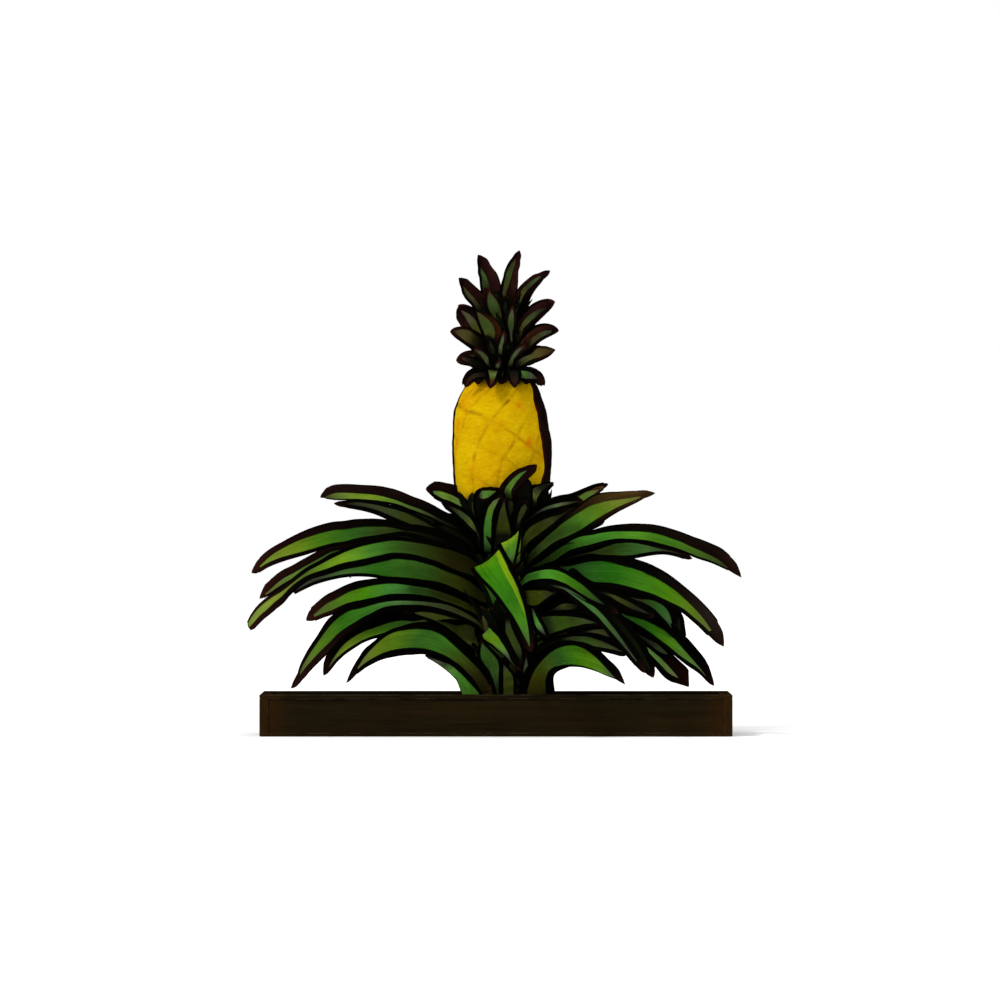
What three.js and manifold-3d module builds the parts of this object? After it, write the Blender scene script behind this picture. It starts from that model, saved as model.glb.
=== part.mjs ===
// Pineapple plant (Ananas comosus) bearing one ripe fruit, in a low wooden planter trough.
// Millimetres, +Z up. Origin: centre of the trough's flat underside.
// +X runs along the trough, -Y is its front.
//
// A short stem stands in the soil and carries a rosette of long, channelled, arching leaves.
// A stalk out of the middle of the rosette carries the fruit, and the fruit carries its own
// small rosette, the crown. Each leaf is a thin V-shaped blade along a curved rib.
import * as THREE from 'three';
import { mergeVertices } from 'three/addons/utils/BufferGeometryUtils.js';
import Module from 'manifold-3d';

const wasm = await Module();
wasm.setup();

// ---------------------------------------------------------------- driving dimensions
const GAP = 0.3;                 // clearance between pieces that meet

const TROUGH_LENGTH = 703;       // outside, along X
const TROUGH_DEPTH = 240;        // outside, along Y
const TROUGH_HEIGHT = 62;
const TROUGH_WALL = 16;
const TROUGH_FLOOR = 12;
const SOIL_TOP = 53;             // height of the soil at the trough's walls
const SOIL_MOUND = 3;            // how much higher it is round the stem

// Heights of the plant's own parts are counted from the soil, SOIL_TOP.
const PLANT_X = 9;               // the stem's axis
const STEM_TOP = 245;
const STEM_RADIUS = 25;          // above the flare
const STEM_FLARE = 22;           // extra radius at the ground
const STEM_FLARE_HEIGHT = 14;    // over which the flare dies away
const STEM_TIP_RADIUS = 19;

const FRUIT_X = 7.5;
const FRUIT_BOTTOM = 295;
const FRUIT_HEIGHT = 187;
const FRUIT_RADIUS = 76;
const FRUIT_TAPER = 0.04;        // share of the radius lost from bottom to top
const STALK_RADIUS = 15;

const CROWN_X = 11;              // the crown's axis
const CROWN_FOOT = 484;          // where the crown sits on the fruit
const CROWN_HEART_TOP = 635;
const CROWN_HEART_RADIUS = 21;
const SKIRT_RADIUS = 60;         // ring of small curled leaves at the crown's foot
const SKIRT_HEIGHT = 17;
const SKIRT_DROOP = 9;           // how far its rim hangs over the fruit's shoulder

const BLADE_THICK = 3.0;         // a long leaf at its rib
const BLADE_EDGE = 1.2;          // and at its margins
const CHANNEL_BASE = 27;         // degrees that the sides of a blade rise at its base
const CHANNEL_TIP = 12;          // and near its tip
const SPLIT_GAP = 0.5;           // gap between the two lengths of a strongly arched leaf

// Leaves of the rosette. az: direction in plan, degrees from +X towards +Y.
// rise, fall: slope of the rib at its base and at its tip, degrees. ease: how early it bends.
// len: length along the rib. r0, z0: where it leaves the stem, from the stem's axis and above
// the soil. w: full width.
// roll: degrees the blade turns its upper face about its rib; for the leaves at the sides,
// positive is towards the front.
// bend: sideways reach of the tip, mm. split: share of the length where it is split at its bend.
const LEFT_LEAVES = [
  { name: 'leaf_left_1', az: 166, rise: 45.1, fall: 1.6, ease: 0.7, len: 265, r0: 40.2, z0: 221, w: 55.8, roll: 52 },
  { name: 'leaf_left_2', az: 188, rise: 44.3, fall: -34, ease: 0.64, len: 366, r0: 36.4, z0: 209.7, w: 48.7, roll: 51.3 },
  { name: 'leaf_left_3', az: 150, rise: 25, fall: -39, ease: 0.99, len: 410, r0: 41.6, z0: 196.5, w: 51.1, roll: 49.6 },
  { name: 'leaf_left_4', az: 208, rise: 34.5, fall: -44, ease: 0.74, len: 430, r0: 36.7, z0: 181.7, w: 56.2, roll: 40, split: 0.52 },
  { name: 'leaf_left_5', az: 203, rise: 26, fall: -25, ease: 0.9, len: 297, r0: 44, z0: 161, w: 42, roll: 44 },
  { name: 'leaf_left_6', az: 160, rise: 28.2, fall: -37.4, ease: 1.07, len: 296.9, r0: 35.1, z0: 131.2, w: 61.9, roll: 51.2 },
  { name: 'leaf_left_7', az: 190, rise: 39.5, fall: -69.1, ease: 0.85, len: 344, r0: 32, z0: 115, w: 48.5, roll: 50.9, split: 0.5 },
  { name: 'leaf_left_8', az: 150, rise: 38.1, fall: -58.7, ease: 1.07, len: 316.9, r0: 38.1, z0: 69.8, w: 61.2, roll: 52 },
  { name: 'leaf_left_9', az: 220, rise: 54, fall: -42, ease: 0.9, len: 322, r0: 33, z0: 8, w: 55, roll: 48, split: 0.5 },
  { name: 'leaf_left_upper', az: 200, rise: 68.2, fall: 11.6, ease: 1.22, len: 117.2, r0: 38.3, z0: 238.9, w: 60.4, roll: 52 },
  { name: 'leaf_left_10', az: 206, rise: 57, fall: 24, ease: 1, len: 96, r0: 53, z0: 5, w: 43, roll: 42.4 },
];
const RIGHT_LEAVES = [
  { name: 'leaf_right_1', az: 25, rise: 47.5, fall: 13.2, ease: 0.58, len: 160.1, r0: 46.3, z0: 239.7, w: 56.7, roll: 46.8 },
  { name: 'leaf_right_2', az: -15, rise: 42.5, fall: 11.5, ease: 1.49, len: 240, r0: 31.1, z0: 190.6, w: 53, roll: 50.9 },
  { name: 'leaf_right_3', az: 8, rise: 41.2, fall: -33.6, ease: 0.88, len: 357.4, r0: 33.3, z0: 178.6, w: 57.1, roll: 51.8 },
  { name: 'leaf_right_4', az: -18, rise: 42.5, fall: -49.2, ease: 0.54, len: 357.9, r0: 34.7, z0: 177.7, w: 62, roll: 52, split: 0.48 },
  { name: 'leaf_right_5', az: 20, rise: 47.4, fall: -54.6, ease: 0.47, len: 365, r0: 35.1, z0: 140.1, w: 61.9, roll: 52, split: 0.48 },
  { name: 'leaf_right_6', az: 36, rise: 44.4, fall: -50.8, ease: 0.51, len: 375.7, r0: 40.8, z0: 106.2, w: 61.6, roll: 52 },
  { name: 'leaf_right_7', az: -42, rise: 46.6, fall: -55.8, ease: 0.37, len: 322.2, r0: 40.4, z0: 174.7, w: 62, roll: 49.5, split: 0.5 },
  { name: 'leaf_right_8', az: -25, rise: 84, fall: -56, ease: 0.8, len: 186, r0: 54, z0: 8, w: 53.8, roll: 52, split: 0.52 },
  { name: 'leaf_right_9', az: 48, rise: 38.5, fall: -30, ease: 0.74, len: 239.4, r0: 49.3, z0: 66, w: 62, roll: 52 },
];
const FRONT_LEAVES = [
  { name: 'leaf_front_1', az: -112, rise: 66, fall: -74, ease: 0.62, len: 292, r0: 34, z0: 178, w: 56, roll: -26, bend: 140 },
  { name: 'leaf_front_2', az: -112, rise: 60, fall: -62, ease: 0.7, len: 150, r0: 36, z0: 82, w: 34, roll: -14, bend: 78 },
  { name: 'leaf_front_3', az: -66, rise: 60, fall: -52, ease: 0.7, len: 166, r0: 36, z0: 84, w: 32, roll: -10, bend: 0 },
  { name: 'leaf_front_4', az: -100, rise: 62, fall: 38, ease: 0.8, len: 84, r0: 42, z0: 14, w: 36, roll: 10, bend: -26 },
];
const BACK_LEAVES = [
  { name: 'leaf_back_1', az: 62, rise: 50, fall: -40, ease: 0.8, len: 352, r0: 36, z0: 169, w: 52, roll: -14 },
  { name: 'leaf_back_2', az: 78, rise: 52, fall: -48, ease: 0.8, len: 372, r0: 34, z0: 101, w: 54, roll: -6 },
  { name: 'leaf_back_3', az: 90, rise: 54, fall: -36, ease: 0.85, len: 338, r0: 36, z0: 189, w: 50, roll: 0 },
  { name: 'leaf_back_4', az: 104, rise: 54, fall: -52, ease: 0.75, len: 360, r0: 36, z0: 139, w: 54, roll: 6 },
  { name: 'leaf_back_5', az: 118, rise: 50, fall: -40, ease: 0.8, len: 290, r0: 36, z0: 65, w: 52, roll: 10 },
  { name: 'leaf_back_6', az: 130, rise: 50, fall: -40, ease: 0.8, len: 360, r0: 36, z0: 179, w: 50, roll: 16 },
];
// Young leaves round the foot of the fruit.
const YOUNG_LEAVES = [
  { name: 'leaf_young_1', az: -88, rise: 76, fall: -82, ease: 0.9, len: 120, r0: 34, z0: 216, w: 36, roll: -16, bend: 6 },
  { name: 'leaf_young_2', az: -96, rise: 30, fall: 66, ease: 0.8, len: 116, r0: 32, z0: 270, w: 32, roll: 0, bend: 60 },
  { name: 'leaf_young_3', az: -120, rise: 62, fall: 58, ease: 1, len: 94, r0: 40, z0: 222, w: 28, roll: 0, bend: 50 },
  { name: 'leaf_young_4', az: -24, rise: 38, fall: 72, ease: 0.7, len: 100, r0: 34, z0: 240, w: 34, roll: 10 },
];
// Leaves of the crown. az as above; tip_r, tip_z: where the tip ends, from the crown's axis
// and above the soil; rise, fall: slopes at base and tip; w: full width.
const CROWN_LEAVES = [
  { name: 'crown_leaf_1', az: 140, tip_r: 54, tip_z: 666.2, rise: 89, fall: 47.6, ease: 1.41, w: 32.6, roll: 50.1 },
  { name: 'crown_leaf_2', az: -30, tip_r: 29.9, tip_z: 670.3, rise: 89, fall: 75, ease: 2.19, w: 35, roll: 66 },
  { name: 'crown_leaf_3', az: 22, tip_r: 74.6, tip_z: 645.5, rise: 85.6, fall: 26.2, ease: 1.5, w: 29.6, roll: 52.2 },
  { name: 'crown_leaf_4', az: -14, tip_r: 79.7, tip_z: 594.9, rise: 80.6, fall: 19.5, ease: 0.87, w: 34.7, roll: 66 },
  { name: 'crown_leaf_5', az: 16, tip_r: 86.8, tip_z: 552.3, rise: 76.4, fall: -12.7, ease: 1.29, w: 30.4, roll: 66 },
  { name: 'crown_leaf_6', az: -20, tip_r: 80.2, tip_z: 520.1, rise: 51.2, fall: 4, ease: 0.7, w: 29.2, roll: 64.6 },
  { name: 'crown_leaf_7', az: 196, tip_r: 70.6, tip_z: 630.3, rise: 76.1, fall: 41.1, ease: 1.5, w: 34, roll: 70 },
  { name: 'crown_leaf_8', az: 162, tip_r: 71.3, tip_z: 591, rise: 79.4, fall: 33.3, ease: 1.36, w: 33.1, roll: 60.1 },
  { name: 'crown_leaf_9', az: 200, tip_r: 84.8, tip_z: 549.8, rise: 65.4, fall: 5.1, ease: 1.15, w: 32.9, roll: 70 },
  { name: 'crown_leaf_10', az: 158, tip_r: 76.6, tip_z: 508, rise: 50.9, fall: -15.1, ease: 0.7, w: 31.9, roll: 56.5 },
  { name: 'crown_leaf_front', az: -96, tip_r: 74, tip_z: 575, rise: 78, fall: 18, ease: 1.3, w: 30, roll: 55 },
  { name: 'crown_leaf_back', az: 86, tip_r: 76, tip_z: 583, rise: 78, fall: 18, ease: 1.3, w: 30, roll: 55 },
];
const LEAF_STATIONS = 12;
const CROWN_STATIONS = 7;

// ---------------------------------------------------------------- materials
const mat = (color, roughness = 0.6, metalness = 0) => new THREE.MeshStandardMaterial({ color, roughness, metalness });
const GREEN = mat(0x2f6a22, 0.5), GREEN_DARK = mat(0x2a4a1c, 0.55), GREEN_YOUNG = mat(0x4b7f22, 0.5);
const CROWN_GREEN = mat(0x3a4a18, 0.55), STEM_OLIVE = mat(0x4a4a18, 0.8), FRUIT_GOLD = mat(0xd7a514, 0.5);
const WOOD = mat(0x2a1e0a, 0.65), SOIL = mat(0x1a1109, 0.98);

// ---------------------------------------------------------------- solids and booleans
const rad = THREE.MathUtils.degToRad;
const smooth = (a, b, x) => { const t = Math.min(1, Math.max(0, (x - a) / (b - a))); return t * t * (3 - 2 * t); };

function toSolid(geometry) {
  const g = geometry.clone();
  for (const k of Object.keys(g.attributes)) if (k !== 'position') g.deleteAttribute(k);
  const m = mergeVertices(g, 1e-4);
  return new wasm.Manifold(new wasm.Mesh({
    numProp: 3,
    vertProperties: new Float32Array(m.attributes.position.array),
    triVerts: new Uint32Array(m.index.array),
  }));
}
function toGeometry(solid) {
  const m = solid.getMesh();
  const g = new THREE.BufferGeometry();
  g.setAttribute('position', new THREE.BufferAttribute(new Float32Array(m.vertProperties), 3));
  g.setIndex(new THREE.BufferAttribute(new Uint32Array(m.triVerts), 1));
  g.computeVertexNormals();
  return g;
}
function indexed(points, tris) {
  const g = new THREE.BufferGeometry();
  g.setAttribute('position', new THREE.BufferAttribute(new Float32Array(points.flat()), 3));
  g.setIndex(tris);
  return g;
}
// A body turned about a vertical axis at x, y = 0. profile: [radius, z] pairs from the lower
// end to the upper; swell(angle, z) multiplies the radius.
function turned(profile, x, sides, swell = () => 1) {
  const pts = [], tris = [];
  profile.forEach(([r, z]) => {
    for (let j = 0; j < sides; j++) {
      const a = 2 * Math.PI * j / sides, k = r * swell(a, z);
      pts.push([x + k * Math.cos(a), k * Math.sin(a), z]);
    }
  });
  const n = profile.length, lo = pts.length, hi = lo + 1;
  pts.push([x, 0, profile[0][1]], [x, 0, profile[n - 1][1]]);
  for (let j = 0; j < sides; j++) {
    const k = (j + 1) % sides;
    for (let i = 0; i < n - 1; i++) {
      const a = i * sides + j, b = i * sides + k, c = b + sides, d = a + sides;
      tris.push(a, b, c, a, c, d);
    }
    tris.push(lo, k, j);
    tris.push(hi, (n - 1) * sides + j, (n - 1) * sides + k);
  }
  return indexed(pts, tris);
}

// ---------------------------------------------------------------- leaf blades
// The rib: its slope runs from rise to fall along the length; its plane is the vertical
// plane of the leaf's direction, and bend carries it sideways out of that plane.
function ribOf(leaf, axisX) {
  const N = 120, r = [leaf.r0], z = [SOIL_TOP + leaf.z0], slope = [];
  const ease = leaf.ease ?? 1;
  for (let i = 0; i < N; i++) {
    const a = rad(leaf.rise + (leaf.fall - leaf.rise) * Math.pow((i + 0.5) / N, ease));
    slope.push(a);
    r.push(r[i] + Math.cos(a) * leaf.len / N);
    z.push(z[i] + Math.sin(a) * leaf.len / N);
  }
  const az = rad(leaf.az);
  const out = new THREE.Vector3(Math.cos(az), Math.sin(az), 0);
  const side = new THREE.Vector3(-Math.sin(az), Math.cos(az), 0);
  const at = (s) => {
    const f = Math.min(N - 1e-9, Math.max(0, s * N)), i = Math.floor(f), q = f - i;
    const rr = r[i] + (r[i + 1] - r[i]) * q, zz = z[i] + (z[i + 1] - z[i]) * q;
    return new THREE.Vector3(axisX, 0, zz).addScaledVector(out, rr).addScaledVector(side, (leaf.bend ?? 0) * s * s);
  };
  const frame = (s) => {
    const t = at(Math.min(1, s + 0.01)).sub(at(Math.max(0, s - 0.01))).normalize();
    const u0 = side.clone().addScaledVector(t, -side.dot(t)).normalize();
    const n0 = t.clone().cross(u0);
    const turn = rad(leaf.roll ?? 0) * (0.45 + 0.55 * smooth(0, 0.4, s)) * (Math.cos(az) >= 0 ? 1 : -1);
    return {
      t,
      u: u0.clone().multiplyScalar(Math.cos(turn)).addScaledVector(n0, Math.sin(turn)),
      n: n0.clone().multiplyScalar(Math.cos(turn)).addScaledVector(u0, -Math.sin(turn)),
    };
  };
  return { at, frame };
}
// Width of a blade along its length, as a share of its full width.
const bladeWidth = (s) => (0.5 + 0.5 * smooth(0, 0.38, s)) * Math.pow(Math.max(0, 1 - Math.pow(s, 5)), 0.68);

// The blade between shares a and b of its length, grown all round by grow.
function blade(leaf, axisX, stations, a = 0, b = 1, grow = 0) {
  const rib = ribOf(leaf, axisX);
  const scale = Math.min(1, leaf.w / 44);
  const pts = [], tris = [];
  const ga = a - (grow ? grow / leaf.len : 0), gb = b + (grow ? grow / leaf.len : 0);
  for (let i = 0; i < stations; i++) {
    const s = Math.min(1, Math.max(0, a + (b - a) * i / (stations - 1)));
    const p = rib.at(s), { t, u, n } = rib.frame(s);
    if (i === 0 && a > 0) p.addScaledVector(t, -(a - ga) * leaf.len);
    if (i === stations - 1) p.addScaledVector(t, (gb - b) * leaf.len);
    const h = Math.max(1.1, leaf.w / 2 * bladeWidth(s));
    const k = rad(CHANNEL_BASE + (CHANNEL_TIP - CHANNEL_BASE) * s);
    const x = h * Math.cos(k) + grow, y = h * Math.sin(k), mid = y * 0.5;
    const tc = BLADE_THICK * scale * (1 - 0.45 * s), te = BLADE_EDGE * scale;
    for (const [pu, pn] of [[x, y + te / 2 + grow], [0, tc / 2 + grow], [-x, y + te / 2 + grow],
      [-x, y - te / 2 - grow], [0, -tc / 2 - grow], [x, y - te / 2 - grow]]) {
      pts.push(p.clone().addScaledVector(u, pu).addScaledVector(n, pn - mid).toArray());
    }
  }
  const E = (stations - 1) * 6;
  for (let i = 0; i < stations - 1; i++) {
    for (let j = 0; j < 6; j++) {
      const p = i * 6 + j, q = i * 6 + (j + 1) % 6;
      tris.push(p, q, q + 6, p, q + 6, p + 6);
    }
  }
  for (const [p, q, r, s] of [[0, 1, 4, 5], [1, 2, 3, 4]]) {
    tris.push(p, s, r, p, r, q);
    tris.push(E + p, E + q, E + r, E + p, E + r, E + s);
  }
  return indexed(pts, tris);
}

// ---------------------------------------------------------------- the plain pieces
const stemRadius = (h) => STEM_RADIUS + STEM_FLARE * Math.exp(-h / STEM_FLARE_HEIGHT)
  - (STEM_RADIUS - STEM_TIP_RADIUS) * smooth(120, STEM_TOP, h);
function stemSolid(grow = 0) {
  const foot = SOIL_MOUND + GAP, hs = [foot, foot + 7, foot + 16, foot + 34, 84, 140, 200, STEM_TOP];
  return toSolid(turned(hs.map((h, i) => [stemRadius(h) + grow, SOIL_TOP + h + (i === 0 ? -grow : i === hs.length - 1 ? grow : 0)]), PLANT_X, 20));
}
const fruitRadius = (t) => FRUIT_RADIUS * (1 - FRUIT_TAPER * t) * Math.pow(Math.sin(Math.PI * t), t < 0.5 ? 0.08 : 0.22);
function fruitSolid(grow = 0) {
  const ts = [0.02, 0.05, 0.1, 0.2, 0.32, 0.45, 0.58, 0.68, 0.77, 0.85, 0.91, 0.955, 0.985];
  return toSolid(turned(ts.map((t, i) => [fruitRadius(t) * (i === 0 ? 0.86 : 1) + grow,
    SOIL_TOP + FRUIT_BOTTOM + FRUIT_HEIGHT * (i === 0 ? 0 : i === ts.length - 1 ? 1 : t) + (i === 0 ? -grow : i === ts.length - 1 ? grow : 0)]), FRUIT_X, 28));
}
function stalkSolid(grow = 0) {
  const lo = SOIL_TOP + STEM_TOP, hi = SOIL_TOP + FRUIT_BOTTOM;
  return toSolid(turned([[STALK_RADIUS + 2 + grow, lo + GAP - grow], [STALK_RADIUS + grow, lo + 18],
    [STALK_RADIUS + 1 + grow, hi - 14], [STALK_RADIUS + 6 + grow, hi - GAP + grow]], PLANT_X, 16));
}
function heartSolid(grow = 0) {
  const zs = [0, 0.1, 0.3, 0.5, 0.7, 0.88, 1];
  const z0 = SOIL_TOP + CROWN_FOOT + SKIRT_HEIGHT + GAP, z1 = SOIL_TOP + CROWN_HEART_TOP;
  return toSolid(turned(zs.map((t) => [CROWN_HEART_RADIUS * Math.pow(1 - t * 0.86, 0.8) * (t === 0 ? 0.8 : 1) + grow, z0 + (z1 - z0) * t + (t === 1 ? grow : 0)]),
    CROWN_X, 16, (a, z) => 1 + 0.1 * Math.cos(5 * a + (z - z0) * 0.11)));
}
function skirtSolid(grow = 0) {
  const z0 = SOIL_TOP + CROWN_FOOT;
  const ring = [[0.72, 0], [0.88, -SKIRT_DROOP], [0.98, -SKIRT_DROOP], [1.05, -2], [0.95, 8], [0.5, SKIRT_HEIGHT]];
  return toSolid(turned(ring.map(([r, h], i) => [SKIRT_RADIUS * r + (i < 2 ? -1 : 1) * grow, z0 + h + (i < 3 ? -grow : grow)]),
    CROWN_X, 32, (a) => 1 + 0.05 * Math.cos(8 * a + 0.6)));
}
function boxSolid(x0, x1, y0, y1, z0, z1) {
  const g = new THREE.BoxGeometry(x1 - x0, y1 - y0, z1 - z0);
  g.translate((x0 + x1) / 2, (y0 + y1) / 2, (z0 + z1) / 2);
  return toSolid(g);
}
const HL = TROUGH_LENGTH / 2, HD = TROUGH_DEPTH / 2, W = TROUGH_WALL;
const troughSolid = boxSolid(-HL, HL, -HD, HD, 0, TROUGH_HEIGHT)
  .subtract(boxSolid(-HL + W, HL - W, -HD + W, HD - W, TROUGH_FLOOR, TROUGH_HEIGHT + 10));
// The soil: a slab whose top is a little mounded and uneven towards the stem.
function soilSolid() {
  const x1 = HL - W - GAP, y1 = HD - W - GAP, nx = 16, ny = 6, pts = [], tris = [];
  const top = (x, y) => SOIL_TOP + (SOIL_MOUND - GAP) * Math.exp(-((x - PLANT_X) ** 2 + y * y) / (130 * 130)) * (Math.abs(x) < x1 && Math.abs(y) < y1 ? 1 : 0)
    - 0.8 * (1 + Math.sin(x * 0.045) * Math.cos(y * 0.06)) * (Math.hypot(x - PLANT_X, y) > 60 ? 1 : 0);
  for (let l = 0; l < 2; l++) for (let j = 0; j <= ny; j++) for (let i = 0; i <= nx; i++) {
    const x = -x1 + 2 * x1 * i / nx, y = -y1 + 2 * y1 * j / ny;
    pts.push([x, y, l ? top(x, y) : TROUGH_FLOOR + GAP]);
  }
  const M = (nx + 1) * (ny + 1), id = (l, i, j) => l * M + j * (nx + 1) + i;
  for (let j = 0; j < ny; j++) for (let i = 0; i < nx; i++) {
    tris.push(id(1, i, j), id(1, i + 1, j), id(1, i + 1, j + 1), id(1, i, j), id(1, i + 1, j + 1), id(1, i, j + 1));
    tris.push(id(0, i, j), id(0, i + 1, j + 1), id(0, i + 1, j), id(0, i, j), id(0, i, j + 1), id(0, i + 1, j + 1));
  }
  const wall = (a, b) => tris.push(a, b, b + M, a, b + M, a + M);
  for (let i = 0; i < nx; i++) { wall(id(0, i, 0), id(0, i + 1, 0)); wall(id(0, i + 1, ny), id(0, i, ny)); }
  for (let j = 0; j < ny; j++) { wall(id(0, nx, j), id(0, nx, j + 1)); wall(id(0, 0, j + 1), id(0, 0, j)); }
  return toSolid(indexed(pts, tris));
}

// ---------------------------------------------------------------- put together
const plant = new THREE.Group();
plant.name = 'pineapple_plant';
const made = [];                  // {solid, clear, box}: what later pieces keep clear of
function put(name, solid, material, clear) {
  const mesh = new THREE.Mesh(toGeometry(solid), material);
  mesh.name = name;
  plant.add(mesh);
  const keep = clear ?? solid;
  made.push({ name, clear: keep, box: keep.boundingBox() });
}
const apart = (p, q) => [0, 1, 2].some((k) => p.min[k] > q.max[k] || q.min[k] > p.max[k]);
// A leaf gives way to every piece made before it, and keeps its largest part.
function putLeaf(name, leaf, axisX, stations, a, b, material) {
  let solid = toSolid(blade(leaf, axisX, stations, a, b));
  const full = solid.volume();
  for (const other of made) {
    if (!apart(solid.boundingBox(), other.box)) solid = solid.subtract(other.clear);
  }
  const parts = solid.decompose().sort((p, q) => q.volume() - p.volume());
  solid = parts[0];
  leaf.kept = Math.min(leaf.kept ?? 1, solid.volume() / full);
  put(name, solid, material, toSolid(blade(leaf, axisX, stations, a, b, GAP + 0.05)));
}
function putSplitLeaf(leaf, axisX, stations, material) {
  if (!leaf.split) return putLeaf(leaf.name, leaf, axisX, stations, 0, 1, material);
  const g = SPLIT_GAP / 2 / leaf.len, n = Math.ceil(stations * 0.6);
  const clearLower = toSolid(blade(leaf, axisX, n, 0, leaf.split - g));
  putLeaf(leaf.name + '_base', leaf, axisX, n, 0, leaf.split - g, material);
  made[made.length - 1].clear = clearLower;
  putLeaf(leaf.name + '_tip', leaf, axisX, n, leaf.split + g, 1, material);
  made[made.length - 2].clear = toSolid(blade(leaf, axisX, n, 0, leaf.split - g, GAP + 0.05));
}

put('planter_trough', troughSolid, WOOD);
put('soil', soilSolid(), SOIL);
put('stem', stemSolid(), STEM_OLIVE, stemSolid(GAP));
put('fruit_stalk', stalkSolid(), STEM_OLIVE, stalkSolid(GAP));
put('fruit', fruitSolid(), FRUIT_GOLD, fruitSolid(GAP));
put('crown_skirt', skirtSolid(), CROWN_GREEN, skirtSolid(GAP));
put('crown_heart', heartSolid(), CROWN_GREEN, heartSolid(GAP));

// A crown leaf's length and foot follow from its tip: the rib of unit length is integrated
// and scaled so that it ends at the tip.
for (const leaf of CROWN_LEAVES) {
  let c = 0, d = 0;
  for (let i = 0; i < 120; i++) {
    const a = rad(leaf.rise + (leaf.fall - leaf.rise) * Math.pow((i + 0.5) / 120, leaf.ease));
    c += Math.cos(a) / 120; d += Math.sin(a) / 120;
  }
  leaf.r0 = CROWN_HEART_RADIUS * 0.95 + 2;
  leaf.len = (leaf.tip_r - leaf.r0) / c;
  leaf.z0 = leaf.tip_z - leaf.len * d;
}
for (const leaf of CROWN_LEAVES) putLeaf(leaf.name, leaf, CROWN_X, CROWN_STATIONS, 0, 1, CROWN_GREEN);
for (const leaf of YOUNG_LEAVES) putLeaf(leaf.name, leaf, PLANT_X, 9, 0, 1, GREEN_YOUNG);
for (const leaf of FRONT_LEAVES) putSplitLeaf(leaf, PLANT_X, LEAF_STATIONS, GREEN);
for (const leaf of LEFT_LEAVES) putSplitLeaf(leaf, PLANT_X, LEAF_STATIONS, GREEN);
for (const leaf of RIGHT_LEAVES) putSplitLeaf(leaf, PLANT_X, LEAF_STATIONS, GREEN);
for (const leaf of BACK_LEAVES) putSplitLeaf(leaf, PLANT_X, LEAF_STATIONS, GREEN_DARK);

export { CROWN_LEAVES, YOUNG_LEAVES, FRONT_LEAVES, LEFT_LEAVES, RIGHT_LEAVES, BACK_LEAVES };
export default plant;
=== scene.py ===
import math

import bpy
import numpy as np
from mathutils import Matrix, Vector


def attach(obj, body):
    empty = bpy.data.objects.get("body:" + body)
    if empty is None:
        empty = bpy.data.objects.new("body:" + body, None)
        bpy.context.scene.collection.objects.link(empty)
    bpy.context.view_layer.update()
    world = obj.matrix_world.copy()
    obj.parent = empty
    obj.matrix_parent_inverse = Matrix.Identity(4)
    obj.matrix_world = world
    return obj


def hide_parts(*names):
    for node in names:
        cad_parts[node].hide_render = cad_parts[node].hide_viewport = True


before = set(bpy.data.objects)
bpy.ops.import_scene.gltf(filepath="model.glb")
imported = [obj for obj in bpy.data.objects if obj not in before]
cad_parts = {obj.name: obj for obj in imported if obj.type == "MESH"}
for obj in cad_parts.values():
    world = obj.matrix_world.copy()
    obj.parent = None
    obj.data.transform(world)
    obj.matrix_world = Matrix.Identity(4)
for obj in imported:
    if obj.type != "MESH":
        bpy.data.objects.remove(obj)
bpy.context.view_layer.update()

MM = 0.001
scene = bpy.context.scene
scene.view_settings.view_transform = "Standard"
scene.view_settings.look = "None"
scene.view_settings.exposure = 0.0
scene.view_settings.gamma = 1.0

# ------------------------------------------------------------------ camera, light and floor
cam_data = bpy.data.cameras.new("camera")
cam_data.sensor_fit = "HORIZONTAL"
cam_data.sensor_width = 36.0
cam_data.lens = 288.0
cam_data.clip_end = 60.0
cam = bpy.data.objects.new("camera", cam_data)
scene.collection.objects.link(cam)
cam.location = (0.006, -12.0, 0.351)
cam.rotation_euler = (math.radians(90), 0, 0)
scene.camera = cam


def sun(name, toward, strength, angle, color=(1, 1, 1)):
    """A distant lamp; toward is the direction in which its light comes from."""
    d = bpy.data.lights.new(name, "SUN")
    d.energy = strength
    d.angle = math.radians(angle)
    d.color = color
    o = bpy.data.objects.new(name, d)
    scene.collection.objects.link(o)
    o.rotation_euler = Vector(toward).to_track_quat("Z", "Y").to_euler()
    return o


sun("key", (-0.62, -0.62, 0.85), 1.9, 14, (1.0, 0.98, 0.94))
sun("back_fill", (0.55, 0.75, 0.8), 0.55, 30, (0.96, 0.98, 1.0))

world = bpy.data.worlds.new("studio")
scene.world = world
world.use_nodes = True
wn = world.node_tree
for _n in list(wn.nodes):
    wn.nodes.remove(_n)
_out = wn.nodes.new("ShaderNodeOutputWorld")
_mix = wn.nodes.new("ShaderNodeMixShader")
_lp = wn.nodes.new("ShaderNodeLightPath")
_soft = wn.nodes.new("ShaderNodeBackground")
_seen = wn.nodes.new("ShaderNodeBackground")
_soft.inputs["Color"].default_value = (1, 1, 1, 1)
_soft.inputs["Strength"].default_value = 0.75
_seen.inputs["Color"].default_value = (1, 1, 1, 1)
_seen.inputs["Strength"].default_value = 1.0
wn.links.new(_lp.outputs["Is Camera Ray"], _mix.inputs[0])
wn.links.new(_soft.outputs[0], _mix.inputs[1])
wn.links.new(_seen.outputs[0], _mix.inputs[2])
wn.links.new(_mix.outputs[0], _out.inputs[0])


# ------------------------------------------------------------------ small helpers
def lin(r, g, b):
    """A colour given in 0-255 display values, as linear light."""
    out = []
    for c in (r, g, b):
        c /= 255.0
        out.append(c / 12.92 if c <= 0.04045 else ((c + 0.055) / 1.055) ** 2.4)
    return np.array(out)


def smooth(a, b, x):
    t = np.clip((np.asarray(x, float) - a) / (b - a), 0.0, 1.0)
    return t * t * (3 - 2 * t)


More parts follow.
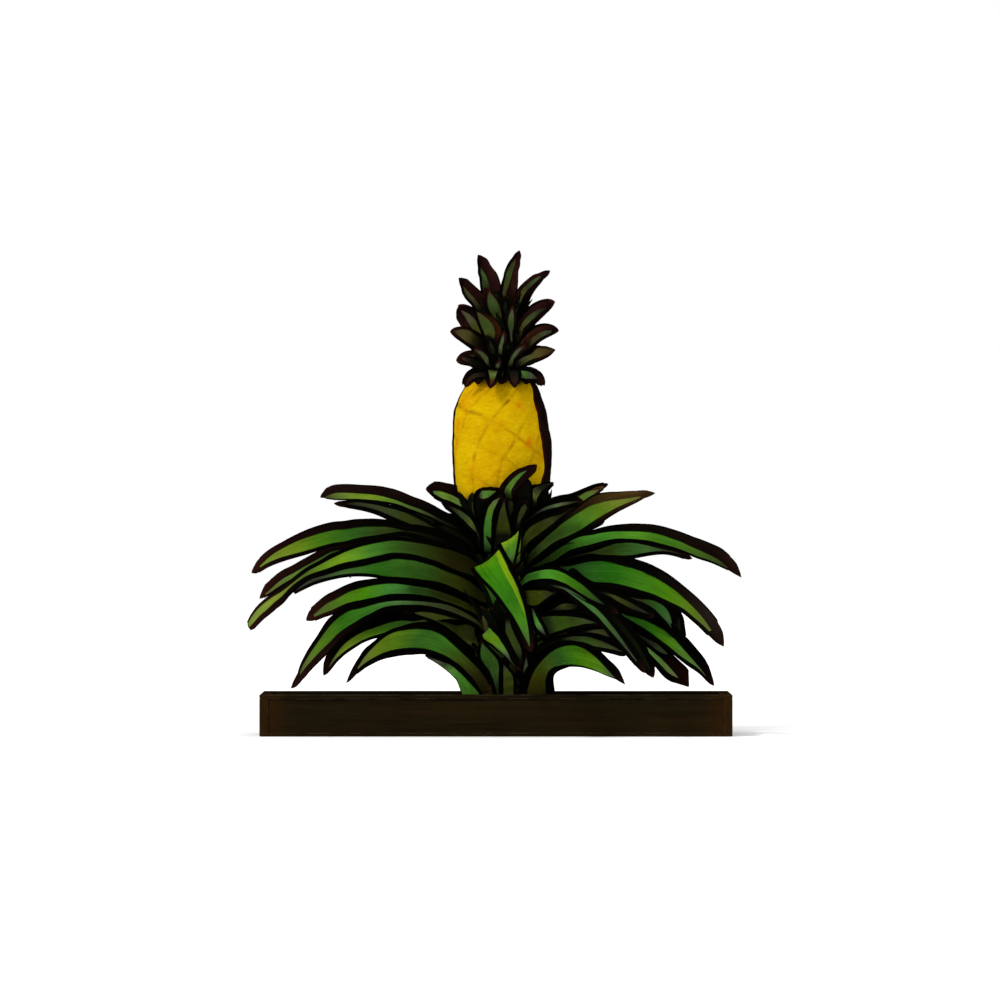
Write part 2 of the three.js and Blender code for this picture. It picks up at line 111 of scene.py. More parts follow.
def unit(a):
    return a / np.maximum(np.linalg.norm(a, axis=-1, keepdims=True), 1e-12)


def lerp(a, b, t):
    return a + (b - a) * t


def make_mesh(name, verts, faces, uv=None, attrs=None, smooth_shade=True, mats=(), face_mat=None):
    """verts (n,3) in metres; faces a list of index tuples or an (m,4) array; uv per vertex."""
    me = bpy.data.meshes.new(name)
    me.from_pydata(np.asarray(verts).tolist(), [], faces.tolist() if hasattr(faces, "tolist") else faces)
    me.update()
    if uv is not None:
        layer = me.uv_layers.new(name="UVMap")
        idx = np.zeros(len(me.loops), np.int32)
        me.loops.foreach_get("vertex_index", idx)
        layer.data.foreach_set("uv", np.asarray(uv, np.float32)[idx].ravel())
    for key, val in (attrs or {}).items():
        val = np.asarray(val, np.float32)
        if val.ndim == 1:
            a = me.attributes.new(key, "FLOAT", "POINT")
            a.data.foreach_set("value", val)
        else:
            if val.shape[1] == 3:
                val = np.concatenate([val, np.ones((len(val), 1), np.float32)], 1)
            a = me.attributes.new(key, "FLOAT_COLOR", "POINT")
            a.data.foreach_set("color", val.ravel())
    if smooth_shade:
        me.polygons.foreach_set("use_smooth", np.ones(len(me.polygons), bool))
    for m in mats:
        me.materials.append(m)
    if face_mat is not None:
        me.polygons.foreach_set("material_index", np.asarray(face_mat, np.int32))
    o = bpy.data.objects.new(name, me)
    scene.collection.objects.link(o)
    return o


class Nodes:
    """A short way to write a material's node tree."""

    def __init__(self, name):
        self.mat = bpy.data.materials.new(name)
        self.mat.use_nodes = True
        self.t = self.mat.node_tree
        self.bsdf = self.t.nodes["Principled BSDF"]
        self.out = self.t.nodes["Material Output"]

    def node(self, kind, **props):
        n = self.t.nodes.new(kind)
        for k, v in props.items():
            setattr(n, k, v)
        return n

    def link(self, a, b):
        self.t.links.new(a, b)

    def feed(self, socket, value):
        if hasattr(value, "is_output"):
            self.link(value, socket)
        else:
            socket.default_value = value

    def math(self, op, a, b=None, c=None, clamp=False):
        n = self.node("ShaderNodeMath", operation=op, use_clamp=clamp)
        self.feed(n.inputs[0], a)
        if b is not None:
            self.feed(n.inputs[1], b)
        if c is not None:
            self.feed(n.inputs[2], c)
        return n.outputs[0]

    def ramp(self, fac, stops, interp="LINEAR"):
        n = self.node("ShaderNodeValToRGB")
        n.color_ramp.interpolation = interp
        els = n.color_ramp.elements
        while len(els) > 1:
            els.remove(els[-1])
        for i, (p, c) in enumerate(stops):
            e = els[0] if i == 0 else els.new(p)
            e.position = p
            e.color = (*c, 1) if hasattr(c, "__len__") else (c, c, c, 1)
        self.link(fac, n.inputs[0])
        return n.outputs[0]

    def step(self, x, a, b, lo=0.0, hi=1.0):
        n = self.node("ShaderNodeMapRange", interpolation_type="SMOOTHSTEP")
        self.feed(n.inputs["Value"], x)
        self.feed(n.inputs["From Min"], a)
        self.feed(n.inputs["From Max"], b)
        self.feed(n.inputs["To Min"], lo)
        self.feed(n.inputs["To Max"], hi)
        return n.outputs[0]

    def mix(self, fac, a, b, blend="MIX"):
        n = self.node("ShaderNodeMix", data_type="RGBA", blend_type=blend)
        self.feed(n.inputs[0], fac)
        for s, v in ((n.inputs[6], a), (n.inputs[7], b)):
            if hasattr(v, "is_output"):
                self.link(v, s)
            else:
                s.default_value = (*v, 1) if hasattr(v, "__len__") else (v, v, v, 1)
        return n.outputs[2]

    def noise(self, vec, scale, detail=3.0, rough=0.55, distort=0.0):
        n = self.node("ShaderNodeTexNoise")
        self.link(vec, n.inputs["Vector"])
        n.inputs["Scale"].default_value = scale
        n.inputs["Detail"].default_value = detail
        n.inputs["Roughness"].default_value = rough
        n.inputs["Distortion"].default_value = distort
        return n.outputs["Fac"]

    def voronoi(self, vec, scale, feature="F1", out="Distance"):
        n = self.node("ShaderNodeTexVoronoi", feature=feature)
        self.link(vec, n.inputs["Vector"])
        n.inputs["Scale"].default_value = scale
        return n.outputs[out]

    def vec(self, x, y, z):
        n = self.node("ShaderNodeCombineXYZ")
        for i, v in enumerate((x, y, z)):
            self.feed(n.inputs[i], v)
        return n.outputs[0]

    def split(self, v):
        n = self.node("ShaderNodeSeparateXYZ")
        self.link(v, n.inputs[0])
        return n.outputs

    def join(self, x, y, z):
        n = self.node("ShaderNodeCombineXYZ")
        for k, v in enumerate((x, y, z)):
            self.feed(n.inputs[k], v)
        return n.outputs[0]

    def attr(self, name, out="Color"):
        n = self.node("ShaderNodeAttribute", attribute_name=name)
        return n.outputs[out]

    def coords(self):
        return self.node("ShaderNodeTexCoord").outputs["Object"]

    def uv(self):
        return self.split(self.node("ShaderNodeUVMap", uv_map="UVMap").outputs[0])

    def bump(self, height, strength, distance, normal=None):
        n = self.node("ShaderNodeBump")
        n.inputs["Strength"].default_value = strength
        n.inputs["Distance"].default_value = distance
        self.link(height, n.inputs["Height"])
        if normal is not None:
            self.link(normal, n.inputs["Normal"])
        return n.outputs[0]

    def finish(self, color, rough, normal=None, specular=0.3):
        self.feed(self.bsdf.inputs["Base Color"], color)
        self.feed(self.bsdf.inputs["Roughness"], rough)
        if normal is not None:
            self.link(normal, self.bsdf.inputs["Normal"])
        self.bsdf.inputs["Specular IOR Level"].default_value = specular
        return self.mat


# ------------------------------------------------------------------ materials
def leaf_material(name, specular=0.0):
    """A channelled blade with two coloured strips between dark margins. edge: colour of the margins
    and the fold, alpha a seed; the near-black margins are partly the leaf's own dark margin and partly painted shade
    between the leaves, and the dark fold between two strips is a painted shadow in the channel; tint, tint2: colours of
    the strips; ctrl: where each strip starts and ends across the width, 0 at the upper margin and 1 at the lower;
    under: 1 on the underside."""
    n = Nodes(name)
    u, v, _ = n.uv()
    seed10 = n.math("MULTIPLY", n.attr("edge", "Alpha"), 10.0)
    ctrl = n.split(n.attr("ctrl", "Vector"))
    b1 = n.attr("ctrl", "Alpha")
    # fibres run along the blade; blotches are slower
    fib = n.noise(n.vec(n.math("MULTIPLY", u, 3.5), n.math("MULTIPLY", v, 46.0), seed10), 1.0, 3.0, 0.6)
    fine = n.noise(n.vec(n.math("MULTIPLY", u, 26.0), n.math("MULTIPLY", v, 150.0), seed10), 1.0, 2.0, 0.6)
    blot = n.noise(n.vec(n.math("MULTIPLY", u, 9.0), n.math("MULTIPLY", v, 3.0), seed10), 1.0, 4.0, 0.6)
    jit = n.noise(n.vec(n.math("MULTIPLY", u, 11.0), n.math("MULTIPLY", v, 1.5), seed10), 1.0, 4.0, 0.55)
    shade = n.math("ADD", n.math("MULTIPLY", fib, 0.62), n.math("MULTIPLY", blot, 0.50))
    shade = n.math("ADD", shade, n.math("MULTIPLY", fine, 0.30))          # about 0.71 on average
    shade = n.step(shade, 0.42, 1.0, 0.62, 1.38)
    grey = n.vec(shade, shade, shade)
    vj = n.math("ADD", v, n.math("MULTIPLY", n.math("SUBTRACT", jit, 0.5), 0.07))

    def strip(a, b):
        e = 0.020
        return n.math("MULTIPLY", n.step(vj, n.math("SUBTRACT", a, e), n.math("ADD", a, e), 0.0, 1.0),
                      n.step(vj, n.math("SUBTRACT", b, e), n.math("ADD", b, e), 1.0, 0.0))

    ma, mb = strip(ctrl[0], ctrl[1]), strip(ctrl[2], b1)
    edge_shade = n.step(n.math("ADD", n.math("MULTIPLY", fib, 0.5), n.math("MULTIPLY", blot, 0.5)), 0.3, 0.7, 0.65, 1.4)
    col = n.mix(1.0, n.attr("edge"), n.vec(edge_shade, edge_shade, edge_shade), "MULTIPLY")
    # a near-black line along both margins: partly the leaf's own margin, partly painted shade at its edge
    rim = n.math("MINIMUM", v, n.math("SUBTRACT", 1.0, v))
    col = n.mix(n.step(rim, 0.035, 0.085, 1.0, 0.0), col, tuple(lin(4, 3, 2)))
    col = n.mix(mb, col, n.mix(1.0, n.attr("tint2"), grey, "MULTIPLY"))
    col = n.mix(ma, col, n.mix(1.0, n.attr("tint"), grey, "MULTIPLY"))
    mask = n.math("MAXIMUM", ma, mb)
    # a dry ivory fibre here and there
    col = n.mix(n.math("MULTIPLY", n.step(fine, 0.68, 0.80, 0.0, 0.16), mask), col, tuple(lin(150, 150, 70)))
    # the underside is paler and scaly
    scaly = n.noise(n.vec(n.math("MULTIPLY", u, 30.0), n.math("MULTIPLY", v, 30.0), seed10), 1.0, 3.0, 0.7)
    under = n.math("MULTIPLY", n.attr("under", "Fac"), n.step(scaly, 0.35, 0.75, 0.06, 0.26))
    col = n.mix(n.math("MULTIPLY", under, n.math("ADD", 0.15, n.math("MULTIPLY", mask, 0.85))), col, tuple(lin(92, 110, 70)))
    rough = n.math("ADD", n.step(fib, 0.3, 0.7, 0.36, 0.50), n.math("MULTIPLY", n.math("SUBTRACT", 1.0, mask), 0.10))
    ridges = n.math("ADD", n.math("MULTIPLY", fib, 1.0), n.math("MULTIPLY", fine, 0.45))
    nor = n.bump(ridges, 0.55, 0.0007)
    return n.finish(col, rough, nor, specular)


LEAF = leaf_material("leaf_blade")
CROWN_LEAF = leaf_material("crown_leaf_blade")


def fruit_material():
    """groove: 0 in the groove, 1 in the middle of an eye; depth: how far the groove shows; eye: a number
    of its own for each eye; patch: riper skin; flank: painted shade on the side away from the light, with a thin
    painted dark line at the other edge; rim: the maroon edge of that painted shade; fade: how dark the painted shade
    is."""
    n = Nodes("fruit_rind")
    p = n.coords()
    groove = n.attr("groove", "Fac")
    ident = n.attr("eye", "Fac")
    shade_flank = n.attr("shade_flank", "Fac")
    big = n.noise(p, 16.0, 3.0, 0.5)
    mid = n.noise(p, 60.0, 4.0, 0.6)
    fine = n.noise(p, 420.0, 3.0, 0.6)
    pores = n.voronoi(p, 520.0)
    base = n.ramp(big, [(0.30, lin(176, 132, 3)), (0.50, lin(192, 156, 3)), (0.68, lin(198, 166, 6))])
    base = n.mix(n.step(ident, 0.55, 1.0, 0.0, 0.35), base, tuple(lin(188, 132, 4)))
    base = n.mix(n.step(mid, 0.54, 0.74, 0.0, 0.55), base, tuple(lin(194, 124, 4)))
    base = n.mix(n.step(fine, 0.58, 0.74, 0.0, 0.35), base, tuple(lin(158, 118, 6)))
    base = n.mix(n.step(fine, 0.34, 0.22, 0.0, 0.20), base, tuple(lin(208, 180, 44)))
    base = n.mix(n.math("MULTIPLY", n.attr("patch", "Fac"), n.step(mid, 0.36, 0.62, 0.35, 0.95)), base, tuple(lin(188, 112, 6)))
    x, y, z = n.split(p)
    around = n.join(n.math("MULTIPLY", x, 0.30), n.math("MULTIPLY", y, 0.30), z)
    streak = n.noise(around, 300.0, 3.0, 0.6)
    base = n.mix(n.step(streak, 0.52, 0.72, 0.0, 0.42), base, tuple(lin(160, 112, 4)))
    base = n.mix(n.step(streak, 0.46, 0.28, 0.0, 0.32), base, tuple(lin(214, 188, 30)))
    # grooves: brown, broken
    deep = n.attr("depth", "Fac")
    brk = n.math("MULTIPLY", n.step(n.noise(p, 70.0, 3.0, 0.6), 0.36, 0.62, 0.25, 1.0), deep)
    gm = n.math("MULTIPLY", n.step(groove, 0.03, 0.20, 0.95, 0.0), brk)
    halo = n.math("MULTIPLY", n.step(groove, 0.04, 0.40, 1.0, 0.0), n.math("MULTIPLY", n.step(n.noise(p, 34.0, 2.0, 0.5), 0.35, 0.65, 0.10, 0.55), deep))
    col = n.mix(halo, base, tuple(lin(184, 130, 4)))
    col = n.mix(gm, col, tuple(lin(122, 80, 6)))
    # the colour of the painted shade: near black, maroon along its rim
    dark = n.mix(n.step(mid, 0.35, 0.65), tuple(lin(13, 7, 6)), tuple(lin(24, 13, 11)))
    dark = n.mix(n.attr("rim", "Fac"), dark, tuple(lin(44, 15, 12)))
    shade_mask = n.step(n.math("ADD", shade_flank, n.math("MULTIPLY", n.math("SUBTRACT", mid, 0.5), 0.16)), 0.30, 0.66)
    # the painted shade turns olive and then yellow towards the back
    shade_fade = n.attr("shade_fade", "Fac")
    dark = n.mix(n.step(shade_fade, 0.25, 0.95), tuple(lin(74, 62, 10)), dark)
    shade_mask = n.math("MULTIPLY", shade_mask, n.step(n.math("ADD", shade_fade, n.math("MULTIPLY", n.math("SUBTRACT", mid, 0.5), 0.25)), 0.0, 0.8))
    col = n.mix(shade_mask, col, dark)
    rough = n.math("ADD", n.step(fine, 0.3, 0.7, 0.42, 0.60), n.math("MULTIPLY", shade_mask, 0.2))
    h = n.math("ADD", n.math("MULTIPLY", fine, 0.8), n.math("MULTIPLY", pores, 0.5))
    h = n.math("ADD", h, n.math("MULTIPLY", mid, 1.2))
    return n.finish(col, rough, n.bump(h, 0.5, 0.0012), 0.0)


def wood_material(name, along=0, base=(25, 20, 9), warm=(34, 23, 9), dark=(14, 11, 5)):
    """Dark weathered boards: grain runs along one axis. ends: how near the piece's ends it is;
    worn: where its arrises are rubbed."""
    n = Nodes(name)
    p = n.split(n.coords())
    q = [n.math("MULTIPLY", p[i], 6.0 if i == along else 130.0) for i in range(3)]
    grain = n.noise(n.vec(*q), 1.0, 5.0, 0.62, 0.35)
    q2 = [n.math("MULTIPLY", p[i], 1.6 if i == along else 26.0) for i in range(3)]
    broad = n.noise(n.vec(*q2), 1.0, 3.0, 0.5, 0.8)
    q3 = [n.math("MULTIPLY", p[i], 22.0 if i == along else 900.0) for i in range(3)]
    pore = n.noise(n.vec(*q3), 1.0, 3.0, 0.6)
    cloud = n.noise(n.coords(), 7.0, 4.0, 0.6)
    dust = n.noise(n.coords(), 900.0, 2.0, 0.6)
    col = n.ramp(grain, [(0.28, lin(*dark)), (0.50, lin(*base)), (0.72, lin(base[0] + 6, base[1] + 5, base[2] + 2))])
    col = n.mix(n.step(broad, 0.42, 0.68, 0.0, 0.55), col, tuple(lin(*warm)))
    col = n.mix(n.step(cloud, 0.50, 0.72, 0.0, 0.45), col, tuple(lin(18, 19, 9)))
    col = n.mix(n.step(pore, 0.60, 0.72, 0.0, 0.60), col, tuple(lin(8, 6, 3)))
    ends = n.attr("ends", "Fac")
    col = n.mix(n.math("MULTIPLY", ends, n.step(cloud, 0.30, 0.62, 0.30, 0.80)), col, tuple(lin(44, 26, 9)))
    worn = n.math("MULTIPLY", n.attr("worn", "Fac"), n.step(n.noise(n.vec(n.math("MULTIPLY", p[0], 40.0), n.math("MULTIPLY", p[1], 40.0), n.math("MULTIPLY", p[2], 90.0)), 1.0, 4.0, 0.65), 0.40, 0.62))
    col = n.mix(n.math("MULTIPLY", worn, 0.55), col, tuple(lin(70, 62, 50)))
    col = n.mix(n.step(dust, 0.70, 0.78, 0.0, 0.14), col, tuple(lin(90, 84, 66)))
    rough = n.step(grain, 0.3, 0.7, 0.78, 0.58)
    h = n.math("ADD", grain, n.math("MULTIPLY", pore, 0.7))
    return n.finish(col, rough, n.bump(h, 0.6, 0.0010), 0.0)


def soil_material():
    n = Nodes("potting_soil")
    p = n.coords()
    a = n.noise(p, 60.0, 5.0, 0.65)
    b = n.noise(p, 520.0, 3.0, 0.6)
    c = n.voronoi(p, 240.0)
    col = n.ramp(a, [(0.30, lin(12, 8, 5)), (0.52, lin(30, 20, 11)), (0.72, lin(46, 32, 18))])
    col = n.mix(n.step(b, 0.62, 0.72, 0.0, 0.6), col, tuple(lin(80, 58, 34)))
    col = n.mix(n.step(c, 0.05, 0.20, 0.5, 0.0), col, tuple(lin(8, 6, 4)))
    h = n.math("ADD", a, n.math("MULTIPLY", b, 0.6))
    return n.finish(col, 0.95, n.bump(h, 1.0, 0.003), 0.0)


def stem_material():
    """Old leaf bases: brown-olive, fibrous up and down, with painted shade in the rings between."""
    n = Nodes("stem_fibre")
    p = n.split(n.coords())
    fib = n.noise(n.vec(n.math("MULTIPLY", p[0], 420.0), n.math("MULTIPLY", p[1], 420.0), n.math("MULTIPLY", p[2], 28.0)), 1.0, 4.0, 0.6)
    blot = n.noise(n.coords(), 38.0, 4.0, 0.6)
    hollow_shade = n.attr("hollow_shade", "Fac")
    col = n.ramp(fib, [(0.30, lin(24, 16, 7)), (0.50, lin(52, 42, 14)), (0.72, lin(74, 68, 22))])
    col = n.mix(n.step(blot, 0.46, 0.66, 0.0, 0.5), col, tuple(lin(58, 30, 14)))
    # painted shade in the recesses between the rows of old leaf bases
    col = n.mix(n.math("MULTIPLY", hollow_shade, 0.85), col, tuple(lin(12, 8, 5)))
    h = n.math("ADD", fib, n.math("MULTIPLY", blot, 0.6))
    return n.finish(col, 0.78, n.bump(h, 0.9, 0.0014), 0.0)


FRUIT = fruit_material()
BOARD_X = wood_material("board_long", 0)
BOARD_Y = wood_material("board_end", 1, base=(28, 21, 9), warm=(40, 24, 10))
BOARD_Z = wood_material("corner_post", 2, base=(28, 20, 9), warm=(38, 23, 9))
SOIL = soil_material()
STEM = stem_material()

# ------------------------------------------------------------------ leaf blades
SOIL_TOP = 53.0
PLANT_X = 9.0
CROWN_X = 11.0

LEFT_LEAVES = [
    dict(name="leaf_left_1", az=166, rise=45.1, fall=1.6, ease=0.7, len=265, r0=40.2, z0=221, w=55.8, roll=52),
    dict(name="leaf_left_2", az=188, rise=44.3, fall=-34, ease=0.64, len=366, r0=36.4, z0=209.7, w=48.7, roll=51.3),
    dict(name="leaf_left_3", az=150, rise=25, fall=-39, ease=0.99, len=410, r0=41.6, z0=196.5, w=51.1, roll=49.6),
    dict(name="leaf_left_4", az=208, rise=34.5, fall=-44, ease=0.74, len=430, r0=36.7, z0=181.7, w=56.2, roll=40, split=1),
    dict(name="leaf_left_5", az=203, rise=26, fall=-25, ease=0.9, len=297, r0=44, z0=161, w=42, roll=44),
    dict(name="leaf_left_6", az=160, rise=28.2, fall=-37.4, ease=1.07, len=296.9, r0=35.1, z0=131.2, w=61.9, roll=51.2),
    dict(name="leaf_left_7", az=190, rise=39.5, fall=-69.1, ease=0.85, len=344, r0=32, z0=115, w=48.5, roll=50.9, split=1),
    dict(name="leaf_left_8", az=150, rise=38.1, fall=-58.7, ease=1.07, len=316.9, r0=38.1, z0=69.8, w=61.2, roll=52),
    dict(name="leaf_left_9", az=220, rise=54, fall=-42, ease=0.9, len=322, r0=33, z0=8, w=55, roll=48, split=1),
    dict(name="leaf_left_upper", az=200, rise=68.2, fall=11.6, ease=1.22, len=117.2, r0=38.3, z0=238.9, w=60.4, roll=52),
    dict(name="leaf_left_10", az=206, rise=57, fall=24, ease=1, len=96, r0=53, z0=5, w=43, roll=42.4),
]
RIGHT_LEAVES = [
    dict(name="leaf_right_1", az=25, rise=47.5, fall=13.2, ease=0.58, len=160.1, r0=46.3, z0=239.7, w=56.7, roll=46.8),
    dict(name="leaf_right_2", az=-15, rise=42.5, fall=11.5, ease=1.49, len=240, r0=31.1, z0=190.6, w=53, roll=50.9),
    dict(name="leaf_right_3", az=8, rise=41.2, fall=-33.6, ease=0.88, len=357.4, r0=33.3, z0=178.6, w=57.1, roll=51.8),
    dict(name="leaf_right_4", az=-18, rise=42.5, fall=-49.2, ease=0.54, len=357.9, r0=34.7, z0=177.7, w=62, roll=52, split=1),
    dict(name="leaf_right_5", az=20, rise=47.4, fall=-54.6, ease=0.47, len=365, r0=35.1, z0=140.1, w=61.9, roll=52, split=1),
    dict(name="leaf_right_6", az=36, rise=44.4, fall=-50.8, ease=0.51, len=375.7, r0=40.8, z0=106.2, w=61.6, roll=52),
    dict(name="leaf_right_7", az=-42, rise=46.6, fall=-55.8, ease=0.37, len=322.2, r0=40.4, z0=174.7, w=62, roll=49.5, split=1),
    dict(name="leaf_right_8", az=-25, rise=84, fall=-56, ease=0.8, len=186, r0=54, z0=8, w=53.8, roll=52, split=1),
    dict(name="leaf_right_9", az=48, rise=38.5, fall=-30, ease=0.74, len=239.4, r0=49.3, z0=66, w=62, roll=52),
]
FRONT_LEAVES = [
    dict(name="leaf_front_1", az=-112, rise=66, fall=-74, ease=0.62, len=292, r0=34, z0=178, w=56, roll=-26, bend=140),
    dict(name="leaf_front_2", az=-112, rise=60, fall=-62, ease=0.7, len=150, r0=36, z0=82, w=34, roll=-14, bend=78),
    dict(name="leaf_front_3", az=-66, rise=60, fall=-52, ease=0.7, len=166, r0=36, z0=84, w=32, roll=-10, bend=0),
    dict(name="leaf_front_4", az=-100, rise=62, fall=38, ease=0.8, len=84, r0=42, z0=14, w=36, roll=10, bend=-26),
]
BACK_LEAVES = [
    dict(name="leaf_back_1", az=62, rise=50, fall=-40, ease=0.8, len=352, r0=36, z0=169, w=52, roll=-14),
    dict(name="leaf_back_2", az=78, rise=52, fall=-48, ease=0.8, len=372, r0=34, z0=101, w=54, roll=-6),
    dict(name="leaf_back_3", az=90, rise=54, fall=-36, ease=0.85, len=338, r0=36, z0=189, w=50, roll=0),
    dict(name="leaf_back_4", az=104, rise=54, fall=-52, ease=0.75, len=360, r0=36, z0=139, w=54, roll=6),
    dict(name="leaf_back_5", az=118, rise=50, fall=-40, ease=0.8, len=290, r0=36, z0=65, w=52, roll=10),
    dict(name="leaf_back_6", az=130, rise=50, fall=-40, ease=0.8, len=360, r0=36, z0=179, w=50, roll=16),
]
YOUNG_LEAVES = [
    dict(name="leaf_young_1", az=-88, rise=76, fall=-82, ease=0.9, len=120, r0=34, z0=216, w=36, roll=-16, bend=6),
    dict(name="leaf_young_2", az=-96, rise=30, fall=66, ease=0.8, len=116, r0=32, z0=270, w=32, roll=0, bend=60),
    dict(name="leaf_young_3", az=-120, rise=62, fall=58, ease=1, len=94, r0=40, z0=222, w=28, roll=0, bend=50),
    dict(name="leaf_young_4", az=-24, rise=38, fall=72, ease=0.7, len=100, r0=34, z0=240, w=34, roll=10),
]
CROWN_LEAVES = [
    dict(name="crown_leaf_1", az=140, tip_r=54, tip_z=666.2, rise=89, fall=47.6, ease=1.41, w=32.6, roll=50.1),
    dict(name="crown_leaf_2", az=-30, tip_r=29.9, tip_z=670.3, rise=89, fall=75, ease=2.19, w=35, roll=66),
    dict(name="crown_leaf_3", az=22, tip_r=74.6, tip_z=645.5, rise=85.6, fall=26.2, ease=1.5, w=29.6, roll=52.2),
    dict(name="crown_leaf_4", az=-14, tip_r=79.7, tip_z=594.9, rise=80.6, fall=19.5, ease=0.87, w=34.7, roll=66),
    dict(name="crown_leaf_5", az=16, tip_r=86.8, tip_z=552.3, rise=76.4, fall=-12.7, ease=1.29, w=30.4, roll=66),
    dict(name="crown_leaf_6", az=-20, tip_r=80.2, tip_z=520.1, rise=51.2, fall=4, ease=0.7, w=29.2, roll=64.6),
    dict(name="crown_leaf_7", az=196, tip_r=70.6, tip_z=630.3, rise=76.1, fall=41.1, ease=1.5, w=34, roll=70),
    dict(name="crown_leaf_8", az=162, tip_r=71.3, tip_z=591, rise=79.4, fall=33.3, ease=1.36, w=33.1, roll=60.1),
    dict(name="crown_leaf_9", az=200, tip_r=84.8, tip_z=549.8, rise=65.4, fall=5.1, ease=1.15, w=32.9, roll=70),
    dict(name="crown_leaf_10", az=158, tip_r=76.6, tip_z=508, rise=50.9, fall=-15.1, ease=0.7, w=31.9, roll=56.5),
    dict(name="crown_leaf_front", az=-96, tip_r=74, tip_z=575, rise=78, fall=18, ease=1.3, w=30, roll=55),
    dict(name="crown_leaf_back", az=86, tip_r=76, tip_z=583, rise=78, fall=18, ease=1.3, w=30, roll=55),
]


def crown_lengths(leaf):
    i = np.arange(120)
    a = np.radians(leaf["rise"] + (leaf["fall"] - leaf["rise"]) * ((i + 0.5) / 120) ** leaf["ease"])
    leaf.setdefault("r0", 21 * 0.95 + 2)
    leaf["len"] = (leaf["tip_r"] - leaf["r0"]) / np.cos(a).mean()
    leaf["z0"] = leaf["tip_z"] - leaf["len"] * np.sin(a).mean()
    return leaf


for _leaf in CROWN_LEAVES:
    crown_lengths(_leaf)


def rib_points(leaf, axis_x, s):
    N = 120
    i = np.arange(N)
    a = np.radians(leaf["rise"] + (leaf["fall"] - leaf["rise"]) * ((i + 0.5) / N) ** leaf.get("ease", 1))
    r = np.concatenate([[leaf["r0"]], leaf["r0"] + np.cumsum(np.cos(a)) * leaf["len"] / N])
    z = np.concatenate([[0], np.cumsum(np.sin(a)) * leaf["len"] / N]) + SOIL_TOP + leaf["z0"]
    az = math.radians(leaf["az"])
    out = np.array([math.cos(az), math.sin(az), 0])
    side = np.array([-math.sin(az), math.cos(az), 0])

    def at(s):
        s = np.clip(s, 0, 1)
        rr = np.interp(s, np.linspace(0, 1, N + 1), r)
        zz = np.interp(s, np.linspace(0, 1, N + 1), z)
        p = np.zeros((len(s), 3))
        p[:, 0] = axis_x
        p[:, 2] = zz
        return p + out * rr[:, None] + side * (leaf.get("bend", 0) * s ** 2)[:, None]

    P = at(s)
    T = unit(at(np.minimum(1, s + 0.01)) - at(np.maximum(0, s - 0.01)))
    U0 = unit(side - (T @ side)[:, None] * T)
    N0 = np.cross(T, U0)
    turn = np.radians(leaf.get("roll", 0)) * (0.45 + 0.55 * smooth(0, 0.4, s)) * (1 if math.cos(az) >= 0 else -1)
    c, d = np.cos(turn)[:, None], np.sin(turn)[:, None]
    U = U0 * c + N0 * d
    Nn = N0 * c - U0 * d
    return P, T, U, Nn


def blade_width(s):
    return (0.5 + 0.5 * smooth(0, 0.38, s)) * np.maximum(0, 1 - s ** 5) ** 0.68


